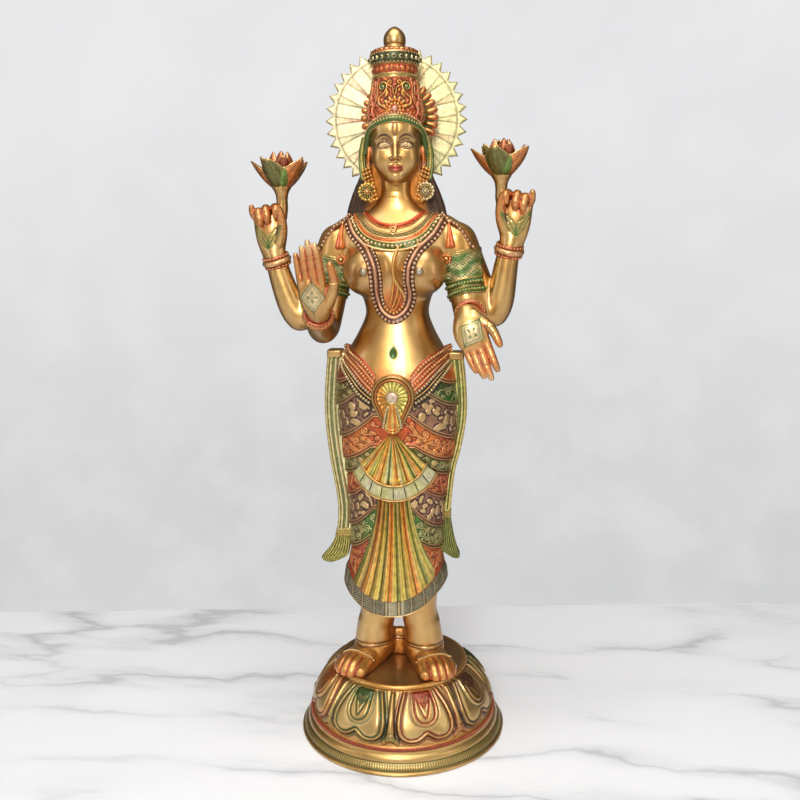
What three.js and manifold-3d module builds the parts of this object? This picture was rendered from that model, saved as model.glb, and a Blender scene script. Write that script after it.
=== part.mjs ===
// A four-armed goddess standing on a round lotus base, cast in brass, with a toothed sheet-brass halo
// riveted behind her head. Millimetres, +Z up. The origin is the centre of the base's underside and
// the figure faces -Y.
import * as THREE from "three";
import { mergeVertices } from "three/addons/utils/BufferGeometryUtils.js";
import Module from "manifold-3d";

const wasm = await Module();
wasm.setup();

// Base
const BASE_DIAMETER = 232;
const BASE_HEIGHT = 80;
const PLATFORM_DIAMETER = 148;
const RIM_HEIGHT = 4;
const MILLED_RING_HEIGHT = 8;
const BAND_HEIGHT = 10;
const COLLAR_HEIGHT = 6;
const PETAL_COUNT = 8;
const PETAL_RELIEF = 2.6;
const PETAL_ROOT = 3;
const SEAT_GAP = 0.3;

// Figure
const FIGURE_HEIGHT = 682;
const HEAD_TURN = 6;
const LOTUS_DIAMETER = 62;
const LOTUS_HEIGHT = 40;
const LOTUS_PETALS = 6;
const SIRAS_WHEEL_DIAMETER = 82;
const SIRAS_WHEEL_THICKNESS = 6;
const SIRAS_WHEEL_LOBES = 20;

// Halo
const HALO_DIAMETER = 152;
const HALO_THICKNESS = 2.5;
const HALO_TEETH = 36;
const HALO_TOOTH_DEPTH = 8.5;
const PIN_DIAMETER = 8;
const PIN_CLEARANCE = 0.3;
const RIVET_DIAMETER = 15;

// The figure's pose and proportions are given in points measured on a figure of this height, from the
// soles up, and are shares of FIGURE_HEIGHT.
const POSE_HEIGHT = 682;
const SHARE = FIGURE_HEIGHT / POSE_HEIGHT;
const HEAD_CENTRE = [1, -4];
const HALO_CENTRE_Z = 595;
const CROWN_BACK_Y = 31;

// Joins leave no vertices closer to the surface than this.
const FINEST_STEP = 0.4;

const radians = THREE.MathUtils.degToRad;

// A signed power, for superellipse sections.
const power = (value, exponent) => Math.sign(value) * Math.abs(value) ** exponent;

// Solids

// A closed three.js geometry as a manifold solid with its faces pointing out.
function solid(geometry) {
  const bare = geometry.clone();
  bare.deleteAttribute("normal");
  bare.deleteAttribute("uv");
  const merged = mergeVertices(bare, 1e-3);
  const corners = merged.index.array;
  const kept = [];
  for (let i = 0; i < corners.length; i += 3) {
    const [a, b, c] = [corners[i], corners[i + 1], corners[i + 2]];
    if (a !== b && b !== c && c !== a) kept.push(a, b, c);
  }
  const vertProperties = new Float32Array(merged.attributes.position.array);
  const facing = (order) =>
    new wasm.Manifold(
      new wasm.Mesh({ numProp: 3, vertProperties, triVerts: new Uint32Array(order) }),
    );
  const made = facing(kept);
  return made.volume() >= 0 ? made : facing(kept.reverse());
}

const join = (solids) => wasm.Manifold.union(solids);

// A solid without the sealed pockets that a join leaves between its pieces.
const filled = (made) => join(made.decompose().filter((shell) => shell.volume() > 0));

// A solid as a three.js geometry.
function geometryOf(made) {
  const { vertProperties, triVerts, numProp } = made.getMesh();
  const geometry = new THREE.BufferGeometry();
  const points = [];
  for (let i = 0; i < vertProperties.length; i += numProp) {
    points.push(vertProperties[i], vertProperties[i + 1], vertProperties[i + 2]);
  }
  geometry.setAttribute("position", new THREE.Float32BufferAttribute(points, 3));
  geometry.setIndex(new THREE.BufferAttribute(triVerts, 1));
  geometry.computeVertexNormals();
  return geometry;
}

// Merges the ends of each edge that can go without moving the surface by more than the tolerance, so
// that the slivers along joins go. The surface stays closed, because only ends that share exactly two
// neighbours merge, and no facet turns over.
function thinned(made, tolerance) {
  const { vertProperties, triVerts, numProp } = made.getMesh();
  const points = Array.from({ length: vertProperties.length / numProp }, (_, i) =>
    new THREE.Vector3().fromArray(vertProperties, i * numProp),
  );
  const facets = Array.from({ length: triVerts.length / 3 }, (_, i) => [
    ...triVerts.subarray(3 * i, 3 * i + 3),
  ]);
  const facetsAt = points.map(() => new Set());
  const planesAt = points.map(() => new Array(10).fill(0));
  const normalOf = ([a, b, c]) =>
    new THREE.Vector3()
      .subVectors(points[b], points[a])
      .cross(new THREE.Vector3().subVectors(points[c], points[a]));
  facets.forEach((facet, i) => {
    const { x, y, z } = normalOf(facet).normalize();
    const w = -(x * points[facet[0]].x + y * points[facet[0]].y + z * points[facet[0]].z);
    const terms = [x * x, x * y, x * z, x * w, y * y, y * z, y * w, z * z, z * w, w * w];
    for (const corner of facet) {
      facetsAt[corner].add(i);
      terms.forEach((term, k) => (planesAt[corner][k] += term));
    }
  });
  const offPlanes = (a, b, { x, y, z }) => {
    const q = planesAt[a].map((term, k) => term + planesAt[b][k]);
    const squares = q[0] * x * x + q[4] * y * y + q[7] * z * z + q[9];
    return squares + 2 * (q[1] * x * y + q[2] * x * z + q[3] * x + q[5] * y * z + q[6] * y + q[8] * z);
  };
  const neighbours = (a) => new Set([...facetsAt[a]].flatMap((i) => facets[i]).filter((b) => b !== a));

  const merge = (a, b, place) => {
    const near = neighbours(b);
    if ([...neighbours(a)].filter((c) => near.has(c)).length !== 2) return false;
    const [oldA, oldB] = [points[a], points[b]];
    const kept = [...facetsAt[a], ...facetsAt[b]].filter((i) => !(facetsAt[a].has(i) && facetsAt[b].has(i)));
    const before = kept.map((i) => normalOf(facets[i]));
    [points[a], points[b]] = [place, place];
    const sound = kept.every((i, k) => {
      const after = normalOf(facets[i]);
      return after.length() > 1e-3 && after.dot(before[k]) > 0.6 * after.length() * before[k].length();
    });
    if (!sound) {
      [points[a], points[b]] = [oldA, oldB];
      return false;
    }
    for (const i of facetsAt[b]) {
      if (facetsAt[a].has(i)) {
        for (const corner of facets[i]) facetsAt[corner].delete(i);
        facets[i] = null;
      } else {
        facets[i] = facets[i].map((corner) => (corner === b ? a : corner));
        facetsAt[a].add(i);
      }
    }
    facetsAt[b].clear();
    planesAt[a] = planesAt[a].map((term, k) => term + planesAt[b][k]);
    return true;
  };

  for (let merged = 1; merged > 0; ) {
    merged = 0;
    const edges = [];
    for (const facet of facets) {
      if (!facet) continue;
      for (let k = 0; k < 3; k++) {
        const [a, b] = [facet[k], facet[(k + 1) % 3]];
        if (a > b) continue;
        const middle = new THREE.Vector3().lerpVectors(points[a], points[b], 0.5);
        for (const place of [points[a], points[b], middle]) {
          const cost = offPlanes(a, b, place);
          if (cost < tolerance * tolerance) edges.push({ a, b, place, cost });
        }
      }
    }
    edges.sort((p, q) => p.cost - q.cost);
    const touched = new Set();
    for (const { a, b, place } of edges) {
      if (touched.has(a) || touched.has(b) || !merge(a, b, place.clone())) continue;
      touched.add(a).add(b);
      merged++;
    }
  }
  const left = facets.filter(Boolean);
  const geometry = new THREE.BufferGeometry().setFromPoints(points);
  geometry.setIndex(left.flat());
  return solid(geometry);
}

// A closed solid through rings of points of equal length, with a fan over each end.
function loft(rings) {
  const around = rings[0].length;
  const points = rings.flat();
  const faces = [];
  for (let r = 0; r < rings.length - 1; r++) {
    for (let i = 0; i < around; i++) {
      const [a, b] = [r * around + i, r * around + ((i + 1) % around)];
      faces.push(a, b, b + around, a, b + around, a + around);
    }
  }
  for (const [start, flip] of [[0, true], [(rings.length - 1) * around, false]]) {
    const centre = new THREE.Vector3();
    for (let i = 0; i < around; i++) centre.addScaledVector(points[start + i], 1 / around);
    points.push(centre);
    for (let i = 0; i < around; i++) {
      const [a, b] = [start + i, start + ((i + 1) % around)];
      faces.push(points.length - 1, ...(flip ? [b, a] : [a, b]));
    }
  }
  const geometry = new THREE.BufferGeometry().setFromPoints(points);
  geometry.setIndex(faces);
  return solid(geometry);
}

// A closed plate between face(u, v) and back(u, v), u and v running from 0 to 1.
function plate(columns, rows, face, back) {
  const across = columns + 1;
  const size = across * (rows + 1);
  const points = [];
  for (const side of [face, back]) {
    for (let j = 0; j <= rows; j++) {
      for (let i = 0; i <= columns; i++) points.push(side(i / columns, j / rows));
    }
  }
  const faces = [];
  const quad = (a, b, c, d) => faces.push(a, b, c, a, c, d);
  for (let j = 0; j < rows; j++) {
    for (let i = 0; i < columns; i++) {
      const a = j * across + i;
      quad(a, a + 1, a + 1 + across, a + across);
      quad(size + a, size + a + across, size + a + 1 + across, size + a + 1);
    }
  }
  for (let i = 0; i < columns; i++) {
    const end = rows * across + i;
    quad(i, size + i, size + i + 1, i + 1);
    quad(end, end + 1, size + end + 1, size + end);
  }
  for (let j = 0; j < rows; j++) {
    const [a, b] = [j * across, j * across + columns];
    quad(a, a + across, size + a + across, size + a);
    quad(b, size + b, size + b + across, b + across);
  }
  const geometry = new THREE.BufferGeometry().setFromPoints(points);
  geometry.setIndex(faces);
  return solid(geometry);
}

// Figure measures

const at = (x, y, z) => new THREE.Vector3(x, y, z).multiplyScalar(SHARE);

// The row of a table at height z, by a smooth curve through its rows. A row starts with its height,
// and the rows run downwards.
function rowAt(table, z) {
  const last = table.length - 1;
  let i = table.findIndex((row, k) => k < last && z >= table[k + 1][0]);
  if (i < 0) i = last - 1;
  const [p, q] = [table[i], table[i + 1]];
  const before = table[Math.max(0, i - 1)];
  const after = table[Math.min(last, i + 2)];
  const span = q[0] - p[0];
  const t = THREE.MathUtils.clamp((z - p[0]) / span, 0, 1);
  const slope = (from, to, k) => ((to[k] - from[k]) / (to[0] - from[0])) * span;
  return p.map((value, k) => {
    if (k === 0) return z;
    const [m0, m1] = [slope(before, q, k), slope(p, after, k)];
    return (
      (2 * t ** 3 - 3 * t ** 2 + 1) * value +
      (t ** 3 - 2 * t ** 2 + t) * m0 +
      (3 * t ** 2 - 2 * t ** 3) * q[k] +
      (t ** 3 - t ** 2) * m1
    );
  });
}

// Height, half width, front depth, back depth and shift in x of the torso.
const TORSO = [
  [535, 16, 15, 15, 0.5],
  [512, 18.5, 15.5, 19, 0],
  [500, 30, 18, 23, 0],
  [490, 47, 22, 27, 0],
  [478, 57, 27, 29, 0],
  [455, 57, 31, 31, 0],
  [430, 47, 32, 30, 0],
  [408, 36, 30.5, 28, 0],
  [395, 33.5, 31, 27, 0],
  [375, 40.5, 35, 30, -0.7],
  [350, 54, 40, 36, -2],
];

// The same of the skirt, from the hips to the hem.
const SKIRT = [
  [358, 50, 36, 33, -1],
  [345, 58, 42, 40, -1.5],
  [325, 63, 48, 47, -1.5],
  [300, 65, 51, 50, -1],
  [258, 62, 50.5, 47, 0],
  [219, 56, 48, 42, -1],
  [190, 53, 47, 39, -2],
  [160, 51, 46.5, 37, -3],
  [135, 50, 47, 37, -3.5],
  [112, 52, 49, 40, -5],
  [96, 54, 52, 43, -5.5],
  [68, 55, 54, 44, -5.5],
];
const SECTION_POWER = 0.86;
const HEM = { front: 69, side: 97, back: 84 };

// A point on a section of a table, at an angle from the front towards +X.
function sectionPoint(row, angle, z, grow = 0) {
  const [, half, front, back, shift] = row;
  const depth = Math.cos(angle) > 0 ? front : back;
  return at(
    shift + (half + grow) * power(Math.sin(angle), SECTION_POWER),
    -(depth + grow) * power(Math.cos(angle), SECTION_POWER),
    z,
  );
}

// The y of a table's front face at x and z, in pose units.
function frontY(table, x, z) {
  const [, half, front, , shift] = rowAt(table, z);
  const across = Math.min(0.98, Math.abs((x - shift) / half));
  return -front * (1 - across ** (2 / SECTION_POWER)) ** (SECTION_POWER / 2);
}

const BREAST = { x: 28, y: -20, z: 439, radius: 26 };

// The y of the chest's front face, breasts included.
function chestY(x, z) {
  const reach = BREAST.radius ** 2 - (Math.abs(x) - BREAST.x) ** 2 - (z - BREAST.z) ** 2;
  const flat = frontY(TORSO, x, z);
  return reach > 0 ? Math.min(flat, BREAST.y - Math.sqrt(reach)) : flat;
}

// A limb of round section along points [x, y, z, radius]. Each band [place, width, rise] is a ring
// raised on it, with place and width counted in points. With up, the section is flattened along up.
function limb(
  points,
  { sides = 8, steps = 2 * (points.length - 1), flat = 1, up = null, round = true, bands = [] } = {},
) {
  const last = points.length - 1;
  const centres = points.map(([x, y, z]) => at(x, y, z));
  const curve = new THREE.CatmullRomCurve3(centres, false, "centripetal");
  const clear = (place) => bands.every(([middle, width]) => Math.abs(place - middle) > 0.7 * width);
  const stations = Array.from({ length: steps + 1 }, (_, i) => [(last * i) / steps, 0]).filter(
    ([place]) => place === 0 || place === last || clear(place),
  );
  for (const [middle, width, rise] of bands) {
    for (const [share, lift] of [[-0.5, 0], [-0.3, rise], [0.3, rise], [0.5, 0]]) {
      stations.push([middle + share * width, lift]);
    }
  }
  stations.sort((a, b) => a[0] - b[0]);

  let side = new THREE.Vector3(0.31, 0.95, 0.05);
  const ring = ([place, lift], shrink, push) => {
    const before = Math.min(last - 1, Math.floor(place));
    const share = place - before;
    const radius = (THREE.MathUtils.lerp(points[before][3], points[before + 1][3], share) + lift) * SHARE;
    const tangent = curve.getTangent(place / last);
    if (up) side = new THREE.Vector3().crossVectors(tangent, up);
    side = side.clone().addScaledVector(tangent, -side.dot(tangent)).normalize();
    const over = new THREE.Vector3().crossVectors(side, tangent);
    const centre = curve.getPoint(place / last).addScaledVector(tangent, push * radius * flat);
    return Array.from({ length: sides }, (_, i) => {
      const angle = (2 * Math.PI * i) / sides;
      return centre
        .clone()
        .addScaledVector(side, radius * shrink * Math.cos(angle))
        .addScaledVector(over, radius * shrink * flat * Math.sin(angle));
    });
  };
  const rings = stations.map((station) => ring(station, 1, 0));
  if (round) {
    rings.unshift(ring(stations[0], 0.55, -0.7));
    rings.push(ring(stations[stations.length - 1], 0.55, 0.7));
  }
  return loft(rings);
}

// An ellipsoid at a point in pose units.
function ball([x, y, z], [rx, ry, rz], across = 12, down = 8) {
  const geometry = new THREE.SphereGeometry(1, across, down);
  geometry.rotateX(Math.PI / 2);
  geometry.scale(rx * SHARE, ry * SHARE, rz * SHARE);
  geometry.translate(...at(x, y, z).toArray());
  return solid(geometry);
}

// A lathe turned about +Z from [radius, height] pairs that start and end on the axis.
function lathe(profile, segments) {
  const geometry = new THREE.LatheGeometry(
    profile.map(([radius, height]) => new THREE.Vector2(radius, height)),
    segments,
  );
  geometry.rotateX(Math.PI / 2);
  return solid(geometry);
}

// Both sides of the body: each solid that make builds for x side -1 and +1.
const bothSides = (make) => [-1, 1].flatMap((side) => make(side));

// Body

function torso() {
  const heights = TORSO.map(([z]) => z);
  const around = 16;
  const rings = heights.map((z) =>
    Array.from({ length: around }, (_, i) =>
      sectionPoint(rowAt(TORSO, z), (2 * Math.PI * i) / around, z),
    ),
  );
  const { x, y, z, radius } = BREAST;
  return [
    loft(rings),
    ...bothSides((side) => [
      ball([side * x, y, z], [radius, radius, radius], 10, 6),
      ball([side * x, y - radius, z], [3, 3, 3], 4, 2),
    ]),
  ];
}

// Legs under the skirt, each with its anklet, and the low web cast between the heels.
const ANKLET_RISE = 3;
function legs() {
  const web = new THREE.BoxGeometry(34 * SHARE, 10 * SHARE, 26 * SHARE);
  web.translate(...at(-3, 7, 13).toArray());
  const shin = (x, lean) =>
    limb([[x, 0, 110, 20], [x - lean, 0, 60, 20.5], [x, 1, 35, 17], [x + lean, 0, 10, 20]], {
      sides: 8,
      steps: 3,
      bands: [[2.5, 0.34, ANKLET_RISE]],
    });
  return [shin(-29, -3), shin(23, 3), solid(web)];
}

const FOOT = { length: 82, splay: 25, heelY: 12, halfWidth: 21.5 };

// A bare foot with five toes, the big toe on the inside, and its sole flat on the platform.
function foot(side, heelX) {
  const turn = radians(FOOT.splay) * side;
  const place = (across, along, z, radius) => [
    heelX + along * Math.sin(turn) + across * side * Math.cos(turn),
    FOOT.heelY - along * Math.cos(turn) + across * Math.sin(radians(FOOT.splay)),
    z,
    radius,
  ];
  const { length, halfWidth } = FOOT;
  const body = limb(
    [place(0, -2, 8, 15), place(0, length * 0.34, 11, 20), place(0.5, length * 0.68, 3, 22.5)],
    { sides: 8, steps: 2, flat: 0.75, up: new THREE.Vector3(0, 0, 1) },
  );
  const toes = Array.from({ length: 5 }, (_, i) => {
    const across = THREE.MathUtils.lerp(-halfWidth * 0.8, halfWidth * 0.88, i / 4);
    const reach = length * (0.95 - 0.055 * i);
    const thick = i === 0 ? 6.4 : 5.4;
    return limb([place(across * 0.9, reach - 22, 6, thick), place(across, reach - thick, 3.5, thick)], {
      sides: 5,
      steps: 1,
      round: false,
    });
  });
  return [body, ...toes];
}

function feet() {
  const ground = new THREE.BoxGeometry(400 * SHARE, 400 * SHARE, 100 * SHARE);
  ground.translate(0, 0, -50 * SHARE);
  return [join([...foot(-1, -26), ...foot(1, 20), ...legs()]).subtract(solid(ground))];
}

// Head, in its own frame: x is 0 on the face's middle line.

const HEAD = [
  [600, 24, 26, 18, 0],
  [582, 27, 28.5, 24, 0],
  [565, 26, 29, 24, 0],
  [548, 23, 29.5, 20, 0],
  [536, 18, 29.5, 15, 0],
  [528, 9, 27, 8, 0],
];

function face() {
  const around = 14;
  const rings = HEAD.map((row) =>
    Array.from({ length: around }, (_, i) =>
      sectionPoint(row, (2 * Math.PI * i) / around, row[0]),
    ),
  );
  const nose = limb([[0, -27, 572, 2.2], [0, -32, 556, 4]], { sides: 4, steps: 1 });
  const lips = ball([0, -27.5, 547], [7, 2.8, 3.4], 8, 3);
  const eyes = bothSides((side) => [
    ball([side * 10.5, -24.5, 567], [6, 4.2, 3], 6, 3),
    limb([[side * 4, -28, 573.5, 1.2], [side * 11, -27, 576, 1.2], [side * 19, -22, 572.5, 1.2]], {
      sides: 3,
      steps: 2,
      round: false,
    }),
  ]);
  return [loft(rings), nose, lips, ...eyes];
}

// The tall tiered crown with its bands, cap and finial: radius and height.
const CROWN = [
  [0, 586],
  [29.5, 589],
  [30, 597],
  [26, 613],
  [22.5, 632],
  [21, 636],
  [23, 641],
  [25.5, 645],
  [25.5, 653],
  [23, 657.5],
  [10.5, 661],
  [9.4, 664],
  [11, 670],
  [8.5, 676.5],
  [0, 682],
];
const DIADEM = [[-29.5, -2, 568], [-25, -16, 582], [-13, -26, 590], [0, -29, 593]];

function crown() {
  const body = lathe(CROWN.map(([radius, z]) => [radius * SHARE, z * SHARE]), 16);
  const mirrored = DIADEM.slice(0, -1).reverse();
  const path = [...DIADEM, ...mirrored.map(([x, y, z]) => [-x, y, z])];
  const diadem = limb(path.map((point) => [...point, 3.6]), { sides: 4, steps: 6, round: false });
  return [body, diadem, ball([0, -27, 605], [8, 5, 8], 7, 3)];
}

// A flat wheel of round lobes, standing behind the head, facing -Y.
function lobedWheel(radius, depth, lobes, thickness) {
  const shape = new THREE.Shape();
  for (let i = 0; i < 2 * lobes; i++) {
    const reach = i % 2 ? radius - depth : radius;
    const angle = (Math.PI * i) / lobes;
    const corner = [reach * Math.sin(angle), reach * Math.cos(angle)];
    if (i === 0) shape.moveTo(...corner);
    else shape.lineTo(...corner);
  }
  shape.closePath();
  const geometry = new THREE.ExtrudeGeometry(shape, {
    depth: thickness,
    bevelEnabled: false,
    curveSegments: 8,
  });
  geometry.rotateX(Math.PI / 2);
  geometry.translate(0, thickness, 0);
  return geometry;
}

function sirasWheel() {
  const geometry = lobedWheel(
    SIRAS_WHEEL_DIAMETER / 2,
    5 * SHARE,
    SIRAS_WHEEL_LOBES,
    SIRAS_WHEEL_THICKNESS,
  );
  geometry.translate(0, 12 * SHARE, HALO_CENTRE_Z * SHARE);
  return solid(geometry);
}

// Ears with the strands that hang over them, and the round studs below.
function ears() {
  return bothSides((side) => {
    const stud = new THREE.CylinderGeometry(10 * SHARE, 7.5 * SHARE, 22 * SHARE, 10);
    stud.translate(...at(side * 30, -3, 519).toArray());
    return [
      ball([side * 28.5, -1, 556], [4.5, 7, 17], 6, 4),
      limb([[side * 32, 1, 574, 2.8], [side * 35.5, 1, 552, 3.2], [side * 33, -2, 530, 2.6]], {
        sides: 4,
        steps: 2,
        round: false,
      }),
      solid(stud),
    ];
  });
}

const HAIR = [
  [592, 22, 2, 17, 0],
  [565, 31, 2, 18.5, 0],
  [538, 37, 3, 19, 0],
  [517, 46, 2, 19.5, 0],
  [497, 52, 2, 29, 0],
  [472, 49, 5, 37, 0],
  [440, 36, 5, 38, 0],
  [402, 14, 2, 32, 0],
];

// Hair falling behind the neck to the middle of the back, in locks.
function hair() {
  const around = 14;
  const rings = HAIR.map((row) =>
    Array.from({ length: around }, (_, i) => {
      const angle = (2 * Math.PI * i) / around;
      const lock = Math.cos(angle) < 0.2 ? (i % 2 ? 0.9 : -0.9) : 0;
      return sectionPoint(row, angle, row[0], lock);
    }),
  );
  return [loft(rings)];
}

// The pin behind the crown that carries the halo, with its rivet head.
const haloFrontY = () => CROWN_BACK_Y * SHARE + PIN_CLEARANCE;
function haloPin() {
  const behind = haloFrontY() + HALO_THICKNESS + PIN_CLEARANCE;
  const pin = new THREE.CylinderGeometry(PIN_DIAMETER / 2, PIN_DIAMETER / 2, behind + 4, 10);
  pin.translate(0, (behind + 4) / 2 - 2, HALO_CENTRE_Z * SHARE);
  const boss = new THREE.CylinderGeometry(RIVET_DIAMETER / 2, RIVET_DIAMETER / 2, 16 * SHARE, 12);
  boss.translate(0, (CROWN_BACK_Y - 8) * SHARE, HALO_CENTRE_Z * SHARE);
  const rivet = new THREE.CylinderGeometry(RIVET_DIAMETER * 0.28, RIVET_DIAMETER / 2, 3, 12);
  rivet.scale(1, -1, 1);
  rivet.translate(0, behind + 1.5, HALO_CENTRE_Z * SHARE);
  return [pin, boss, rivet].map(solid);
}

// Turns what is built in the head's frame to its place on the neck.
function headPlace() {
  const [x, y] = HEAD_CENTRE;
  return new THREE.Matrix4()
    .makeTranslation(x * SHARE, y * SHARE, 0)
    .multiply(new THREE.Matrix4().makeRotationZ(radians(HEAD_TURN)));
}

function head() {
  const parts = [...face(), ...crown(), sirasWheel(), ...ears(), ...haloPin()];
  return [join(parts).transform(headPlace().toArray())];
}

// Arms

// Shoulder, elbow and wrist of each arm as limb points, with its bands: armlets and bracelets.
const ARMS = [
  {
    points: [[-62, 2, 468, 19], [-69, 1, 430, 17], [-75, -4, 396, 16], [-78, -14, 378, 15.5],
      [-77, -38, 386, 13.5], [-73, -62, 399, 10]],
    bands: [[1.2, 0.36, 2.5], [4.85, 0.22, 5]],
  },
  {
    points: [[62, 2, 468, 19], [68, 1, 436, 17], [74, -4, 408, 16], [78, -14, 392, 15.5],
      [80, -38, 394, 13.5], [81, -62, 394, 10.5]],
    bands: [[1.2, 0.36, 2.5], [4.85, 0.22, 5]],
  },
  {
    points: [[-66, 8, 466, 18], [-84, 9, 430, 16.5], [-103, 6, 391, 16], [-115, 3, 398, 14.5],
      [-127, 0, 432, 11.8], [-133, -1, 460, 10]],
    bands: [[4.4, 0.2, 3], [4.68, 0.2, 3]],
  },
  {
    points: [[66, 8, 466, 18], [81, 9, 430, 16.5], [97, 6, 394, 16], [108, 3, 404, 14.5],
      [115, 0, 442, 11.8], [120, -1, 468, 10]],
    bands: [[4.4, 0.2, 3], [4.68, 0.2, 3]],
  },
];

const arms = () => ARMS.map(({ points, bands }) => limb(points, { sides: 8, steps: 6, bands }));

// Fingers of the open hands, thumb first: base, middle and tip.
const BLESSING_FINGERS = [
  [[-58, -70, 412, 5.6], [-52.5, -77, 431, 4.4], [-56.5, -82, 451, 3.2]],
  [[-68, -76, 440, 4.3], [-69, -80, 454, 4], [-71.5, -82, 466, 3]],
  [[-75.5, -77, 441, 4.4], [-76.5, -81, 456, 4], [-78.5, -84, 469, 3]],
  [[-82.5, -76, 440, 4.2], [-82.5, -80, 452, 3.8], [-83, -82, 461, 2.9]],
  [[-88.5, -73, 437, 3.9], [-89, -76, 448, 3.5], [-90, -79, 456, 2.7]],
];
const GIVING_FINGERS = [
  [[90, -68, 391, 5.6], [104, -73, 381, 4.2], [111.5, -77, 366, 3.2]],
  [[97, -74, 368, 4.2], [103, -78, 354, 3.9], [108.5, -80, 343, 3]],
  [[90.5, -75, 364, 4.3], [97, -79, 348, 4], [103.5, -82, 335, 3]],
  [[84, -75, 362, 4.2], [90, -79, 348, 3.8], [96.5, -82, 337, 2.9]],
  [[77.5, -73, 363, 3.9], [82, -76, 351, 3.5], [88, -79, 341, 2.7]],
];

const fingers = (list) => list.map((points) => limb(points, { sides: 5, steps: 2, round: false }));
const PALM = { sides: 8, steps: 2, flat: 0.5, up: new THREE.Vector3(0, 1, 0) };

// The right hand raised in blessing and the left hand lowered in giving, palms to the front.
function openHands() {
  return [
    limb([[-72, -66, 403, 12], [-73, -71, 418, 18], [-77, -74, 436, 15.5]], PALM),
    ...fingers(BLESSING_FINGERS),
    limb([[77, -66, 393, 14], [81, -71, 380, 16.5], [86, -73, 367, 14.5]], PALM),
    ...fingers(GIVING_FINGERS),
  ];
}

// A raised hand closed on a flower stalk: palm, curled fingers and thumb. x runs outwards.
function holdingHand(side, x, z) {
  const p = (out, y, up, radius) => [x + side * out, y, z + up, radius];
  return [
    limb([p(0, -2, 4, 11), p(1, -3, 22, 16.5), p(4, -2, 38, 15.5)], PALM),
    ...fingers([
      [p(-12, -6, 24, 5), p(-13, -11, 38, 4.6), p(-11, -13, 50, 3.4)],
      [p(-6, 0, 42, 4.4), p(-5, -9, 51, 4.2), p(-9, -15, 50, 3.4)],
      [p(3, 1, 44, 4.6), p(4, -11, 48, 4.4), p(2, -15, 38, 3.6)],
      [p(10, 0, 42, 4.4), p(12, -11, 45, 4.2), p(10, -14, 36, 3.4)],
      [p(17, -1, 38, 3.9), p(20, -8, 44, 3.7), p(21, -11, 50, 2.8)],
    ]),
  ];
}

// A half-open lotus on its stalk, standing on the point where it is held: one wall of petals that
// rises from the stalk, turns over at the petals' tips and falls to the heart.
function lotus(x, z, lean) {
  const radius = LOTUS_DIAMETER / 2;
  const foot = 32 * SHARE;
  const sections = [
    { reach: 0.13, rise: -1, tip: 0 },
    { reach: 0.15, rise: -0.1, tip: 0 },
    { reach: 0.55, rise: 0.12, tip: 0.2 },
    { reach: 0.78, rise: 0.5, tip: 1 },
    { reach: 0.45, rise: 0.4, tip: 0.4 },
    { reach: 0.36, rise: 0.72, tip: 0.15 },
    { reach: 0.12, rise: 0.98, tip: 0 },
  ];
  const around = 4 * LOTUS_PETALS;
  const rings = sections.map(({ reach, rise, tip }) =>
    Array.from({ length: around }, (_, i) => {
      const angle = (2 * Math.PI * i) / around;
      const leaf = 0.5 + 0.5 * Math.cos(LOTUS_PETALS * angle);
      const out = radius * (reach + 0.22 * tip * leaf);
      const up = rise < 0 ? foot * rise : LOTUS_HEIGHT * (rise + 0.2 * tip * (leaf - 0.5));
      return new THREE.Vector3(out * Math.sin(angle), -out * Math.cos(angle), up);
    }),
  );
  const turn = new THREE.Matrix4().makeRotationY(radians(lean));
  const place = new THREE.Matrix4().makeTranslation(...at(x, -3, z).toArray()).multiply(turn);
  return loft(rings).transform(place.toArray());
}

function flowersAndHands() {
  return [
    ...openHands(),
    ...holdingHand(-1, -134, 454),
    ...holdingHand(1, 122, 464),
    lotus(-122, 527, 0),
    lotus(109.5, 534, 0),
  ];
}

// Jewellery on the chest

// A bead string laid on the chest through [x, z] points of its right half, mirrored, at one radius.
function chestString(half, radius, sides = 4) {
  const path = [...half.map(([x, z]) => [-x, z]), ...half.slice(0, -1).reverse()];
  return limb(path.map(([x, z]) => [x, chestY(x, z) + 0.2 * radius, z, radius]), {
    sides,
    steps: path.length - 1,
    round: false,
  });
}

function necklaces() {
  return [
    chestString([[30, 499], [20, 484], [0, 478]], 4.5),
    chestString([[46, 494], [34, 475], [0, 464.5]], 4),
    chestString([[54, 490], [38, 469], [21, 449], [17.5, 424], [13, 398], [0, 390]], 5, 5),
    limb(
      [[2, 467], [-2, 440], [5, 412], [9, 402]].map(([x, z]) => [x, chestY(x, z), z, 2.2]),
      { sides: 3, steps: 4, round: false },
    ),
    ...bothSides((side) => [
      limb([[side * 50, 2, 500, 3.4], [side * 68, 0, 484, 3.6], [side * 85, 0, 463, 3.4]], {
        sides: 4,
        steps: 3,
        round: false,
      }),
      limb([[side * 57, -17, 484, 3], [side * 63, -18, 456, 4.5]], { sides: 4, steps: 1, round: false }),
    ]),
  ];
}

// Skirt and drapery

// Height of the hem at an angle from the front, in pose units.
function hemAt(angle) {
  const centre = Math.cos(angle) > 0 ? HEM.front : HEM.back;
  return HEM.side + (centre - HEM.side) * Math.abs(Math.cos(angle)) ** 2.2;
}

const HEM_BAND = 17;
const HEM_STEP = 2.6;

// Where the lower edge of each fold of the skirt runs: its height at the hip, its rise towards the
// middle, and how far from the middle it levels out.
const FOLDS = [
  { edge: 319, rise: 9, inner: 45 },
  { edge: 295, rise: 16, inner: 38 },
  { edge: 260, rise: 29, inner: 18 },
  { edge: 236, rise: 20, inner: 21 },
  { edge: 221, rise: 9, inner: 38 },
  { edge: 195, rise: 16, inner: 29 },
  { edge: 161, rise: 27, inner: 19 },
  { edge: 137, rise: 18, inner: 23 },
];
const FOLD_LIFT = 2.8;
const FOLD_STEP = 1.2;
const BACK_FOLD_SHARE = 0.35;

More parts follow.
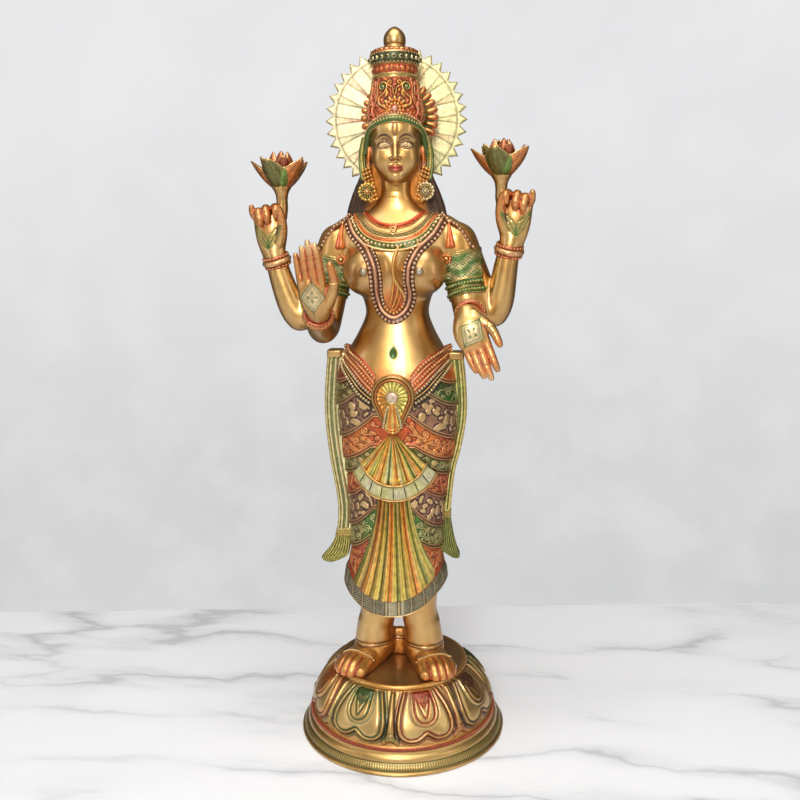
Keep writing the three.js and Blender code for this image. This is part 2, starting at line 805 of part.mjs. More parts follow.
function foldAt({ edge, rise, inner }, angle) {
  const half = rowAt(SKIRT, edge)[1];
  const x = half * Math.abs(Math.sin(angle)) ** SECTION_POWER;
  const share = THREE.MathUtils.clamp((half - x) / (half - inner), 0, 1);
  return edge + rise * share * (Math.cos(angle) > 0 ? 1 : BACK_FOLD_SHARE);
}

// The skirt from the hips to its stepped hem, each fold of cloth lapping over the one below it.
function skirt() {
  const around = 24;
  const ringAt = (heightOf, grow) =>
    Array.from({ length: around }, (_, i) => {
      const angle = (2 * Math.PI * i) / around;
      const z = heightOf(angle);
      return sectionPoint(rowAt(SKIRT, z), angle, z, grow);
    });
  return [
    loft([
      ringAt(() => SKIRT[0][0], 0),
      ringAt(() => 340, 0.5),
      ...FOLDS.flatMap((fold) => [
        ringAt((angle) => foldAt(fold, angle), FOLD_LIFT),
        ringAt((angle) => foldAt(fold, angle) - FOLD_STEP, 0),
      ]),
      ringAt((angle) => hemAt(angle) + HEM_BAND, 1),
      ringAt((angle) => hemAt(angle) + HEM_BAND - 1, HEM_STEP),
      ringAt((angle) => hemAt(angle), HEM_STEP),
    ]),
  ];
}

// A fluted fan of cloth on the skirt's front: its outline at u across and v down, and its lift there.
function flutedFan(flutes, shares, pointAt, liftAt) {
  const columns = 2 * flutes;
  const rows = shares.length - 1;
  const spot = (u, v) => pointAt(u, shares[Math.round(v * rows)]);
  const face = (u, v) => {
    const [x, z] = spot(u, v);
    const furrow = Math.round(u * columns) % 2 === 0;
    return at(x, frontY(SKIRT, x, z) - liftAt(furrow, Math.round(v * rows)), z);
  };
  const back = (u, v) => {
    const [x, z] = spot(u, v);
    return at(x, frontY(SKIRT, x, z) + 6, z);
  };
  return plate(columns, rows, face, back);
}

const PEPLUM = { apexZ: 275, angle: 47, reach: 73, sideReach: 61, border: 14, flutes: 7 };

// The short upper fan under the clasp, with its stepped border below.
function peplum() {
  const { apexZ, angle, reach, sideReach, border, flutes } = PEPLUM;
  const pointAt = (u, v) => {
    const turn = radians(angle) * (2 * u - 1);
    const outer = THREE.MathUtils.lerp(reach, sideReach, Math.abs(2 * u - 1) ** 2);
    const inner = outer - border;
    const out = v <= 1 ? THREE.MathUtils.lerp(6, inner, v) : THREE.MathUtils.lerp(inner, outer, v - 1);
    return [out * Math.sin(turn), apexZ - out * Math.cos(turn)];
  };
  const liftAt = (furrow, row) => (row < 2 ? (furrow ? 4.2 : 6.4) : furrow ? 7.4 : 8.2);
  return [flutedFan(flutes, [0, 0.98, 1.02, 2], pointAt, liftAt)];
}

const PLEATS = { topZ: 222, footZ: 94, footRise: 15, topHalf: 17, footHalf: 39, flutes: 7 };

// The long centre pleats, spreading from under the upper fan to the hem's border.
function centrePleats() {
  const { topZ, footZ, footRise, topHalf, footHalf, flutes } = PLEATS;
  const pointAt = (u, v) => {
    const side = 2 * u - 1;
    const x = side * (topHalf + (footHalf - topHalf) * v ** 1.9) - 2 * v;
    return [x, THREE.MathUtils.lerp(topZ, footZ + footRise * side ** 2, v)];
  };
  return [flutedFan(flutes, [0, 0.5, 0.8, 1], pointAt, (furrow) => (furrow ? 3.2 : 6))];
}

const CLASP = { z: 309, radius: 20.5, tailZ: 271, thickness: 8 };

// The drop-shaped belt clasp with its round boss.
function clasp() {
  const { z, radius, tailZ, thickness } = CLASP;
  const shape = new THREE.Shape();
  const lower = radians(-32);
  shape.absarc(0, z * SHARE, radius * SHARE, lower, Math.PI - lower, false);
  shape.quadraticCurveTo(-radius * 0.42 * SHARE, (tailZ + 9) * SHARE, 0, tailZ * SHARE);
  shape.quadraticCurveTo(
    radius * 0.42 * SHARE,
    (tailZ + 9) * SHARE,
    radius * Math.cos(lower) * SHARE,
    (z + radius * Math.sin(lower)) * SHARE,
  );
  const drop = new THREE.ExtrudeGeometry(shape, {
    depth: (thickness + 4) * SHARE,
    bevelEnabled: false,
    curveSegments: 7,
  });
  drop.rotateX(Math.PI / 2);
  drop.translate(0, -48 * SHARE, 0);
  return [solid(drop), ball([0, -59.5, z], [13, 4, 13], 10, 4)];
}

// Bead strings from the hips to the clasp.
function belt() {
  const strings = [[357, 322, 3.8], [344, 308, 3.8]];
  return bothSides((side) =>
    strings.map(([hip, front, radius]) => {
      const path = [[57, hip], [46, hip - 12], [33, (hip + front) / 2 - 6], [20, front - 3]];
      return limb(
        path.map(([x, z]) => [side * x, frontY(SKIRT, side * x, z), z, radius]),
        { sides: 4, steps: 3, round: false },
      );
    }),
  );
}

// The sashes that hang at each hip: outline points [x, z] down the outside and back up the inside.
const SASHES = [
  {
    outer: [[-76, 352], [-79.5, 318], [-81, 291], [-79.8, 264], [-76, 230], [-70, 192], [-69, 168],
      [-72, 146]],
    end: [[-80, 131], [-89.5, 119], [-86, 112], [-79, 111], [-68, 117]],
    inner: [[-56, 124], [-54, 146], [-50, 172], [-50, 352]],
  },
  {
    outer: [[71, 350], [74, 318], [74.5, 284], [69, 250], [62, 222], [58, 190], [57, 170]],
    end: [[60, 150], [67, 124], [64, 121], [55, 126], [45, 130]],
    inner: [[42, 150], [44, 172], [46, 222], [50, 352]],
  },
];
const SASH_DEPTH = 17;

function sashes() {
  return SASHES.flatMap(({ outer, end, inner }) => {
    const side = Math.sign(outer[0][0]);
    const outline = [...outer, ...end, ...inner].map(([x, z]) => new THREE.Vector2(x * SHARE, z * SHARE));
    const strap = new THREE.ExtrudeGeometry(new THREE.Shape(outline), {
      depth: SASH_DEPTH * SHARE,
      bevelEnabled: false,
    });
    strap.rotateX(Math.PI / 2);
    strap.translate(0, 6 * SHARE, 0);
    const rib = outer.map(([x, z]) => [x - side * 6, 6 - SASH_DEPTH, z, 2.2]);
    const tie = outer[outer.length - 1];
    const knot = new THREE.BoxGeometry(17 * SHARE, 22 * SHARE, 9 * SHARE);
    knot.translate(...at(outer[0][0] - side * 8, -3, outer[0][1] - 2).toArray());
    return [
      solid(strap),
      limb(rib, { sides: 3, steps: 7, round: false }),
      solid(knot),
      ball([tie[0] - side * 6, -3, tie[1] + 1], [8, 11, 3.2], 8, 4),
    ];
  });
}

function figure() {
  const whole = join([
    ...torso(),
    ...hair(),
    ...head(),
    ...arms(),
    ...flowersAndHands(),
    ...necklaces(),
    ...skirt(),
    ...peplum(),
    ...centrePleats(),
    ...belt(),
    ...clasp(),
    ...sashes(),
    ...feet(),
  ]);
  return thinned(filled(whole), FINEST_STEP);
}

// The toothed sheet with the hole that its pin passes through.
function haloPlate() {
  const sheet = lobedWheel(HALO_DIAMETER / 2, HALO_TOOTH_DEPTH, HALO_TEETH, HALO_THICKNESS);
  const reach = PIN_DIAMETER / 2 + PIN_CLEARANCE;
  const bore = new THREE.CylinderGeometry(reach, reach, 3 * HALO_THICKNESS, 16);
  return solid(sheet).subtract(solid(bore));
}

// Base

// The dome's radius at a share of the way up from the band to the collar.
function domeProfile(share) {
  const low = BASE_DIAMETER / 2 - 13;
  const high = PLATFORM_DIAMETER / 2 - 1;
  return high + (low - high) * Math.cos((Math.PI / 2) * share) ** 0.8;
}

const DOME_SHARES = [0, 0.14, 0.4, 0.7, 1];
const domeFoot = RIM_HEIGHT + MILLED_RING_HEIGHT + BAND_HEIGHT;
const domeTop = BASE_HEIGHT - COLLAR_HEIGHT;

function baseProfile() {
  const rim = BASE_DIAMETER / 2;
  const dome = DOME_SHARES.map((share) => [
    domeProfile(share),
    domeFoot + (domeTop - domeFoot) * share,
  ]);
  return [
    [0, 0],
    [rim, 0],
    [rim, RIM_HEIGHT],
    [rim - 7, RIM_HEIGHT + MILLED_RING_HEIGHT],
    [rim - 10, domeFoot],
    ...dome,
    [PLATFORM_DIAMETER / 2, domeTop + 1],
    [PLATFORM_DIAMETER / 2, BASE_HEIGHT],
    [0, BASE_HEIGHT],
  ];
}

// A point on the dome at an angle from the front, a share of the way up, and a height over it.
function onDome(angle, share, over) {
  const radius = domeProfile(share) + over;
  const z = domeFoot + (domeTop - domeFoot) * share + over * 0.45;
  return new THREE.Vector3(radius * Math.sin(angle), -radius * Math.cos(angle), z);
}

// One carved petal, heart-shaped and notched below with a raised leaf on its middle, and the narrow
// bud beside it.
function petal(index) {
  const turn = (2 * Math.PI) / PETAL_COUNT;
  const middle = turn * (index + 0.5);
  const leaf = (width, rows, over) => (u, v) => {
    const side = 2 * u - 1;
    const [share, breadth, notch] = rows[Math.round(v * (rows.length - 1))];
    return onDome(middle + side * turn * width * breadth, share + notch * (1 - Math.abs(side)), over);
  };
  const bud = (over) => (u, v) => {
    const share = DOME_SHARES.slice(1)[Math.round(3 * v)];
    const half = turn * (0.035 + 0.07 * (1 - share) ** 2);
    return onDome(middle + turn / 2 + (2 * u - 1) * half, share * 0.98, over);
  };
  // Rows up the petal and up the leaf on it: share of the dome's height, breadth and notch.
  const broad = [[0.03, 0.5, 0.13], [0.14, 0.94, 0.02], [0.4, 1, 0], [0.7, 0.95, 0], [0.97, 0.86, 0]];
  const inner = [[0.34, 0.3, 0], [0.6, 1, 0], [0.94, 0.6, 0]];
  return [
    plate(4, broad.length - 1, leaf(0.385, broad, PETAL_RELIEF), leaf(0.385, broad, -PETAL_ROOT)),
    plate(2, inner.length - 1, leaf(0.15, inner, 2 * PETAL_RELIEF), leaf(0.15, inner, 0)),
    plate(1, 3, bud(PETAL_RELIEF), bud(-PETAL_ROOT)),
  ];
}

function lotusBase() {
  const petals = Array.from({ length: PETAL_COUNT }, (_, i) => petal(i)).flat();
  const whole = join([lathe(baseProfile(), 4 * PETAL_COUNT), ...petals]);
  return thinned(filled(whole), FINEST_STEP);
}

// Assembly

const castBrass = new THREE.MeshStandardMaterial({ color: 0xc8923c, roughness: 0.32, metalness: 0.95 });
const lacqueredBrass = new THREE.MeshStandardMaterial({ color: 0xb98238, roughness: 0.35, metalness: 0.9 });
const paleSheet = new THREE.MeshStandardMaterial({ color: 0xe6dca0, roughness: 0.4, metalness: 0.85 });

function named(name, geometry, material) {
  const mesh = new THREE.Mesh(geometry, material);
  mesh.name = name;
  return mesh;
}

const statue = new THREE.Group();

const onPlatform = new THREE.Group();
onPlatform.position.z = BASE_HEIGHT + SEAT_GAP;
onPlatform.add(named("figure", geometryOf(figure()), castBrass));

const onHead = new THREE.Group();
onHead.applyMatrix4(headPlace());
const halo = named("halo", geometryOf(haloPlate()), paleSheet);
halo.position.set(0, haloFrontY(), HALO_CENTRE_Z * SHARE);
onHead.add(halo);
onPlatform.add(onHead);

statue.add(onPlatform);
statue.add(named("lotus_base", geometryOf(lotusBase()), lacqueredBrass));

export default statue;
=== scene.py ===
"""The looks of a four-armed goddess in enamelled cast brass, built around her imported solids.

Figure measures are millimetres on a figure 682 mm tall, from the soles up, with the face towards -Y.
"""

import math

import bpy
import numpy as np
from mathutils import Matrix, Vector
from mathutils.bvhtree import BVHTree
from mathutils.kdtree import KDTree


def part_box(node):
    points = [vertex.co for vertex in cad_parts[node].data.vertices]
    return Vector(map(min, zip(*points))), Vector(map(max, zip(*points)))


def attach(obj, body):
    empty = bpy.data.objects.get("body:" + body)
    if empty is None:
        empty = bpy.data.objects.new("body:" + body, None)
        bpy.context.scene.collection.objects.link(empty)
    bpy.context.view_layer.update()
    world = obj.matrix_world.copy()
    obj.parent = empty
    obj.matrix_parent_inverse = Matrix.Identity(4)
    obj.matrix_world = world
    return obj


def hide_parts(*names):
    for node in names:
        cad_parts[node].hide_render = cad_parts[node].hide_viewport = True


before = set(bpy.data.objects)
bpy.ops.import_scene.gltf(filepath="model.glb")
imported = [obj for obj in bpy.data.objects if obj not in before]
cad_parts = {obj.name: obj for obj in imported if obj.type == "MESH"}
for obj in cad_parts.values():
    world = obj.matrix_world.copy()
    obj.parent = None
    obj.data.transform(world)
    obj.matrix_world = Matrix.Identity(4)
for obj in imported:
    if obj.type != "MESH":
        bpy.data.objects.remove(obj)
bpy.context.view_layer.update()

POSE_HEIGHT = 682
figure_low, figure_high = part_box("figure")
_, base_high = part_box("lotus_base")
SHARE = (figure_high.z - figure_low.z) / POSE_HEIGHT
SOLES = np.array([0, 0, figure_low.z])
MM = 0.001

TAU = 2 * math.pi

# Enamels and bare metal, as linear colours
RED = (0.44, 0.028, 0.012)
ORANGE = (0.74, 0.165, 0.022)
AMBER = (0.80, 0.37, 0.05)
YELLOW = (0.82, 0.60, 0.12)
LIME = (0.66, 0.62, 0.15)
GREEN = (0.022, 0.125, 0.018)
LEAF = (0.10, 0.30, 0.03)
OLIVE = (0.20, 0.17, 0.035)
PURPLE = (0.16, 0.05, 0.035)
INK = (0.012, 0.020, 0.012)
ROSE = (0.70, 0.31, 0.17)
PALE = (0.86, 0.79, 0.50)
SILVER = (0.74, 0.74, 0.52)
BROWN = (0.17, 0.06, 0.018)


# Small helpers


def smoothstep(low, high, value):
    t = np.clip((value - low) / (high - low), 0, 1)
    return t * t * (3 - 2 * t)


def bump_at(value, centre, width):
    """1 at the centre, falling to 0 over about the width."""
    return np.exp(-(((value - centre) / width) ** 2))


def power(value, exponent):
    return np.sign(value) * np.abs(value) ** exponent


def lerp(a, b, t):
    return a + (b - a) * t


def ring_angles(count):
    """That many angles, evenly spaced round a full turn."""
    return np.arange(count) / count * TAU


def xyz(x, y, z):
    return np.stack(np.broadcast_arrays(x, y, z), axis=-1)


def about_axis(radius, angle, z):
    """Places round the upright axis, angle 0 at the front."""
    return xyz(radius * np.sin(angle), -radius * np.cos(angle), z)


def unit(rows):
    return rows / np.maximum(np.linalg.norm(rows, axis=-1, keepdims=True), 1e-9)


def smooth_path(points, spacing):
    """Rows about that far apart along a smooth curve through the given rows. Any columns after the
    third, such as radii, follow along."""
    rows = np.asarray(points, float)
    padded = np.vstack([2 * rows[0] - rows[1], rows, 2 * rows[-1] - rows[-2]])
    t = np.arange(24)[:, None] / 24
    spans = []
    for i in range(len(rows) - 1):
        a, b, c, d = padded[i : i + 4]
        spans.append(
            0.5 * (2 * b + (c - a) * t + (2 * a - 5 * b + 4 * c - d) * t**2 + (3 * b - 3 * c + d - a) * t**3)
        )
    path = np.vstack([*spans, rows[-1:]])
    steps = np.linalg.norm(np.diff(path[:, :3], axis=0), axis=1)
    length = np.concatenate([[0], np.cumsum(steps)])
    count = max(2, int(round(length[-1] / spacing)) + 1)
    where = np.linspace(0, length[-1], count)
    return np.stack([np.interp(where, length, column) for column in path.T], axis=1)


def flat_path(points, spacing):
    """Rows [x, z] that far apart along a smooth curve in a plane."""
    return smooth_path([(x, z, 0) for x, z in points], spacing)[:, :2]


# Meshes


class Coat:
    """Paint on a set of points: enamel colour and its amount, relief from 0 in the deepest recess to
    1 on a polished ridge, and grain for a chased, pebbled ground. The material darkens low relief
    with tarnish and painted shade."""

    def __init__(self, count, relief=0.5):
        self.tint = np.zeros((count, 4))
        self.relief = np.full(count, relief, float)
        self.grain = np.zeros(count)

    def lay(self, mask, colour, amount=1.0):
        """Lays enamel over what is there, as thickly as the mask and the amount say."""
        added = np.clip(np.asarray(mask, float).ravel() * amount, 0, 1)
        old = self.tint[:, 3]
        total = old * (1 - added) + added
        keep = np.where(total > 0, old * (1 - added) / np.maximum(total, 1e-9), 0)[:, None]
        self.tint[:, :3] = self.tint[:, :3] * keep + np.array(colour) * (1 - keep)
        self.tint[:, 3] = total
        return self

    def polish(self, relief, low=0.05, high=0.95):
        """Sets the relief, kept between two bounds."""
        self.relief = np.clip(relief, low, high).ravel()


def painted(count, relief, tint, amount):
    """A coat of one relief, all in one enamel if a tint is given."""
    coat = Coat(count, relief)
    return coat if tint is None else coat.lay(1, tint, amount)


def pose_to_world(points):
    return points * SHARE + SOLES


def placed(name, data):
    """A new object of that data in the scene."""
    made = bpy.data.objects.new(name, data)
    bpy.context.scene.collection.objects.link(made)
    return made


def thinned(mesh, share):
    """The mesh with that share of its triangles, the flattest places thinned first."""
    holder = placed("holder", mesh)
    holder.modifiers.new("thin", "DECIMATE").ratio = share
    graph = bpy.context.evaluated_depsgraph_get()
    made = bpy.data.meshes.new_from_object(holder.evaluated_get(graph), depsgraph=graph)
    made.name = mesh.name
    bpy.data.objects.remove(holder)
    return made


class Build:
    """Points, faces and paint gathered for one piece, in pose millimetres."""

    def __init__(self):
        self.points, self.coats, self.faces = [], [], []
        self.count = 0

    def add(self, points, faces, coat=None):
        points = np.asarray(points, float).reshape(-1, 3)
        self.points.append(points)
        self.coats.append(coat or Coat(len(points)))
        for face in faces:
            if len(face):
                self.faces.append(np.asarray(face) + self.count)
        self.count += len(points)
        return self

    def piece(
        self, name, material, most=None, node="figure", slot="figure_brass", to_world=pose_to_world
    ):
        """Makes the piece that replaces the node, thinned to that many triangles at most."""
        points = to_world(np.vstack(self.points))
        mesh = bpy.data.meshes.new(name)
        mesh.vertices.add(len(points))
        mesh.vertices.foreach_set("co", points.astype(np.float32).ravel())
        corners = np.concatenate([face.ravel() for face in self.faces]).astype(np.int32)
        sizes = np.concatenate([np.full(len(face), face.shape[1]) for face in self.faces])
        starts = np.concatenate([[0], np.cumsum(sizes)[:-1]]).astype(np.int32)
        mesh.loops.add(len(corners))
        mesh.loops.foreach_set("vertex_index", corners)
        mesh.polygons.add(len(sizes))
        mesh.polygons.foreach_set("loop_start", starts)
        mesh.update(calc_edges=True)
        mesh.validate()
        mesh.shade_smooth()
        tint = mesh.attributes.new("tint", "FLOAT_COLOR", "POINT")
        tint.data.foreach_set("color", np.vstack([c.tint for c in self.coats]).astype(np.float32).ravel())
        for key in ("relief", "grain"):
            attribute = mesh.attributes.new(key, "FLOAT", "POINT")
            values = np.concatenate([getattr(c, key) for c in self.coats]).astype(np.float32)
            attribute.data.foreach_set("value", values)
        mesh.materials.append(material)
        triangles = int(np.sum(sizes - 2))
        if most and triangles > most:
            mesh = thinned(mesh, most / triangles)
        made = placed(name, mesh)
        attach(made, "root")
        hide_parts(node)
        return made


def grid_faces(rows, columns, wrap=True, start=0):
    """Quads over a grid of points, closed across its columns with wrap."""
    across = columns if wrap else columns - 1
    r = np.arange(rows - 1)[:, None] * columns
    c = np.arange(across)[None, :]
    d = (c + 1) % columns
    a, b, e, f = r + c, r + d, r + columns + d, r + columns + c
    return np.stack([a, b, e, f], axis=-1).reshape(-1, 4) + start


def capped(surface, ends=(True, True)):
    """Points and faces of a surface of shape (rows, columns, 3) that closes on itself, with a fan over
    its first and last row. Its faces point out if columns run anticlockwise seen along the rows."""
    rows, columns = surface.shape[:2]
    points = [surface.reshape(-1, 3)]
    triangles = []
    ring = np.arange(columns)
    following = (ring + 1) % columns
    for wanted, first, flip in ((ends[0], 0, True), (ends[1], (rows - 1) * columns, False)):
        if not wanted:
            continue
        centre = np.full(columns, rows * columns + len(points) - 1)
        points.append(surface.reshape(-1, 3)[first : first + columns].mean(axis=0)[None])
        pair = (following + first, ring + first) if flip else (ring + first, following + first)
        triangles.append(np.stack([centre, *pair], axis=1))
    faces = [grid_faces(rows, columns), *triangles]
    return np.vstack(points), faces


def outward(points, faces):
    """The faces, turned over if the closed surface they make is inside out."""
    volume = 0.0
    for face in faces:
        for k in range(1, face.shape[1] - 1):
            a, b, c = points[face[:, 0]], points[face[:, k]], points[face[:, k + 1]]
            volume += np.einsum("ij,ij->", a, np.cross(b, c))
    return faces if volume > 0 else [face[:, ::-1] for face in faces]


def end_coat(coat, surface, ends):
    """A grid's coat with a row more for each cap."""
    rows, columns = surface.shape[:2]
    for wanted, first in ((ends[0], 0), (ends[1], (rows - 1) * columns)):
        if wanted:
            coat.tint = np.vstack([coat.tint, coat.tint[first : first + columns].mean(axis=0)])
            for key in ("relief", "grain"):
                values = getattr(coat, key)
                setattr(coat, key, np.append(values, values[first : first + columns].mean()))
    return coat


def add_surface(build, surface, coat, ends=(True, True)):
    points, faces = capped(surface, ends)
    build.add(points, outward(points, faces), end_coat(coat, surface, ends))


def point_normals(points, quads):
    """Vertex normals of a mesh of quads."""
    a, b, c, d = (points[quads[:, k]] for k in range(4))
    face = np.cross(c - a, d - b)
    corners = quads.ravel()
    sums = [np.bincount(corners, np.repeat(face[:, axis], 4), len(points)) for axis in range(3)]
    return unit(np.stack(sums, axis=1))


def sweep(path, radius, sides=8, flat=1.0, facing=(0, -1, 0)):
    """A tube's grid of points along a path. With flat its depth along facing is that share."""
    path = np.asarray(path, float)[:, :3]
    radius = np.broadcast_to(np.asarray(radius, float), len(path))[:, None, None]
    tangent = np.gradient(path, axis=0)
    tangent = unit(tangent)
    facing = np.broadcast_to(np.asarray(facing, float), tangent.shape)
    side = np.cross(tangent, facing)
    side = unit(side)
    over = np.cross(side, tangent)
    angle = ring_angles(sides)
    ring = side[:, None] * np.cos(angle)[:, None] + over[:, None] * np.sin(angle)[:, None] * flat
    return path[:, None] + ring * radius


def add_tube(build, path, radius, sides=8, flat=1.0, facing=(0, -1, 0), tint=None, amount=0.9, relief=0.8):
    surface = sweep(path, radius, sides, flat, facing)
    add_surface(build, surface, painted(surface[..., 0].size, relief, tint, amount))


BEAD_SIDES = 8
BEAD_RINGS = 4


def add_beads(build, centres, radii, tint=None, amount=0.5, relief=0.9, squash=1.0):
    """Round beads, each a small closed sphere."""
    centres = np.asarray(centres, float)
    radii = np.broadcast_to(np.asarray(radii, float), len(centres))
    angle = ring_angles(BEAD_SIDES)
    polar = np.arange(1, BEAD_RINGS) / BEAD_RINGS * math.pi
    ring = np.stack(
        [
            np.sin(polar)[:, None] * np.cos(angle),
            np.cos(polar)[:, None] * np.ones(BEAD_SIDES) * -squash,
            np.sin(polar)[:, None] * np.sin(angle),
        ],
        axis=-1,
    )
    points, faces = capped(ring)
    points[-2:, 1] = (-squash, squash)
    faces = outward(points, faces)
    for centre, radius in zip(centres, radii):
        build.add(points * radius + centre, faces, painted(len(points), relief, tint, amount))


# Distance fields


FAR = 30.0


def blended(a, b, reach):
    """The lower of two distances, rounded where they meet."""
    if reach <= 0:
        return np.minimum(a, b)
    near = np.clip(reach - np.abs(a - b), 0, None) / reach
    return np.minimum(a, b) - near * near * reach / 4


class Field:
    """Distances to a growing solid on a regular grid."""

    def __init__(self, low, high, step):
        self.low, self.step = np.array(low, float), step
        self.axes = [np.arange(a, b + step, step, dtype=np.float32) for a, b in zip(low, high)]
        self.values = np.full([len(axis) for axis in self.axes], FAR, np.float32)

    def change(self, low, high, distance, reach, cut=False):
        margin = 3 * self.step + 1.5 * reach
        spans = [
            slice(*np.searchsorted(axis, (a - margin, b + margin)))
            for axis, a, b in zip(self.axes, low, high)
        ]
        if any(span.stop <= span.start for span in spans):
            return self
        x = self.axes[0][spans[0]][:, None, None]
        y = self.axes[1][spans[1]][None, :, None]
        z = self.axes[2][spans[2]][None, None, :]
        new, old = distance(x, y, z), self.values[tuple(spans)]
        self.values[tuple(spans)] = -blended(-old, new, reach) if cut else blended(old, new, reach)
        return self

    def chain(self, points, reach=3.0, inner=1.5, flat=1.0, axis=(0, 1, 0), cut=False):
        """A limb along rows [x, y, z, radius], flattened along an axis."""
        rows = np.asarray(points, np.float32)
        axis = np.asarray(axis, np.float32)
        squeeze = 1 / flat - 1

        def distance(x, y, z):
            best = None
            for a, b in zip(rows[:-1], rows[1:]):
                along = b[:3] - a[:3]
                lean = along + squeeze * float(along @ axis) * axis
                dx, dy, dz = x - a[0], y - a[1], z - a[2]
                if squeeze:
                    out = squeeze * (dx * axis[0] + dy * axis[1] + dz * axis[2])
                    dx, dy, dz = dx + out * axis[0], dy + out * axis[1], dz + out * axis[2]
                share = np.clip((dx * lean[0] + dy * lean[1] + dz * lean[2]) / float(lean @ lean), 0, 1)
                dx, dy, dz = dx - share * lean[0], dy - share * lean[1], dz - share * lean[2]
                d = np.sqrt(dx * dx + dy * dy + dz * dz) - (a[3] + (b[3] - a[3]) * share)
                best = d if best is None else blended(best, d, inner)
            return best * math.sqrt(flat)

        widest = rows[:, 3:4]
        return self.change((rows[:, :3] - widest).min(0), (rows[:, :3] + widest).max(0), distance, reach, cut)

    def limb(self, points, reach=3.0, spacing=6.0, **options):
        return self.chain(smooth_path(points, spacing), reach, **options)

    def ball(self, centre, radii, reach=3.0, turn=0.0, cut=False):
        """An ellipsoid, turned about Y by turn degrees."""
        (cx, cy, cz), (rx, ry, rz) = centre, radii
        cos, sin = math.cos(math.radians(turn)), math.sin(math.radians(turn))

        def distance(x, y, z):
            dx, dy, dz = x - cx, y - cy, z - cz
            dx, dz = dx * cos - dz * sin, dx * sin + dz * cos
            outer = np.sqrt((dx / rx) ** 2 + (dy / ry) ** 2 + (dz / rz) ** 2)
            slope = np.sqrt((dx / rx**2) ** 2 + (dy / ry**2) ** 2 + (dz / rz**2) ** 2)
            return outer * (outer - 1) / np.maximum(slope, 1e-6)

        widest = max(rx, rz) if turn else None
        reach_x, reach_z = (widest, widest) if turn else (rx, rz)
        low = (cx - reach_x, cy - ry, cz - reach_z)
        high = (cx + reach_x, cy + ry, cz + reach_z)
        return self.change(low, high, distance, reach, cut)

    def loft(self, table, reach=3.0):
        """The solid of a table of sections, from its lowest row to its highest."""
        top, bottom = table[0][0], table[-1][0]

        def distance(x, y, z):
            half, front, back, shift = (np.float32(c)[None, None, :] for c in sections(table, z.ravel()))
            depth = np.where(y < 0, front, back)
            exponent = 2 / SECTION_POWER
            across = np.abs((x - shift) / half) ** exponent + np.abs(y / depth) ** exponent
            share = np.maximum(across ** (1 / exponent), 1e-3)
            flat = np.sqrt((x - shift) ** 2 + y * y)
            d = np.where(flat < 1e-3, -np.minimum(half, depth), flat * (1 - 1 / share))
            return np.maximum(np.maximum(d, z - top), bottom - z)

        widest = max(row[1] + abs(row[4]) for row in table)
        deepest = max(max(row[2], row[3]) for row in table)
        return self.change((-widest, -deepest, bottom), (widest, deepest, top), distance, reach)

    def surface(self):
        """Points and quads of the field's zero surface, by surface nets."""
        v = self.values
        inside = v < 0
        spans = (slice(None, -1), slice(1, None))
        corners = [(i, j, k) for i in (0, 1) for j in (0, 1) for k in (0, 1)]
        filled = sum(inside[spans[i], spans[j], spans[k]].astype(np.int8) for i, j, k in corners)
        cells = np.argwhere((filled > 0) & (filled < 8))
        index = np.full(filled.shape, -1, np.int32)
        index[tuple(cells.T)] = np.arange(len(cells))
        total, crossings = np.zeros((len(cells), 3)), np.zeros(len(cells))
        for a in corners:
            for axis in range(3):
                if a[axis]:
                    continue
                b = tuple(a[k] + (k == axis) for k in range(3))
                va, vb = (v[tuple((cells + offset).T)].astype(float) for offset in (a, b))
                crossed = (va < 0) != (vb < 0)
                share = np.where(crossed, va / np.where(crossed, va - vb, 1), 0)
                place = np.array(a, float)[None].repeat(len(cells), 0)
                place[:, axis] += share
                total += place * crossed[:, None]
                crossings += crossed
        points = self.low + (cells + total / crossings[:, None]) * self.step
        quads = []
        for axis in range(3):
            along = [slice(None)] * 3
            along[axis] = slice(None, -1)
            ahead = [slice(None)] * 3
            ahead[axis] = slice(1, None)
            first, second = inside[tuple(along)], inside[tuple(ahead)]
            others = [k for k in range(3) if k != axis]
            for leaving in (True, False):
                edge = np.argwhere((first & ~second) if leaving else (~first & second))
                edge = edge[(edge[:, others] > 0).all(1)]
                edge = edge[(edge[:, others] < np.array(filled.shape)[others]).all(1)]
                steps = np.zeros((4, 3), int)
                steps[1, others[0]] = steps[2, others[0]] = -1
                steps[2, others[1]] = steps[3, others[1]] = -1
                ring = [index[tuple((edge + step).T)] for step in steps]
                if leaving == (axis == 1):
                    ring.reverse()
                quads.append(np.stack(ring, axis=1))
        return points, np.vstack(quads)


def neighbour_mean(points, quads):
    """A function from a row for each point to the mean row of the point's neighbours."""
    pairs = np.vstack([quads[:, [k, (k + 1) % 4]] for k in range(4)])
    count = np.bincount(pairs.ravel(), minlength=len(points))[:, None]

    def mean(rows):
        total = [
            np.bincount(pairs[:, 0], rows[pairs[:, 1], axis], len(points))
            + np.bincount(pairs[:, 1], rows[pairs[:, 0], axis], len(points))
            for axis in range(3)
        ]
        return np.stack(total, axis=1) / count

    return mean


def evened(points, quads, times=2, share=0.5):
    """Points moved towards the middle of their neighbours and back, which evens small steps."""
    mean = neighbour_mean(points, quads)
    for _ in range(times):
        for amount in (share, -share * 0.94):
            points = points + amount * (mean(points) - points)
    return points


# Sections, as in the solids


SECTION_POWER = 0.86

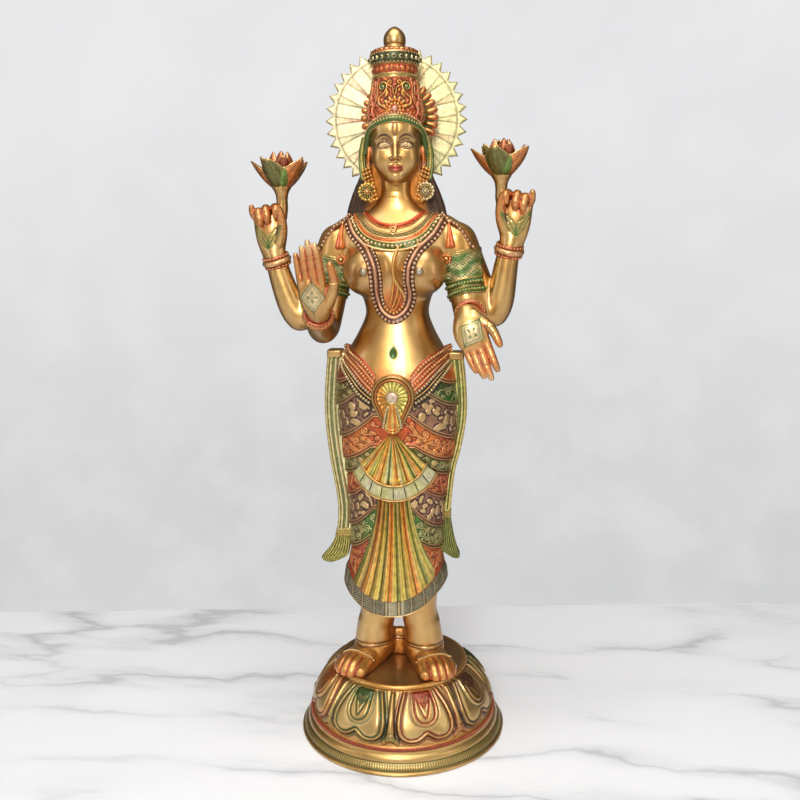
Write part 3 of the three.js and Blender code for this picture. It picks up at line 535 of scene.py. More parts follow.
# Height, half width, front depth, back depth and shift in x.
TORSO = [
    [535, 16, 15, 15, 0.5], [512, 18.5, 15.5, 19, 0], [500, 30, 18, 23, 0], [490, 47, 22, 27, 0],
    [478, 57, 27, 29, 0], [455, 57, 31, 31, 0], [430, 47, 32, 30, 0], [408, 36, 30.5, 28, 0],
    [395, 33.5, 31, 27, 0], [375, 40.5, 35, 30, -0.7], [358, 50, 39, 34, -1.2], [345, 57.5, 42.5, 39, -1.5],
    [325, 62, 47.5, 46, -1.5], [312, 62, 47.5, 46, -1.5],
]
SKIRT = [
    [358, 50, 36, 33, -1], [345, 58, 42, 40, -1.5], [325, 63, 48, 47, -1.5], [300, 65, 51, 50, -1],
    [258, 62, 50.5, 47, 0], [219, 56, 48, 42, -1], [190, 53, 47, 39, -2], [160, 51, 46.5, 37, -3],
    [135, 50, 47, 37, -3.5], [112, 52, 49, 40, -5], [96, 54, 52, 43, -5.5], [68, 55, 54, 44, -5.5],
]


def sections(table, heights):
    """Half width, front, back and shift at each height, by a smooth curve through the table."""
    rows = np.array(table, float)[::-1]
    z = rows[:, 0]
    slopes = np.gradient(rows[:, 1:], z, axis=0)
    heights = np.clip(np.asarray(heights, float), z[0], z[-1])
    i = np.clip(np.searchsorted(z, heights, side="right") - 1, 0, len(z) - 2)
    span = z[i + 1] - z[i]
    t = ((heights - z[i]) / span)[..., None]
    span = span[..., None]
    made = (
        (2 * t**3 - 3 * t**2 + 1) * rows[i, 1:]
        + (t**3 - 2 * t**2 + t) * span * slopes[i]
        + (3 * t**2 - 2 * t**3) * rows[i + 1, 1:]
        + (t**3 - t**2) * span * slopes[i + 1]
    )
    return np.moveaxis(made, -1, 0)


def section_points(table, angle, z, grow=0.0):
    """Points on the table's sections at angles from the front towards +X."""
    half, front, back, shift = sections(table, z)
    depth = np.where(np.cos(angle) > 0, front, back)
    x = shift + (half + grow) * power(np.sin(angle), SECTION_POWER)
    y = -(depth + grow) * power(np.cos(angle), SECTION_POWER)
    return xyz(x, y, z)


# Ornament: strokes drawn with a width, that a surface is raised along


class Ornament:
    """Strokes of varying width on a plane, and the distance from any point to their edge."""

    def __init__(self):
        self.rows = []

    def stroke(self, points, width, spacing=0.5):
        """A line through points. width is a number, or a function of the share along the line."""
        path = smooth_path([[*p, 0] for p in points], spacing)
        share = np.linspace(0, 1, len(path))
        wide = width(share) if callable(width) else np.full(len(path), float(width))
        self.rows.append(np.stack([path[:, 0], path[:, 1], wide], axis=1))
        return self

    def spiral(self, centre, radius, start, turns, width, tail=None):
        """A scroll that winds in from its start angle in degrees, with a tail of points before it."""
        angle = math.radians(start) + np.linspace(0, turns * TAU, max(8, int(abs(turns) * 14)))
        reach = radius * np.linspace(1, 0.12, len(angle))
        curl = np.stack([centre[0] + reach * np.cos(angle), centre[1] + reach * np.sin(angle)], axis=1)
        return self.stroke([*(tail or []), *curl.tolist()], width)

    def distance(self, x, y):
        """Distance from each point to the nearest stroke's edge, below 0 inside it."""
        rows = np.vstack(self.rows)
        tree = KDTree(len(rows))
        for i, row in enumerate(rows):
            tree.insert((row[0], row[1], 0), i)
        tree.balance()
        flat_x, flat_y = np.ravel(x), np.ravel(y)
        made = np.empty(len(flat_x))
        for i in range(len(flat_x)):
            _, nearest, gap = tree.find((flat_x[i], flat_y[i], 0))
            made[i] = gap - rows[nearest, 2]
        return made.reshape(np.shape(x))


def leaf(width):
    """Width along a leaf that swells from a thin stalk and ends in a point."""
    return lambda share: 0.35 + width * np.sin(np.clip(share, 0, 1) ** 0.8 * math.pi) ** 0.8


def oval(width):
    """Width along a stroke that swells into a round-ended petal."""
    return lambda share: 0.3 + width * np.sqrt(np.clip(1 - (2 * share - 1) ** 2, 0, 1))


# Materials


def node(tree, kind, **values):
    made = tree.nodes.new(kind)
    for key, value in values.items():
        if key in made.inputs:
            made.inputs[key].default_value = value
        else:
            setattr(made, key, value)
    return made


def empty_tree(holder):
    """The node tree of a material or world, with nothing in it."""
    holder.use_nodes = True
    holder.node_tree.nodes.clear()
    return holder.node_tree


def parts_of(tree, vector):
    """Sockets for the X, Y and Z of a vector's socket."""
    split = node(tree, "ShaderNodeSeparateXYZ")
    tree.links.new(vector, split.inputs[0])
    return split.outputs


def mix(tree, factor, a, b, kind="RGBA", blend="MIX"):
    """A mix of two sockets or values by a factor socket or value."""
    made = tree.nodes.new("ShaderNodeMix")
    made.data_type = kind
    if kind == "RGBA":
        made.blend_type = blend
    index = {"FLOAT": (0, 2, 3, 0), "RGBA": (0, 6, 7, 2)}[kind]
    for socket, value in zip(index[:3], (factor, a, b)):
        if isinstance(value, bpy.types.NodeSocket):
            tree.links.new(value, made.inputs[socket])
        else:
            made.inputs[socket].default_value = value
    return made.outputs[index[3]]


def math_node(tree, operation, *values, clamp=False):
    made = tree.nodes.new("ShaderNodeMath")
    made.operation = operation
    made.use_clamp = clamp
    for i, value in enumerate(values):
        if isinstance(value, bpy.types.NodeSocket):
            tree.links.new(value, made.inputs[i])
        else:
            made.inputs[i].default_value = value
    return made.outputs[0]


def ramp(tree, value, low, high, to_low=0.0, to_high=1.0):
    made = tree.nodes.new("ShaderNodeMapRange")
    made.interpolation_type = "SMOOTHSTEP"
    tree.links.new(value, made.inputs["Value"])
    for key, number in (("From Min", low), ("From Max", high), ("To Min", to_low), ("To Max", to_high)):
        made.inputs[key].default_value = number
    return made.outputs["Result"]


def noise(tree, coordinates, scale, detail=3.0, stretch=(1, 1, 1)):
    mapping = node(tree, "ShaderNodeMapping")
    mapping.inputs["Scale"].default_value = stretch
    tree.links.new(coordinates, mapping.inputs["Vector"])
    made = node(tree, "ShaderNodeTexNoise", Scale=scale, Detail=detail)
    tree.links.new(mapping.outputs["Vector"], made.inputs["Vector"])
    return made.outputs["Fac"]


def brass(name, light, deep, roughness, coat, bump):
    """Polished cast brass with enamel in its recesses. The enamel thins on ridges and over mottled
    patches. Surfaces that face down or sideways get painted shade, and the deepest recesses hold dark
    tarnish with painted shade."""
    material = bpy.data.materials.new(name)
    tree = empty_tree(material)
    links = tree.links
    shader = node(tree, "ShaderNodeBsdfPrincipled")
    output = node(tree, "ShaderNodeOutputMaterial")
    links.new(shader.outputs[0], output.inputs[0])
    where = node(tree, "ShaderNodeTexCoord").outputs["Object"]
    tint = node(tree, "ShaderNodeAttribute", attribute_name="tint")
    relief = node(tree, "ShaderNodeAttribute", attribute_name="relief").outputs["Fac"]
    grain = node(tree, "ShaderNodeAttribute", attribute_name="grain").outputs["Fac"]

    cloudy = noise(tree, where, 28, 4)
    patchy = noise(tree, where, 190, 4)
    fine = noise(tree, where, 1100, 3)
    brushed = noise(tree, where, 420, 5, (1, 1, 0.07))

    metal = mix(tree, ramp(tree, cloudy, 0.3, 0.7, 0.25, 1.0), (*deep, 1), (*light, 1))
    metal = mix(tree, ramp(tree, patchy, 0.5, 0.8, 0, 0.25), metal, (*deep, 1))
    normal = parts_of(tree, node(tree, "ShaderNodeNewGeometry").outputs["Normal"])
    # Painted shade: surfaces that face down are mixed towards a darker brass.
    under = ramp(tree, normal["Z"], -0.75, 0.2, 0.65, 0)
    metal = mix(tree, under, metal, tuple(0.62 * part for part in deep) + (1,))
    # Painted shade: surfaces that face sideways, along X, are mixed towards a darker brass, as the dark sides
    # of a lit form.
    painted_side_shade = ramp(tree, math_node(tree, "ABSOLUTE", normal["X"]), 0.5, 0.98, 0, 0.6)
    metal = mix(tree, painted_side_shade, metal, tuple(0.8 * part for part in deep) + (1,))

    bare = ramp(tree, relief, 0.6, 0.92, 0, 0.86)
    rubbed = math_node(tree, "MULTIPLY", bare, ramp(tree, patchy, 0.3, 0.6, 0.75, 1.1), clamp=True)
    kept = math_node(tree, "SUBTRACT", 1.0, rubbed)
    uneven = ramp(tree, fine, 0.3, 0.7, 0.90, 1.06)
    amount = math_node(tree, "MULTIPLY", tint.outputs["Alpha"], kept)
    amount = math_node(tree, "MULTIPLY", amount, uneven, clamp=True)
    shade = ramp(tree, patchy, 0.3, 0.7, 0.70, 1.12)
    colour = mix(tree, 1.0, tint.outputs["Color"], shade, blend="MULTIPLY")
    colour = mix(tree, amount, metal, colour)

    # Dark tarnish and painted shade: the lowest relief, in recesses and creases, is mixed towards near black.
    tarnish_and_shade = ramp(tree, relief, 0.04, 0.40, 0.92, 0)
    colour = mix(tree, tarnish_and_shade, colour, (0.035, 0.02, 0.01, 1))
    links.new(colour, shader.inputs["Base Color"])

    dull = math_node(tree, "MULTIPLY", amount, 0.06)
    dull = math_node(tree, "ADD", dull, math_node(tree, "MULTIPLY", tarnish_and_shade, 0.2))
    dull = math_node(tree, "ADD", dull, ramp(tree, brushed, 0.35, 0.65, 0, 0.05))
    dull = math_node(tree, "ADD", dull, ramp(tree, cloudy, 0.3, 0.7, 0, 0.05))
    links.new(math_node(tree, "ADD", dull, roughness), shader.inputs["Roughness"])
    solid = math_node(tree, "MULTIPLY", amount, -0.32)
    links.new(math_node(tree, "ADD", solid, 1.0), shader.inputs["Metallic"])
    shader.inputs["Coat Weight"].default_value = coat
    shader.inputs["Coat Roughness"].default_value = 0.12

    pebbles = node(tree, "ShaderNodeTexVoronoi", Scale=900.0)
    links.new(where, pebbles.inputs["Vector"])
    chased = math_node(tree, "MULTIPLY", pebbles.outputs["Distance"], grain)
    height = math_node(tree, "ADD", math_node(tree, "MULTIPLY", fine, 0.35), chased)
    height = math_node(tree, "ADD", height, math_node(tree, "MULTIPLY", patchy, 0.5))
    lifted = node(tree, "ShaderNodeBump", Strength=bump, Distance=0.0006)
    links.new(height, lifted.inputs["Height"])
    links.new(lifted.outputs["Normal"], shader.inputs["Normal"])
    return material


# Camera, lights and stage


CAMERA = (0.1246, -0.9462, 0.5495)
CAMERA_TURN = 7.5
CAMERA_PITCH = 10.18
CAMERA_ROLL = 0.74
FLOOR_DEPTH = 1.276
FOCAL = 39.96


def facing(turn, pitch=0.0):
    """The unit vector a camera looks along, from its turn round the object and its pitch down."""
    turn, pitch = math.radians(turn), math.radians(pitch)
    return Vector(
        (-math.sin(turn) * math.cos(pitch), math.cos(turn) * math.cos(pitch), -math.sin(pitch))
    )


def camera():
    """The camera, placed and turned as solved, with its slight roll."""
    data = bpy.data.cameras.new("camera")
    data.lens, data.sensor_width, data.shift_x = FOCAL, 36, 0.0015
    made = placed("camera", data)
    forward = facing(CAMERA_TURN, CAMERA_PITCH)
    right = forward.cross(Vector((0, 0, 1))).normalized()
    up = right.cross(forward)
    cos, sin = math.cos(math.radians(CAMERA_ROLL)), math.sin(math.radians(CAMERA_ROLL))
    axes = Matrix((right * cos - up * sin, up * cos + right * sin, -forward)).transposed()
    made.matrix_world = Matrix.Translation(CAMERA) @ axes.to_4x4()
    bpy.context.scene.camera = made
    bpy.context.scene.view_settings.view_transform = "Standard"


def area_light(name, place, target, size, power, colour=(1, 1, 1)):
    data = bpy.data.lights.new(name, "AREA")
    data.shape, data.size, data.size_y = "RECTANGLE", size[0], size[1]
    data.energy, data.color = power, colour
    made = placed(name, data)
    made.location = place
    aim = Vector(target) - Vector(place)
    made.rotation_euler = aim.to_track_quat("-Z", "Y").to_euler()


def lights():
    """The window, the ceiling and two faint side lights, in a dim room."""
    area_light("window", (0.0, -1.9, 1.35), (0, 0, 0.38), (0.5, 0.9), 21, (1.0, 0.985, 0.955))
    area_light("ceiling", (0.0, -0.5, 2.0), (0, 0, 0.35), (1.3, 1.1), 17, (1.0, 0.99, 0.97))
    area_light("side_left", (-1.6, -0.9, 0.9), (0, 0, 0.42), (0.35, 1.3), 3, (0.97, 0.98, 1.0))
    area_light("side_right", (1.5, -0.9, 0.9), (0, 0, 0.42), (0.3, 1.3), 3, (1.0, 0.96, 0.9))

    world = bpy.data.worlds.new("room")
    bpy.context.scene.world = world
    tree = empty_tree(world)
    output = node(tree, "ShaderNodeOutputWorld")
    background = node(tree, "ShaderNodeBackground", Strength=1.0)
    tree.links.new(background.outputs[0], output.inputs[0])
    way = parts_of(tree, node(tree, "ShaderNodeTexCoord").outputs["Generated"])
    height = ramp(tree, way["Z"], -0.5, 0.9)
    sky = mix(tree, height, (0.30, 0.27, 0.23, 1), (0.52, 0.51, 0.49, 1))
    behind = ramp(tree, way["Y"], -0.55, 0.35)
    sky = mix(tree, behind, sky, (0.13, 0.11, 0.09, 1))
    tree.links.new(sky, background.inputs["Color"])


def marble():
    """Polished white marble with soft grey veins."""
    material = bpy.data.materials.new("white_marble")
    material.use_nodes = True
    tree = material.node_tree
    shader = tree.nodes["Principled BSDF"]
    where = node(tree, "ShaderNodeTexCoord").outputs["Object"]
    warp = node(tree, "ShaderNodeTexNoise", Scale=2.6, Detail=5.0)
    tree.links.new(where, warp.inputs["Vector"])
    bent = mix(tree, 0.16, where, warp.outputs["Color"])
    mapping = node(tree, "ShaderNodeMapping")
    mapping.inputs["Scale"].default_value = (0.8, 3.4, 1.0)
    mapping.inputs["Rotation"].default_value = (0, 0, 0.5)
    tree.links.new(bent, mapping.inputs["Vector"])
    veins = noise(tree, mapping.outputs["Vector"], 2.7, 7)
    ridge = math_node(tree, "ABSOLUTE", math_node(tree, "SUBTRACT", veins, 0.5))
    thin = ramp(tree, ridge, 0.0, 0.022, 1, 0)
    wide = ramp(tree, ridge, 0.0, 0.085, 1, 0)
    fading = ramp(tree, noise(tree, where, 3.1, 3), 0.38, 0.62, 0.12, 1)
    soft = math_node(tree, "MULTIPLY", math_node(tree, "MULTIPLY", wide, fading), 0.62)
    colour = mix(tree, soft, (0.915, 0.93, 0.965, 1), (0.64, 0.655, 0.685, 1))
    strong = math_node(tree, "MULTIPLY", math_node(tree, "MULTIPLY", thin, fading), 0.5)
    colour = mix(tree, strong, colour, (0.46, 0.47, 0.50, 1))
    tree.links.new(colour, shader.inputs["Base Color"])
    tree.links.new(colour, shader.inputs["Emission Color"])
    shader.inputs["Emission Strength"].default_value = 0.13
    shader.inputs["Roughness"].default_value = 0.32
    shader.inputs["Specular IOR Level"].default_value = 0.35
    return material


def wall_paint():
    """A pale painted wall that only shows itself, with the light falling off downwards."""
    material = bpy.data.materials.new("pale_wall")
    tree = empty_tree(material)
    output = node(tree, "ShaderNodeOutputMaterial")
    glow = node(tree, "ShaderNodeEmission", Strength=1.0)
    tree.links.new(glow.outputs[0], output.inputs[0])
    where = node(tree, "ShaderNodeTexCoord").outputs["Object"]
    height = ramp(tree, parts_of(tree, where)["Z"], -1.6, 1.6)
    colour = mix(tree, height, (0.63, 0.635, 0.64, 1), (0.81, 0.815, 0.825, 1))
    cloudy = noise(tree, where, 0.9, 4)
    colour = mix(tree, ramp(tree, cloudy, 0.35, 0.65, 0, 0.30), colour, (0.72, 0.72, 0.735, 1))
    smoky = noise(tree, where, 2.3, 6)
    colour = mix(tree, ramp(tree, smoky, 0.40, 0.70, 0, 0.22), colour, (0.88, 0.88, 0.89, 1))
    tree.links.new(colour, glow.inputs["Color"])
    return material


def plain_mesh(name, points, faces, material):
    mesh = bpy.data.meshes.new(name)
    mesh.from_pydata(points, [], faces)
    mesh.materials.append(material)
    return placed(name, mesh)


def stage():
    """A marble top that ends a little behind the figure, and the wall far behind it."""
    forward = facing(CAMERA_TURN)
    side = Vector((forward.y, -forward.x, 0))
    edge = Vector((CAMERA[0], CAMERA[1], 0)) + forward * FLOOR_DEPTH
    corners = [edge + side * 4, edge - side * 4, edge - side * 4 - forward * 4, edge + side * 4 - forward * 4]
    floor = plain_mesh("floor", corners, [(0, 1, 2, 3)], marble())
    around, reach = 64, 5.0
    ring = [(math.sin(TAU * i / around), math.cos(TAU * i / around)) for i in range(around)]
    points = [(reach * x, reach * y, z) for z in (-5, 6) for x, y in ring]
    faces = [(i, (i + 1) % around, (i + 1) % around + around, i + around) for i in range(around)]
    wall = plain_mesh("wall", points, faces, wall_paint())
    wall.visible_diffuse = wall.visible_glossy = wall.visible_shadow = False


# The base, in true millimetres from the floor up


BASE_RADIUS = 116
BASE_TOP = 80
DOME_FOOT = 25
DOME_TOP = 74
DOME_ARC = 62
SECTOR_MM = 77
PETAL_COLOURS = [RED, PURPLE, GREEN, RED, ORANGE, PURPLE, ORANGE, GREEN]
BUD_COLOURS = [GREEN, RED, PURPLE, GREEN, ORANGE, RED, BROWN, OLIVE]


def dome_radius(share):
    return 73 + 30 * np.cos(math.pi / 2 * np.clip(share, 0, 1)) ** 0.8


def mirrored(points):
    """A line and its mirror image across x = 0, joined where it ends."""
    return [*points, *[(-x, y) for x, y in points[::-1][1 if points[-1][0] == 0 else 0 :]]]


PETAL_EDGE = mirrored(
    [(-22, 62), (-26, 52), (-29, 40), (-30, 27), (-27.5, 15), (-20, 8.5), (-11, 8.5), (-5, 12.5), (0, 16.5)]
)
PETAL_HEART = mirrored([(-13, 62), (-14.5, 46), (-12.5, 35), (-7, 28.5), (0, 26.5)])
PETAL_TONGUE = mirrored([(-9, 56), (-5, 45), (0, 34)])


def inside_line(points, x, y):
    """1 where a point is inside the closed line."""
    path = np.asarray(smooth_path([[*p, 0] for p in points], 1.0))[:, :2]
    flat_x, flat_y = np.ravel(x), np.ravel(y)
    crossed = np.zeros(len(flat_x), bool)
    for a, b in zip(path, np.roll(path, -1, axis=0)):
        between = (a[1] > flat_y) != (b[1] > flat_y)
        if between.any():
            where = a[0] + (flat_y - a[1]) / ((b[1] - a[1]) or 1e-9) * (b[0] - a[0])
            crossed ^= between & (flat_x < where)
    return crossed.reshape(np.shape(x))


def deeper(colour):
    return tuple(0.62 * part for part in colour)


def base_petal(x, y):
    """Relief, polish and paint masks of one sector of the dome at x across and y up, in mm."""
    edge = Ornament().stroke(PETAL_EDGE, 0).distance(x, y)
    heart = Ornament().stroke(PETAL_HEART, 0).distance(x, y)
    tongue = Ornament().stroke(PETAL_TONGUE, 0).distance(x, y)
    within_edge = np.where(inside_line(PETAL_EDGE, x, y), edge, -edge)
    within_heart = np.where(inside_line(PETAL_HEART, x, y), heart, -heart)
    within_tongue = np.where(inside_line(PETAL_TONGUE, x, y), tongue, -tongue)
    lift = 2.1 * smoothstep(-3.6, -0.4, within_edge) + 1.1 * smoothstep(1.5, 7, within_edge)
    lift += 1.0 * smoothstep(-2.0, 0.3, within_heart) + 0.9 * smoothstep(1.0, 5, within_heart)
    lift += 0.7 * bump_at(edge, 0, 1.3) + 0.6 * bump_at(heart, 0, 1.2)
    lines = bump_at(edge, 2.6, 1.15) + bump_at(heart, 2.5, 1.1) + bump_at(tongue, 0, 1.1)
    lines += 0.8 * bump_at(within_edge, -5.4, 0.8)
    strands = Ornament()
    for i in range(-4, 5):
        strands.stroke([(i * 0.7, 43 + abs(i) * 1.4), (i * 1.9, 52), (i * 3.0, 58)], 0)
    hatch = bump_at(strands.distance(x, y), 0, 0.5) * (within_tongue > 0.8)
    crown_strands = Ornament()
    for i in range(-9, 10):
        crown_strands.stroke([(i * 1.3, 61.5), (i * 1.45, 56.5 - (i % 2) * 1.8)], 0)
    hatch = np.maximum(hatch, bump_at(crown_strands.distance(x, y), 0, 0.5))
    lines = np.clip(lines + hatch, 0, 1)
    bud_x = SECTOR_MM / 2 - np.abs(x)
    bud_half = 2.0 + 3.2 * (1 - y / DOME_ARC) ** 2
    lift += (2.2 * smoothstep(bud_half + 1.6, bud_half - 0.6, bud_x) + 0.8 * bump_at(bud_x, 0, 1.6)) * (
        smoothstep(5.0, 9.0, y)
    )
    foot_leaf = Ornament().stroke([(1.0, 17), (4.8, 10), (7.6, 2.5)], leaf(4.2)).distance(bud_x, y)
    lift += 1.4 * smoothstep(0.6, -1.2, foot_leaf)
    bud_lines = bump_at(bud_x - bud_half - 1.4, 0, 0.85) * smoothstep(11, 15, y)
    bud_lines += bump_at(foot_leaf, 0.2, 0.6)
    ribs = 0.5 + 0.5 * np.cos((y - 1.6 * bud_x) * TAU / 2.1)
    bud_lines += smoothstep(0.0, -0.8, foot_leaf) * ribs * 0.9
    bud_lines = np.clip(bud_lines, 0, 1)
    wash = smoothstep(46, 60, y) * smoothstep(-1, 3, within_edge) * 0.75
    wash += 0.4 * smoothstep(36, 54, y) * smoothstep(0, 2, within_heart)
    face = smoothstep(3.5, 6.0, within_edge) * (1 - smoothstep(-2, 0.5, within_heart))
    outer = smoothstep(0.5, -2.5, within_edge) * smoothstep(3.5, 0.0, np.abs(within_edge + 2.5)) * 0.25
    return lift, lines, bud_lines, np.clip(wash + outer, 0, 1), face


def base_row_heights():
    """Profile rows of the base below and above its dome: radius and height."""
    lower = [
        (0, 0), (80, 0), (112.5, 0), (114.6, 0.15), (115.6, 0.7), (116, 1.7), (115.9, 2.7), (115.2, 3.6),
        (114.2, 4.1), (113.4, 4.2), (113.1, 4.6), (113.4, 5.4), (113.2, 6.6), (112.5, 8.0), (111.6, 9.4),
        (110.6, 10.6), (109.6, 11.3), (108.8, 11.5), (108.6, 11.9), (108.9, 12.6), (108.8, 14.2),
        (108.2, 15.8), (107.4, 17.2), (106.8, 18.0), (106.1, 18.3), (105.4, 18.6), (105.0, 19.6),
        (104.7, 20.8), (104.9, 22.6), (104.9, 24.4), (104.2, 25.6),
    ]
    upper = [
        (73.2, 74.2), (73.5, 74.8), (74.0, 75.6), (74.3, 76.6), (74.2, 77.8), (73.6, 78.9), (72.6, 79.6),
        (71.4, 79.9), (69.8, 79.8), (68.6, 79.3), (67.2, 79.2), (60, 79.4), (50, 79.5), (40, 79.6), (0, 79.6),
    ]
    return lower, upper


# Rows of the base's outline: the milled rim, the red band and the seam between them
MILLED_ROWS = slice(10, 16)
RED_ROWS = slice(27, 30)
SEAM_ROWS = slice(24, 26)
BASE_BEADS = 228
BEAD_RING_RADIUS = 104.6
BEAD_RING_Z = 24.6


def lotus_base(materials):
    """The round base: its turned outline, the dome with eight petals, and the ring of beads."""
    columns_each, dome_rows = 96, 62
    columns = columns_each * 8
    angle = ring_angles(columns)
    share = np.linspace(0, 1, dome_rows)
    x = ((np.arange(columns_each) + 0.5) / columns_each - 0.5) * SECTOR_MM
    grid_x, grid_y = np.meshgrid(x, share * DOME_ARC)
    lift, lines, bud_lines, wash, face = (np.tile(part, (1, 8)) for part in base_petal(grid_x, grid_y))
    fade = smoothstep(0, 0.035, share) * smoothstep(1.0, 0.965, share)
    lift, lines, bud_lines = (part * fade[:, None] for part in (lift - 0.9 * lines, lines, bud_lines))
    lift -= 0.5 * bud_lines
    radius = dome_radius(share)[:, None] - 1.1 + lift * 0.9
    height = (DOME_FOOT + 0.8 + (DOME_TOP - DOME_FOOT - 1.0) * share)[:, None] + lift * 0.4
    lower, upper = base_row_heights()
    parts = [(np.full(columns, r), np.full(columns, z)) for r, z in lower[1:]]
    milled = (np.arange(columns) % 3 == 0).astype(float)
    for i in range(10, 17):
        parts[i - 1] = (parts[i - 1][0] - 0.55 * milled, parts[i - 1][1])
    first = len(parts)
    parts += [(radius[i], height[i]) for i in range(dome_rows)]
    last = len(parts)
    parts += [(np.full(columns, r), np.full(columns, z)) for r, z in upper[:-1]]
    radii, heights = (np.stack(column) for column in zip(*parts))
    surface = about_axis(radii, angle, heights)

    rows = len(parts)
    coat = Coat(rows * columns, 0.66)
    relief = coat.relief.reshape(rows, columns)

    def paint(span, strength, colour, amount):
        whole = np.zeros((rows, columns))
        whole[span] = strength
        coat.lay(whole, colour, amount)

    dome = slice(first, last)
    sector = np.repeat(np.arange(8), columns_each)
    bud = ((np.arange(columns) + columns_each // 2) // columns_each) % 8
    relief[dome] = np.clip(0.66 - 0.46 * lines - 0.28 * bud_lines + 0.06 * (lift - 2), 0.05, 0.85)
    petal_paint = np.clip(lines * 1.3 + wash * 0.75, 0, 1)
    for i in range(8):
        paint(dome, petal_paint * (sector == i), deeper(PETAL_COLOURS[i]), 0.97)
        paint(dome, bud_lines * (bud == i), deeper(BUD_COLOURS[i]), 0.97)
    paint(dome, face, (0.80, 0.64, 0.29), 0.36)
    paint(MILLED_ROWS, 0.25 + 0.75 * milled, (0.06, 0.12, 0.02), 0.85)
    for edge_row in (MILLED_ROWS.start - 1, MILLED_ROWS.stop):
        paint(slice(edge_row, edge_row + 2), 1, (0.02, 0.08, 0.015), 0.95)
    relief[9:17] -= 0.2 * milled
    relief[8:10] = relief[16:18] = 0.25
    paint(RED_ROWS, 1, (0.36, 0.03, 0.015), 0.9)
    relief[RED_ROWS] = 0.22
    relief[SEAM_ROWS] = 0.35
    relief[first - 1 : first + 1] = 0.55
    paint(slice(first, first + 10), np.linspace(0.8, 0, 10)[:, None], (0.80, 0.30, 0.04), 0.5)
    paint(slice(last + 9, None), 1, (0.17, 0.085, 0.035), 0.7)
    relief[last : last + 9] = 0.72
    paint(slice(last, last + 8), 1, (0.86, 0.36, 0.04), 0.5)
    relief[last + 9 : last + 11] = 0.35
    relief[0:7] = 0.75
    build = Build()
    add_surface(build, surface, coat)
    centres = about_axis(BEAD_RING_RADIUS, ring_angles(BASE_BEADS), BEAD_RING_Z)
    add_beads(build, centres, 1.5, (0.42, 0.03, 0.02), 0.85, 0.62)
    stretch = np.array([base_high.x / BASE_RADIUS, base_high.x / BASE_RADIUS, base_high.z / BASE_TOP])
    build.piece(
        "lotus_base_cast", materials["base"], 86000, "lotus_base", "base_brass", lambda p: p * stretch
    )


# Halo


HALO_RADIUS = 76
HALO_TEETH = 36
TOOTH_DEPTH = 8.5
HALO_RAYS = 18
HEAD_TURN = 6
HEAD_CENTRE = np.array([1.0, -4.0, 0.0])
HALO_CENTRE_Z = 595
HALO_HOLE = 4.3


def to_head_frame(points):
    """Points of the head's own frame, turned to their place on the neck."""
    cos, sin = math.cos(math.radians(HEAD_TURN)), math.sin(math.radians(HEAD_TURN))
    points = np.asarray(points, float)
    x, y, z = points[..., 0], points[..., 1], points[..., 2]
    return xyz(x * cos - y * sin, x * sin + y * cos, z) + HEAD_CENTRE


def halo_front(radius, angle, edge, rim):
    """Engraved lines and faint squiggles of the halo's front, and whether a ray is the pink kind."""
    ray = np.abs((angle * HALO_RAYS / TAU) % 1 - 0.5)
    spread = 0.02 + 0.17 * np.clip((radius - 30) / 34, 0, 1)
    ray_line = bump_at((ray - spread) * TAU / HALO_RAYS * radius, 0, 0.6) * (radius < 64) * (radius > 30)
    circle = bump_at(radius - 64.5, 0, 0.8)
    border = bump_at(radius - (edge - 1.3), 0, 0.9) * (radius > rim - 0.5)
    engraved = np.clip(0.75 * ray_line + circle + border, 0, 1)
    across = ((angle * HALO_RAYS / TAU) % 1 - 0.5) * TAU / HALO_RAYS * radius
    wave = 0.62 * spread * TAU / HALO_RAYS * radius * np.sin(radius * 0.95)
    squiggle = bump_at(across - wave, 0, 0.55) + 0.8 * bump_at(across + wave, 0, 0.5)
    squiggle = np.clip(squiggle, 0, 1) * (radius < 62.5) * (radius > 33)
    return engraved, squiggle, (np.floor(angle * HALO_RAYS / TAU) % 2).astype(bool)


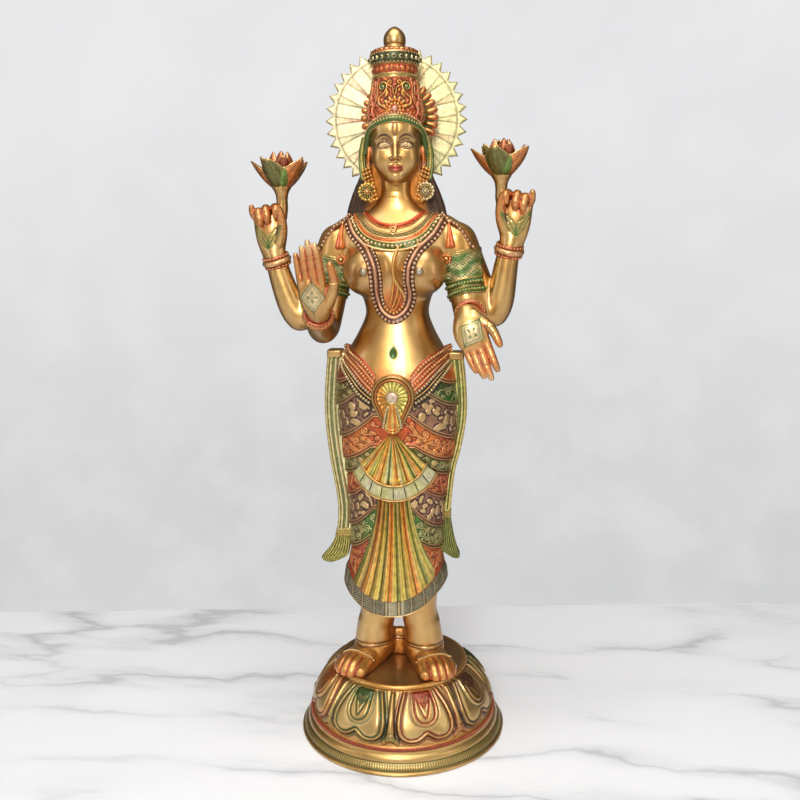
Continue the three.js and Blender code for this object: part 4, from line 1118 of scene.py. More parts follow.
def halo_plate(materials):
    """The toothed plate: an engraved front, a plain back, and the two edges between them."""
    columns = HALO_TEETH * 14
    turn = ring_angles(columns)
    tooth = np.abs((turn * HALO_TEETH / TAU + 0.5) % 1 - 0.5) * 2
    edge = HALO_RADIUS - TOOTH_DEPTH * tooth**0.85
    rim = HALO_RADIUS - TOOTH_DEPTH
    thickness = 2.5
    build = Build()
    counts = []
    for back in (False, True):
        shares = np.linspace(HALO_HOLE, rim, 3)
        if not back:
            shares = np.concatenate([np.linspace(HALO_HOLE, 28, 8), np.linspace(30, rim, 32)])
        outer = rim + (edge - rim) * (np.ones((1, 1)) if back else np.linspace(0.2, 1, 6)[:, None])
        radius = np.vstack([np.repeat(shares[:, None], columns, 1), outer])
        angle = np.broadcast_to(turn, radius.shape)
        engraved, squiggle, pink = halo_front(radius, angle, edge, rim)
        depth = np.zeros(radius.shape)
        depth[-1] = 0.35
        y = thickness - depth if back else depth + 0.3 * engraved
        surface = xyz(radius * np.sin(angle), y, radius * np.cos(angle))
        coat = Coat(y.size, 0.72)
        left = smoothstep(20, -30, surface[..., 0])
        coat.lay(1, (0.74, 0.62, 0.38), 0.8)
        coat.lay((1 - left) * 0.6, (0.70, 0.70, 0.20), 0.5)
        if not back:
            coat.relief -= (0.46 * engraved + 0.22 * squiggle).ravel()
            coat.lay(squiggle * pink, (0.50, 0.13, 0.08), 0.85)
            coat.lay(squiggle * ~pink, (0.16, 0.20, 0.05), 0.7)
            coat.lay(engraved, (0.12, 0.10, 0.04), 0.9)
        faces = grid_faces(len(surface), columns)
        build.add(surface, [faces[:, ::-1] if back else faces], coat)
        counts.append(len(radius) * columns)
    ring = np.arange(columns)
    following = (ring + 1) % columns
    front_count, back_count = counts
    for first, second, flip in (
        (front_count - columns, front_count + back_count - columns, False), (0, front_count, True),
    ):
        quad = np.stack([ring + first, following + first, following + second, ring + second], axis=1)
        build.faces.append(quad[:, ::-1] if flip else quad)
    low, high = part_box("halo")
    centre_z = (low.z + high.z) / 2
    turned = np.radians(HEAD_TURN)
    half_wide = HALO_RADIUS * math.cos(turned) + thickness * math.sin(turned)
    scale = (high.x - low.x) / (2 * half_wide - thickness * math.sin(turned)) / MM
    front_y = 31.3

    def place(points):
        moved = points * scale
        moved[:, 1] += front_y * SHARE / MM
        cos, sin = math.cos(turned), math.sin(turned)
        out = np.stack(
            [moved[:, 0] * cos - moved[:, 1] * sin, moved[:, 0] * sin + moved[:, 1] * cos, moved[:, 2]], 1
        )
        out[:, :2] += HEAD_CENTRE[:2] * SHARE / MM
        out = out * MM
        out[:, 2] += centre_z
        return out

    build.piece("halo_plate", materials["halo"], None, "halo", "halo_brass", place)


# Skirt


FOLDS = [
    (319, 9, 45), (295, 16, 38), (260, 29, 18), (236, 20, 21), (221, 9, 38), (195, 16, 29), (161, 27, 19),
    (137, 18, 23),
]
# Ground of each band from the top, left and right
BAND_COLOURS = [
    ((0.34, 0.06, 0.035), ORANGE), (OLIVE, GREEN), ((0.34, 0.17, 0.10), (0.36, 0.17, 0.115)),
    (ORANGE, ORANGE), (OLIVE, OLIVE), (RED, RED), ((0.31, 0.14, 0.085), (0.32, 0.145, 0.10)),
    (OLIVE, OLIVE), (RED, ORANGE),
]
# Wash over the ground of each band
BAND_WASHES = [RED, BROWN, BROWN, RED, LEAF, ORANGE, BROWN, GREEN, ORANGE]
HEM_FRONT, HEM_SIDE, HEM_BACK = 69, 97, 84
HEM_BAND = 20
SKIRT_TOP = 358
# Half width and half depth of the oval that the cloth's relief stands out from
SKIRT_HALF, SKIRT_DEPTH = 60, 50


def hem_at(angle):
    centre = np.where(np.cos(angle) > 0, HEM_FRONT, HEM_BACK)
    return HEM_SIDE + (centre - HEM_SIDE) * np.abs(np.cos(angle)) ** 2.2


def fold_at(fold, angle):
    """Height of a fold's lower edge at an angle from the front."""
    edge, rise, inner = fold
    half = sections(SKIRT, np.array([edge], float))[0][0]
    x = half * np.abs(np.sin(angle)) ** SECTION_POWER
    share = np.clip((half - x) / (half - inner), 0, 1)
    share = share - 0.12 * np.sin(share * math.pi)
    return edge + rise * share * np.where(np.cos(angle) > 0, 1, 0.35)


def around_arc(angle):
    """Distance round the hip from the front's middle at an angle, in mm."""
    full = np.linspace(-math.pi, math.pi, 1441)
    ring = section_points(SKIRT, full, 250.0)
    steps = np.linalg.norm(np.diff(ring, axis=0), axis=1)
    length = np.concatenate([[0], np.cumsum(steps)])
    return np.interp(angle, full, length - length[720])


class Band:
    """Places on one side of a band of the skirt, on a plane of mm round the hip and mm up."""

    def __init__(self, arcs, top, low, side):
        self.arcs, self.top, self.low, self.side = arcs, top, low, side

    def at(self, u, v):
        """The place u mm round from the front's middle and v up from the lower edge to the upper."""
        s = self.side * u
        top, low = np.interp(s, self.arcs, self.top), np.interp(s, self.arcs, self.low)
        return float(s), float(low + 4.0 + v * (top - low - 5.2))

    def scroll(self, pattern, u, v, radius, start, turns, tail=(), width=0.5):
        """A spiral fed by a tail of places. Its start and turns are those of the right side."""
        if self.side < 0:
            start, turns = 180 - start, -turns
        pattern.spiral(self.at(u, v), radius, start, turns, width, [self.at(*p) for p in tail])

    def petal(self, pattern, u, v, length, wide, turn):
        """A round-ended petal of that size in mm, turned from level in degrees."""
        s, z = self.at(u, v)
        turn = math.radians(turn)
        dx, dz = math.cos(turn) * self.side * length / 2, math.sin(turn) * length / 2
        bend = 0.12 * length
        places = [(s - dx, z - dz), (s - bend * dz / length, z + bend), (s + dx, z + dz)]
        pattern.stroke(places, oval(wide * 0.56))


# Scrolls as mm round, share up, radius, start angle, turns and tail, and petals as mm round, share up,
# length, width and turn, for each band and side that shows in front
SCROLLS = {
    (1, 1): [(60, 0.55, 5.0, 150, -1.5, [(46, 0.1), (50, 0.5)]), (74, 0.4, 4.5, 150, -1.4, [(64, 0.1)])],
    (3, 1): [
        (60, 0.40, 6.4, 200, -1.8, [(12, 0.86), (22, 0.52), (31, 0.20), (44, 0.12)]),
        (33, 0.78, 4.2, 250, 1.4, [(20, 0.72), (27, 0.52)]), (46, 0.70, 3.8, 250, 1.3, [(38, 0.42)]),
        (73, 0.70, 4.0, 200, -1.3, [(66, 0.9)]), (76, 0.24, 3.6, 100, 1.2, [(66, 0.06)]),
    ],
    (3, -1): [
        (40, 0.58, 4.8, 220, 1.5, [(24, 0.10), (32, 0.16)]), (29, 0.80, 4.4, 260, 1.5, [(18, 0.45)]),
        (56, 0.30, 5.4, 150, -1.6, [(34, 0.04), (42, 0.10)]), (70, 0.60, 4.6, 200, 1.4, [(62, 0.9)]),
    ],
    (5, 1): [(48, 0.55, 7.0, 190, -1.9, [(30, 0.9), (36, 0.5)]), (66, 0.4, 5.2, 160, 1.5, [(58, 0.9)])],
    (5, -1): [(45, 0.50, 6.2, 190, -1.8, [(32, 0.85)]), (62, 0.45, 5.2, 190, -1.5, [(54, 0.9)])],
    (7, 1): [
        (24, 0.74, 4.2, 260, 1.6, [(20, 0.30)]),
        (39, 0.42, 5.6, 120, -1.7, [(16, 0.14), (24, 0.40), (31, 0.55)]),
        (52, 0.30, 4.2, 200, 1.4, [(46, 0.75)]), (66, 0.55, 4.6, 200, -1.5, [(58, 0.15)]),
    ],
    (7, -1): [
        (25, 0.76, 4.0, 260, 1.6, [(21, 0.35)]), (33, 0.36, 4.8, 120, -1.6, [(22, 0.06), (27, 0.2)]),
        (48, 0.34, 4.6, 160, 1.5, [(38, 0.86), (42, 0.6)]), (63, 0.5, 4.6, 200, -1.5, [(55, 0.15)]),
    ],
    (8, 1): [(38, 0.55, 5.6, 190, -1.6, [(26, 0.95)]), (54, 0.5, 5.6, 160, 1.5, [(46, 0.1)])],
    (8, -1): [(44, 0.5, 5.0, 190, -1.5, [(34, 0.9)]), (58, 0.5, 5.0, 160, 1.4, [(50, 0.1)])],
}
PETALS = {
    (2, 1): [
        (38, 0.60, 11, 7, 60), (44, 0.62, 9, 5.5, -35), (33, 0.66, 8, 5, 150), (57, 0.52, 12, 7.5, 70),
        (49, 0.14, 16, 5.5, 8), (30, 0.22, 9, 6, 70), (41, 0.93, 7, 3.6, 10), (68, 0.5, 12, 7, 60),
        (26, 0.72, 7, 5, 100),
    ],
    (2, -1): [
        (43, 0.76, 10.5, 6.5, 15), (32, 0.88, 8, 5.5, -20), (28, 0.60, 11, 7.5, 5), (40, 0.46, 10, 6.5, -10),
        (50, 0.36, 9, 4.5, 80), (38, 0.12, 15, 5.5, 14), (56, 0.66, 9, 3.6, 70), (66, 0.4, 11, 6.5, 40),
    ],
    (4, 1): [(46, 0.5, 8, 5, 0), (62, 0.5, 9, 5, 10)],
    (4, -1): [(38, 0.5, 8, 5, 10), (52, 0.5, 9, 4, 10)],
    (6, 1): [
        (27, 0.24, 9, 6.5, 60), (35, 0.62, 9, 3.6, 60), (40, 0.44, 8, 3.6, 20), (46, 0.72, 9, 4.2, -30),
        (52, 0.40, 9, 4.4, 60), (37, 0.20, 8, 3.6, -20), (48, 0.16, 9, 4.8, 20), (60, 0.5, 11, 6, 60),
        (30, 0.84, 8, 4, 10),
    ],
    (6, -1): [
        (36, 0.34, 13, 5.5, 10), (42, 0.78, 10, 5, -30), (32, 0.72, 8, 3.4, 40), (47, 0.52, 8, 4, 70),
        (52, 0.2, 9, 4.4, 20), (28, 0.5, 8, 3.4, 60), (60, 0.6, 11, 6, 60), (38, 0.08, 9, 3.6, 0),
    ],
}


def generic_spots(first, height):
    """Places along the rest of a band, round to the back's middle."""
    step = max(11.0, height * 0.85)
    return [(u, i) for i, u in enumerate(np.arange(first, 186 - step / 2, step))]


def clear_spots(taken, height, first, last):
    """Places in a band, as mm round and share up, that lie clear of the ones already taken."""
    found = []
    for k, u in enumerate(np.arange(first, last, 3.1)):
        v = (0.2, 0.8, 0.5)[k % 3]
        if all(math.hypot(u - a, (v - b) * height) > 6.6 for a, b in taken + found):
            found.append((float(u), v))
    return found


def skirt_pattern():
    """Strokes of every band of the skirt, on a plane of mm round the hip and mm up."""
    pattern = Ornament()
    table = np.linspace(-math.pi, math.pi, 721)
    arcs = around_arc(table)
    edges = [np.full(table.shape, 352.0), *[fold_at(fold, table) for fold in FOLDS], hem_at(table) + HEM_BAND]
    for i in range(1, 9):
        height = float(np.median((edges[i] - edges[i + 1])[np.abs(arcs) < 60]))
        for side in (-1, 1):
            band = Band(arcs, edges[i], edges[i + 1], side)
            for u, v, radius, start, turns, tail in SCROLLS.get((i, side), ()):
                band.scroll(pattern, u, v, radius, start, turns, tail)
            for u, v, length, wide, turn in PETALS.get((i, side), ()):
                band.petal(pattern, u, v, length, wide, turn)
            chosen = [*SCROLLS.get((i, side), ()), *PETALS.get((i, side), ())]
            taken = [spot[:2] for spot in chosen]
            shown = 84 if i < 4 else 76
            for k, (u, v) in enumerate(clear_spots(taken, height, 16, shown)):
                turns = 1.35 if k % 2 else -1.35
                if i in (2, 6):
                    band.petal(pattern, u, v, 5.6, 2.0, 47 * k)
                else:
                    band.scroll(pattern, u, v, 2.7, 200 + 50 * k, turns, [(u - 5.5, v - 0.12)], 0.4)
            for u, k in generic_spots(shown, height):
                if i in (2, 6):
                    for turn in (20, 140, 260):
                        way = math.radians(turn + 40 * k)
                        spread = height * 0.2
                        place = (u + spread * math.cos(way), 0.5 + 0.22 * math.sin(way))
                        band.petal(pattern, *place, height * 0.34, height * 0.2, turn + 40 * k)
                else:
                    up = 1 if k % 2 else -1
                    size = min(height * 0.28, 6.5)
                    tail = [(u - 12, 0.5 + 0.42 * up), (u - 7, 0.5 + 0.1 * up)]
                    band.scroll(pattern, u, 0.5, size, 180 + 50 * up, 1.5 * up, tail)
    return pattern


# Middle line of the hip belt: distance from the figure's middle, and height
BELT_LINE = ((15, 30.5, 42, 54, 62), (318, 331, 341, 348, 351))


def skirt_way(angle):
    """The way out of the skirt at each angle, level and of length 1."""
    return unit(xyz(np.sin(angle) / SKIRT_HALF, -np.cos(angle) / SKIRT_DEPTH, 0))


def skirt_surface(angles, rows, pattern):
    """Grid of the skirt's cloth at the angles given, from the hips to the hem's border, with paint."""
    share = np.linspace(0, 1, rows)[:, None]
    angle = np.broadcast_to(angles, (rows, len(angles)))
    bottom = hem_at(angle) + HEM_BAND - 1.2
    z = SKIRT_TOP + (bottom - SKIRT_TOP) * share
    edges = [fold_at(fold, angle) for fold in FOLDS]
    band = sum((z < edge).astype(int) for edge in edges)
    tops = np.stack([np.full(z.shape, float(SKIRT_TOP)), *edges])
    bottoms = np.stack([*edges, bottom])
    top = np.take_along_axis(tops, band[None], 0)[0]
    low = np.take_along_axis(bottoms, band[None], 0)[0]
    drop = (top - z) / np.maximum(top - low, 1)
    arc = around_arc(angle)
    gap = pattern.distance(arc, z)
    from_low = z - low
    from_top = top - z
    ridged = (band < 8) * (low > 90)
    edge_ridge = (bump_at(from_low, 0.8, 0.8) + bump_at(from_low, 3.7, 0.75)) * ridged
    edge_cut = bump_at(from_low, 2.25, 0.62) * ridged
    inside = smoothstep(4.6, 5.4, from_low) * smoothstep(0.6, 1.6, from_top) * (band > 0)
    inside = np.where(band == 8, smoothstep(0.6, 1.6, from_top), inside)
    stroke = smoothstep(0.5, -0.35, gap) * inside
    blobs = np.isin(band, (2, 6))
    groove = np.where(blobs, bump_at(gap, 1.1, 0.95), bump_at(gap, 0.95, 0.6)) * inside
    flat = section_points(SKIRT, angle, z)
    belt_z = np.where(np.cos(angle) > 0, np.interp(np.abs(flat[..., 0]), *BELT_LINE), 352)
    bare = smoothstep(-1.5, 2.5, z - belt_z)
    ribs = 0.5 + 0.5 * np.cos((arc * 0.8 + z) * TAU / 2.6)
    lift = 0.3 + 2.1 * drop**1.4 + 0.9 * edge_ridge + 0.85 * stroke - 0.5 * groove - 0.8 * edge_cut
    lift -= 0.5 * bump_at(from_top, 0.5, 0.8) * (band > 0)
    lift += 0.3 * ribs * (band == 0) * (angle < 0)
    belt_foot = np.interp(np.abs(flat[..., 0]), *zip(*BELT_LOW[::-1]))
    lift = lerp(lift, 0.0, smoothstep(-1.5, 1.0, z - belt_foot) * (np.cos(angle) > 0))
    lift = lerp(lift, -3.0, bare)
    surface = flat + skirt_way(angle) * lift[..., None]
    coat = Coat(z.size, 0.42)
    ground = 0.44 + 0.05 * np.sin(arc * 0.9) * np.sin(z * 1.1)
    shine = ground + 0.45 * np.clip(edge_ridge, 0, 1) + 0.40 * stroke - 0.36 * groove
    # Just under each fold's edge the relief is low, so the material darkens that strip with tarnish and
    # painted shade under the fold.
    shine -= 0.40 * edge_cut + 0.30 * bump_at(from_top, 0.3, 0.9) * (band > 0)
    coat.polish(shine, 0.04, 0.95)
    coat.grain = (inside * (1 - stroke)).ravel()
    right = smoothstep(-6, 6, arc)
    varied = 0.5 + 0.5 * np.sin(arc * 0.16 + z * 0.13) * np.sin(z * 0.07 + arc * 0.05 + 1)
    outer = smoothstep(36, 66, np.abs(arc))
    inner = smoothstep(34, 18, np.abs(arc))
    for i, (left_colour, right_colour) in enumerate(BAND_COLOURS):
        mask = (band == i).astype(float)
        coat.lay(mask * (1 - right), left_colour, 0.95)
        coat.lay(mask * right, right_colour, 0.95)
        coat.lay(mask * varied, BAND_WASHES[i], 0.30)
    warm = np.isin(band, (3, 5, 8))
    coat.lay(outer * warm * (0.4 + 0.6 * varied), RED, 0.8)
    coat.lay(inner * (band == 3), RED, 0.5)
    coat.lay((1 - outer) * (1 - inner) * warm * varied, AMBER, 0.35)
    coat.lay((band == 7) * smoothstep(46, 30, np.abs(arc)), (0.03, 0.22, 0.03), 0.7)
    coat.lay((band == 4) * right * varied, GREEN, 0.5)
    coat.lay((band == 1) * right * bump_at(z, 306, 5), (0.03, 0.24, 0.03), 0.6)
    coat.lay(stroke * np.isin(band, (2, 6)), (0.74, 0.54, 0.30), 0.8)
    coat.lay(groove * np.isin(band, (2, 6)), (0.06, 0.015, 0.02), 0.9)
    coat.lay((band == 2) * smoothstep(34, 26, np.abs(arc)) * (1 - stroke), (0.10, 0.025, 0.035), 0.3)
    coat.lay(stroke * warm, (0.86, 0.40, 0.12), 0.5)
    coat.lay(stroke * np.isin(band, (1, 4, 7)), (0.62, 0.60, 0.28), 0.6)
    coat.lay(np.clip(edge_ridge, 0, 1), ROSE, 0.65)
    coat.lay(edge_cut, (0.06, 0.018, 0.012), 0.8)
    return surface, coat


def skirt(materials):
    """The cloth of the skirt in two pieces, front and back."""
    pattern = skirt_pattern()
    join = math.radians(97)
    front = np.linspace(-join, join, 460)
    back = np.linspace(join, TAU - join, 190)
    for name, angles, rows, most in (("skirt_front", front, 380, 152000), ("skirt_back", back, 200, 33000)):
        wrapped = (angles + math.pi) % TAU - math.pi
        surface, coat = skirt_surface(wrapped, rows, pattern)
        build = Build()
        build.add(surface, [grid_faces(rows, len(angles), wrap=False)[:, ::-1]], coat)
        build.piece(name, materials["enamel"], most)


HEM_PANEL = 15.0
HATCH = 2.7


def hem(materials):
    """The stepped border round the skirt's foot, of dark cross-hatched panels between light ribs."""
    columns, rows = 700, 44
    angle = (ring_angles(columns) + math.pi) % TAU - math.pi
    order = np.sort(angle)
    angle = np.broadcast_to(order, (rows, columns))
    share = np.linspace(0, 1, rows)[:, None]
    up = (1 - share) * HEM_BAND * np.ones((1, columns))
    z = hem_at(angle) + up
    arc = around_arc(angle)
    panel = (arc / HEM_PANEL + 0.28) % 1
    rib = np.minimum(panel, 1 - panel) * HEM_PANEL
    crossed = [np.abs(line / HATCH % 1 - 0.5) for line in (arc + up, arc - up)]
    hatch = np.minimum(*crossed) * HATCH
    inner = smoothstep(2.2, 3.0, up) * smoothstep(HEM_BAND - 2.2, HEM_BAND - 3.0, up)
    ribs = smoothstep(1.0, 0.4, rib) * inner
    lines = bump_at(up, 1.1, 0.6) + bump_at(up, HEM_BAND - 1.2, 0.6)
    cut = bump_at(hatch, 0, 0.40) * inner * (1 - ribs)
    tuck = bump_at(rib, 1.6, 0.6) * inner
    grow = 1.5 + 0.7 * ribs + 0.6 * lines + 0.5 * cut - 0.5 * tuck
    pleat = 0.5 * np.cos((panel - 0.5) * TAU)
    grow = grow + 0.6 * pleat * inner + 2.4 * np.sin(angle) ** 2 * smoothstep(0, 9, HEM_BAND - up)
    rounded = np.concatenate([[-2.5, -0.6], np.zeros(rows - 4), [-0.5, -2.2]])[:, None]
    flat = section_points(SKIRT, angle, z)
    surface = flat + skirt_way(angle) * (grow + rounded)[..., None]
    coat = Coat(z.size, 0.42)
    centre = smoothstep(12.5, 10.5, np.abs(arc - 5)) * inner
    shine = 0.24 + 0.34 * centre + 0.55 * ribs + 0.5 * lines - 0.3 * tuck
    shine += np.where(centre > 0.5, -0.4, 0.34) * cut
    coat.polish(shine, 0.04, 0.95)
    coat.lay(inner * (1 - centre), INK, 0.97)
    coat.lay(centre, SILVER, 0.6)
    coat.lay(cut * (1 - centre), (0.62, 0.54, 0.32), 0.7)
    coat.lay((cut + tuck) * centre, INK, 0.85)
    coat.lay((1 - inner) * (1 - np.clip(lines, 0, 1)), INK, 0.8)
    coat.lay(ribs, SILVER, 0.3)
    build = Build()
    faces = grid_faces(rows, columns)
    build.add(surface, [faces[:, ::-1]], coat)
    # Painted shade: a sheet under the hem closes the skirt from below, laid dark brown with low relief.
    inner_ring = surface[-1] * np.array([0.80, 0.80, 1]) + np.array([0, 0, 3.0])
    deep_ring = surface[-1] * np.array([0.05, 0.05, 0]) + np.array([0, 0, 100.0])
    shade_sheet_points = np.stack([surface[-1], inner_ring, deep_ring])
    shade_sheet_coat = Coat(3 * columns, 0.2).lay(1, BROWN, 0.7)
    build.add(shade_sheet_points, [grid_faces(3, columns)[:, ::-1]], shade_sheet_coat)
    build.piece("skirt_hem", materials["enamel"], 44000)


# The body


ARM_POINTS = {
    "front_right": [
        [-62, 2, 468, 19], [-69, 1, 430, 17], [-75, -4, 396, 16], [-78, -14, 378, 15.5],
        [-77, -38, 386, 13.5], [-73, -62, 399, 10],
    ],
    "front_left": [
        [62, 2, 468, 19], [68, 1, 436, 17], [74, -4, 408, 16], [78, -14, 392, 15.5], [80, -38, 394, 13.5],
        [81, -62, 394, 10.5],
    ],
    "rear_right": [
        [-66, 8, 466, 18], [-84, 9, 430, 16.5], [-103, 6, 391, 16], [-115, 3, 398, 14.5],
        [-127, 0, 432, 11.8], [-133, -1, 460, 10],
    ],
    "rear_left": [
        [66, 8, 466, 18], [81, 9, 430, 16.5], [97, 6, 394, 16], [108, 3, 404, 14.5], [115, 0, 442, 11.8],
        [120, -1, 468, 10],
    ],
}
BREAST = {"x": 28.6, "y": -20, "z": 438.2, "radius": 26}
BODY_STEP = 1.3
NAVEL = (0, 355.5)


# Height of the belt's upper edge at distances from the figure's middle
BELT_TOP = ((16, 18, 30.5, 41.5, 53.5, 62), (337, 330, 344, 352, 359, 366))


def body(materials):
    """The bare trunk and arms, with the navel. Returns a tree that finds places on them."""
    field = Field((-152, -80, 306), (142, 48, 537), BODY_STEP)
    field.loft(TORSO, 0)
    x, y, z, radius = BREAST.values()
    for side in (-1, 1):
        field.ball((side * x, y, z), (radius, radius, radius), 7)
        field.ball((side * x, y - radius + 0.6, z), (6.0, 1.6, 6.0), 1.0)
        field.ball((side * x, y - radius - 0.8, z), (3.7, 3.4, 3.7), 0.3)
        field.ball((side * 33, 4, 486), (30, 15, 13), 9)
    for arm in ARM_POINTS.values():
        field.limb(arm, 8, 7, inner=2.5)
    field.ball((NAVEL[0], -41.5, NAVEL[1] - 0.6), (3.4, 3.0, 5.6), 1.5, cut=True)
    points, quads = field.surface()
    points = evened(points, quads, 3)
    coat = Coat(len(points), 0.62)
    normals = point_normals(points, quads)
    px, _, pz = points.T
    front = smoothstep(0.1, -0.4, normals[:, 1])
    up = (pz - NAVEL[1]) / 7.7
    navel = np.hypot((px - NAVEL[0]) / (4.6 * lerp(1, 0.35, np.clip(up, 0, 1))), up)
    coat.lay(smoothstep(1.1, 0.9, navel) * front, GREEN, 0.97)
    coat.relief -= 0.35 * smoothstep(0.6, 0.3, navel) * front
    ringed = np.hypot(np.abs(px) - BREAST["x"], pz - BREAST["z"])
    # Painted shade: the fronts of the breasts are laid with a darker brown.
    coat.lay(smoothstep(26, 8, ringed) * front, (0.46, 0.25, 0.085), 0.5)
    coat.lay(smoothstep(3.6, 3.0, ringed) * front, (0.50, 0.50, 0.42), 0.8)
    coat.relief -= 0.5 * bump_at(ringed, 4.4, 0.7) * front
    coat.relief += 0.25 * bump_at(ringed, 6.0, 0.8) * front
    warm = smoothstep(470, 500, pz) + smoothstep(46, 60, np.abs(px)) * smoothstep(430, 460, pz)
    coat.lay(np.clip(warm, 0, 1), AMBER, 0.28)
    # Enamel wash and painted shade round the armpits, between chest and arms.
    armpit_wash_and_shade = bump_at(np.hypot(np.abs(px) - 56, pz - 438), 0, 15)
    coat.lay(armpit_wash_and_shade, (0.62, 0.22, 0.04), 0.4)
    fan = smoothstep(428, 408, pz) * smoothstep(388, 396, pz) * smoothstep(13, 9, np.abs(px - 1))
    coat.lay(fan * front, (0.70, 0.16, 0.02), 0.8)
    above_belt = pz - np.interp(np.abs(px), *BELT_TOP)
    coat.lay(smoothstep(3, -1, above_belt) * front, (0.62, 0.12, 0.03), 0.5)
    folds = bump_at(pz + 0.10 * px, 512, 0.7) + bump_at(pz + 0.07 * px, 519, 0.7)
    folds *= front * smoothstep(17, 12, np.abs(px))
    coat.relief -= 0.22 * folds
    build = Build().add(engraved(points, normals, folds, 0.5), [quads], coat)
    build.piece("body_skin", materials["skin"], 72000)
    return BVHTree.FromPolygons(points.tolist(), quads.tolist())


# Cloth and metal on the skirt's front


def front_y(table, x, z):
    """The front surface of a table of sections at x and z."""
    half, front, _, shift = sections(table, np.asarray(z, float))
    share = np.clip(np.abs(np.asarray(x, float) - shift) / half, 0, 1)
    return -front * (1 - share ** (2 / SECTION_POWER)) ** (SECTION_POWER / 2)


PEPLUM = {"apex": 275, "angle": 43.5, "reach": 77, "side": 67, "border": 18}
PEPLUM_FLUTES = 9
PEPLUM_PANELS = 8
PLEATS = {"top": 222, "top_half": 16, "foot_half": 46}
PLEAT_FLUTES = 9
PEPLUM_STRIPES = [
    AMBER, LIME, GREEN, ORANGE, AMBER, YELLOW, GREEN, LIME, YELLOW, ORANGE, AMBER, ORANGE, YELLOW, LIME, PALE,
    GREEN, PALE, YELLOW, AMBER, ORANGE, YELLOW, PALE, GREEN, YELLOW, RED, AMBER, YELLOW, GREEN, LIME, RED,
    ORANGE, AMBER, GREEN, LIME, YELLOW, OLIVE,
]
PLEAT_STRIPES = [
    GREEN, BROWN, ORANGE, AMBER, OLIVE, YELLOW, INK, AMBER, ORANGE, YELLOW, GREEN, YELLOW, OLIVE, AMBER,
    ORANGE, YELLOW, GREEN, LIME,
]


def closed_sheet(front, drop):
    """A sheet's front grid with its edges turned back by drop in y, so that no edge shows hollow."""
    back = np.array([0, drop, 0])
    side = back * 0.999
    tall = np.concatenate([front[:1] + back, front, front[-1:] + back])
    return np.concatenate([tall[:, :1] + side, tall, tall[:, -1:] + side], axis=1)


def padded_coat(coat, rows, columns):
    """A grid's coat repeated over the turned edges of its sheet."""
    made = Coat((rows + 2) * (columns + 2))
    pad = ((1, 1), (1, 1))
    made.tint = np.pad(coat.tint.reshape(rows, columns, 4), (*pad, (0, 0)), mode="edge").reshape(-1, 4)
    made.relief = np.pad(coat.relief.reshape(rows, columns), pad, mode="edge").ravel()
    made.grain = np.pad(coat.grain.reshape(rows, columns), pad, mode="edge").ravel()
    return made


def add_sheet(build, front, coat, drop=6.0):
    rows, columns = front.shape[:2]
    sheet = closed_sheet(front, drop)
    faces = grid_faces(rows + 2, columns + 2, wrap=False)
    build.add(sheet, [faces], padded_coat(coat, rows, columns))


def stripes(coat, share, colours, amount=0.85):
    """Lays the colours side by side across the share from 0 to 1."""
    index = np.clip((share * len(colours)).astype(int), 0, len(colours) - 1)
    for i, colour in enumerate(colours):
        coat.lay(index == i, tuple(min(1.0, 1.3 * part) for part in colour), amount)


def flutes(share, count, sharp=0.8):
    """Height from 0 in the furrows to 1 on the ridges of that many flutes."""
    return (0.5 - 0.5 * np.cos(share * count * TAU)) ** sharp


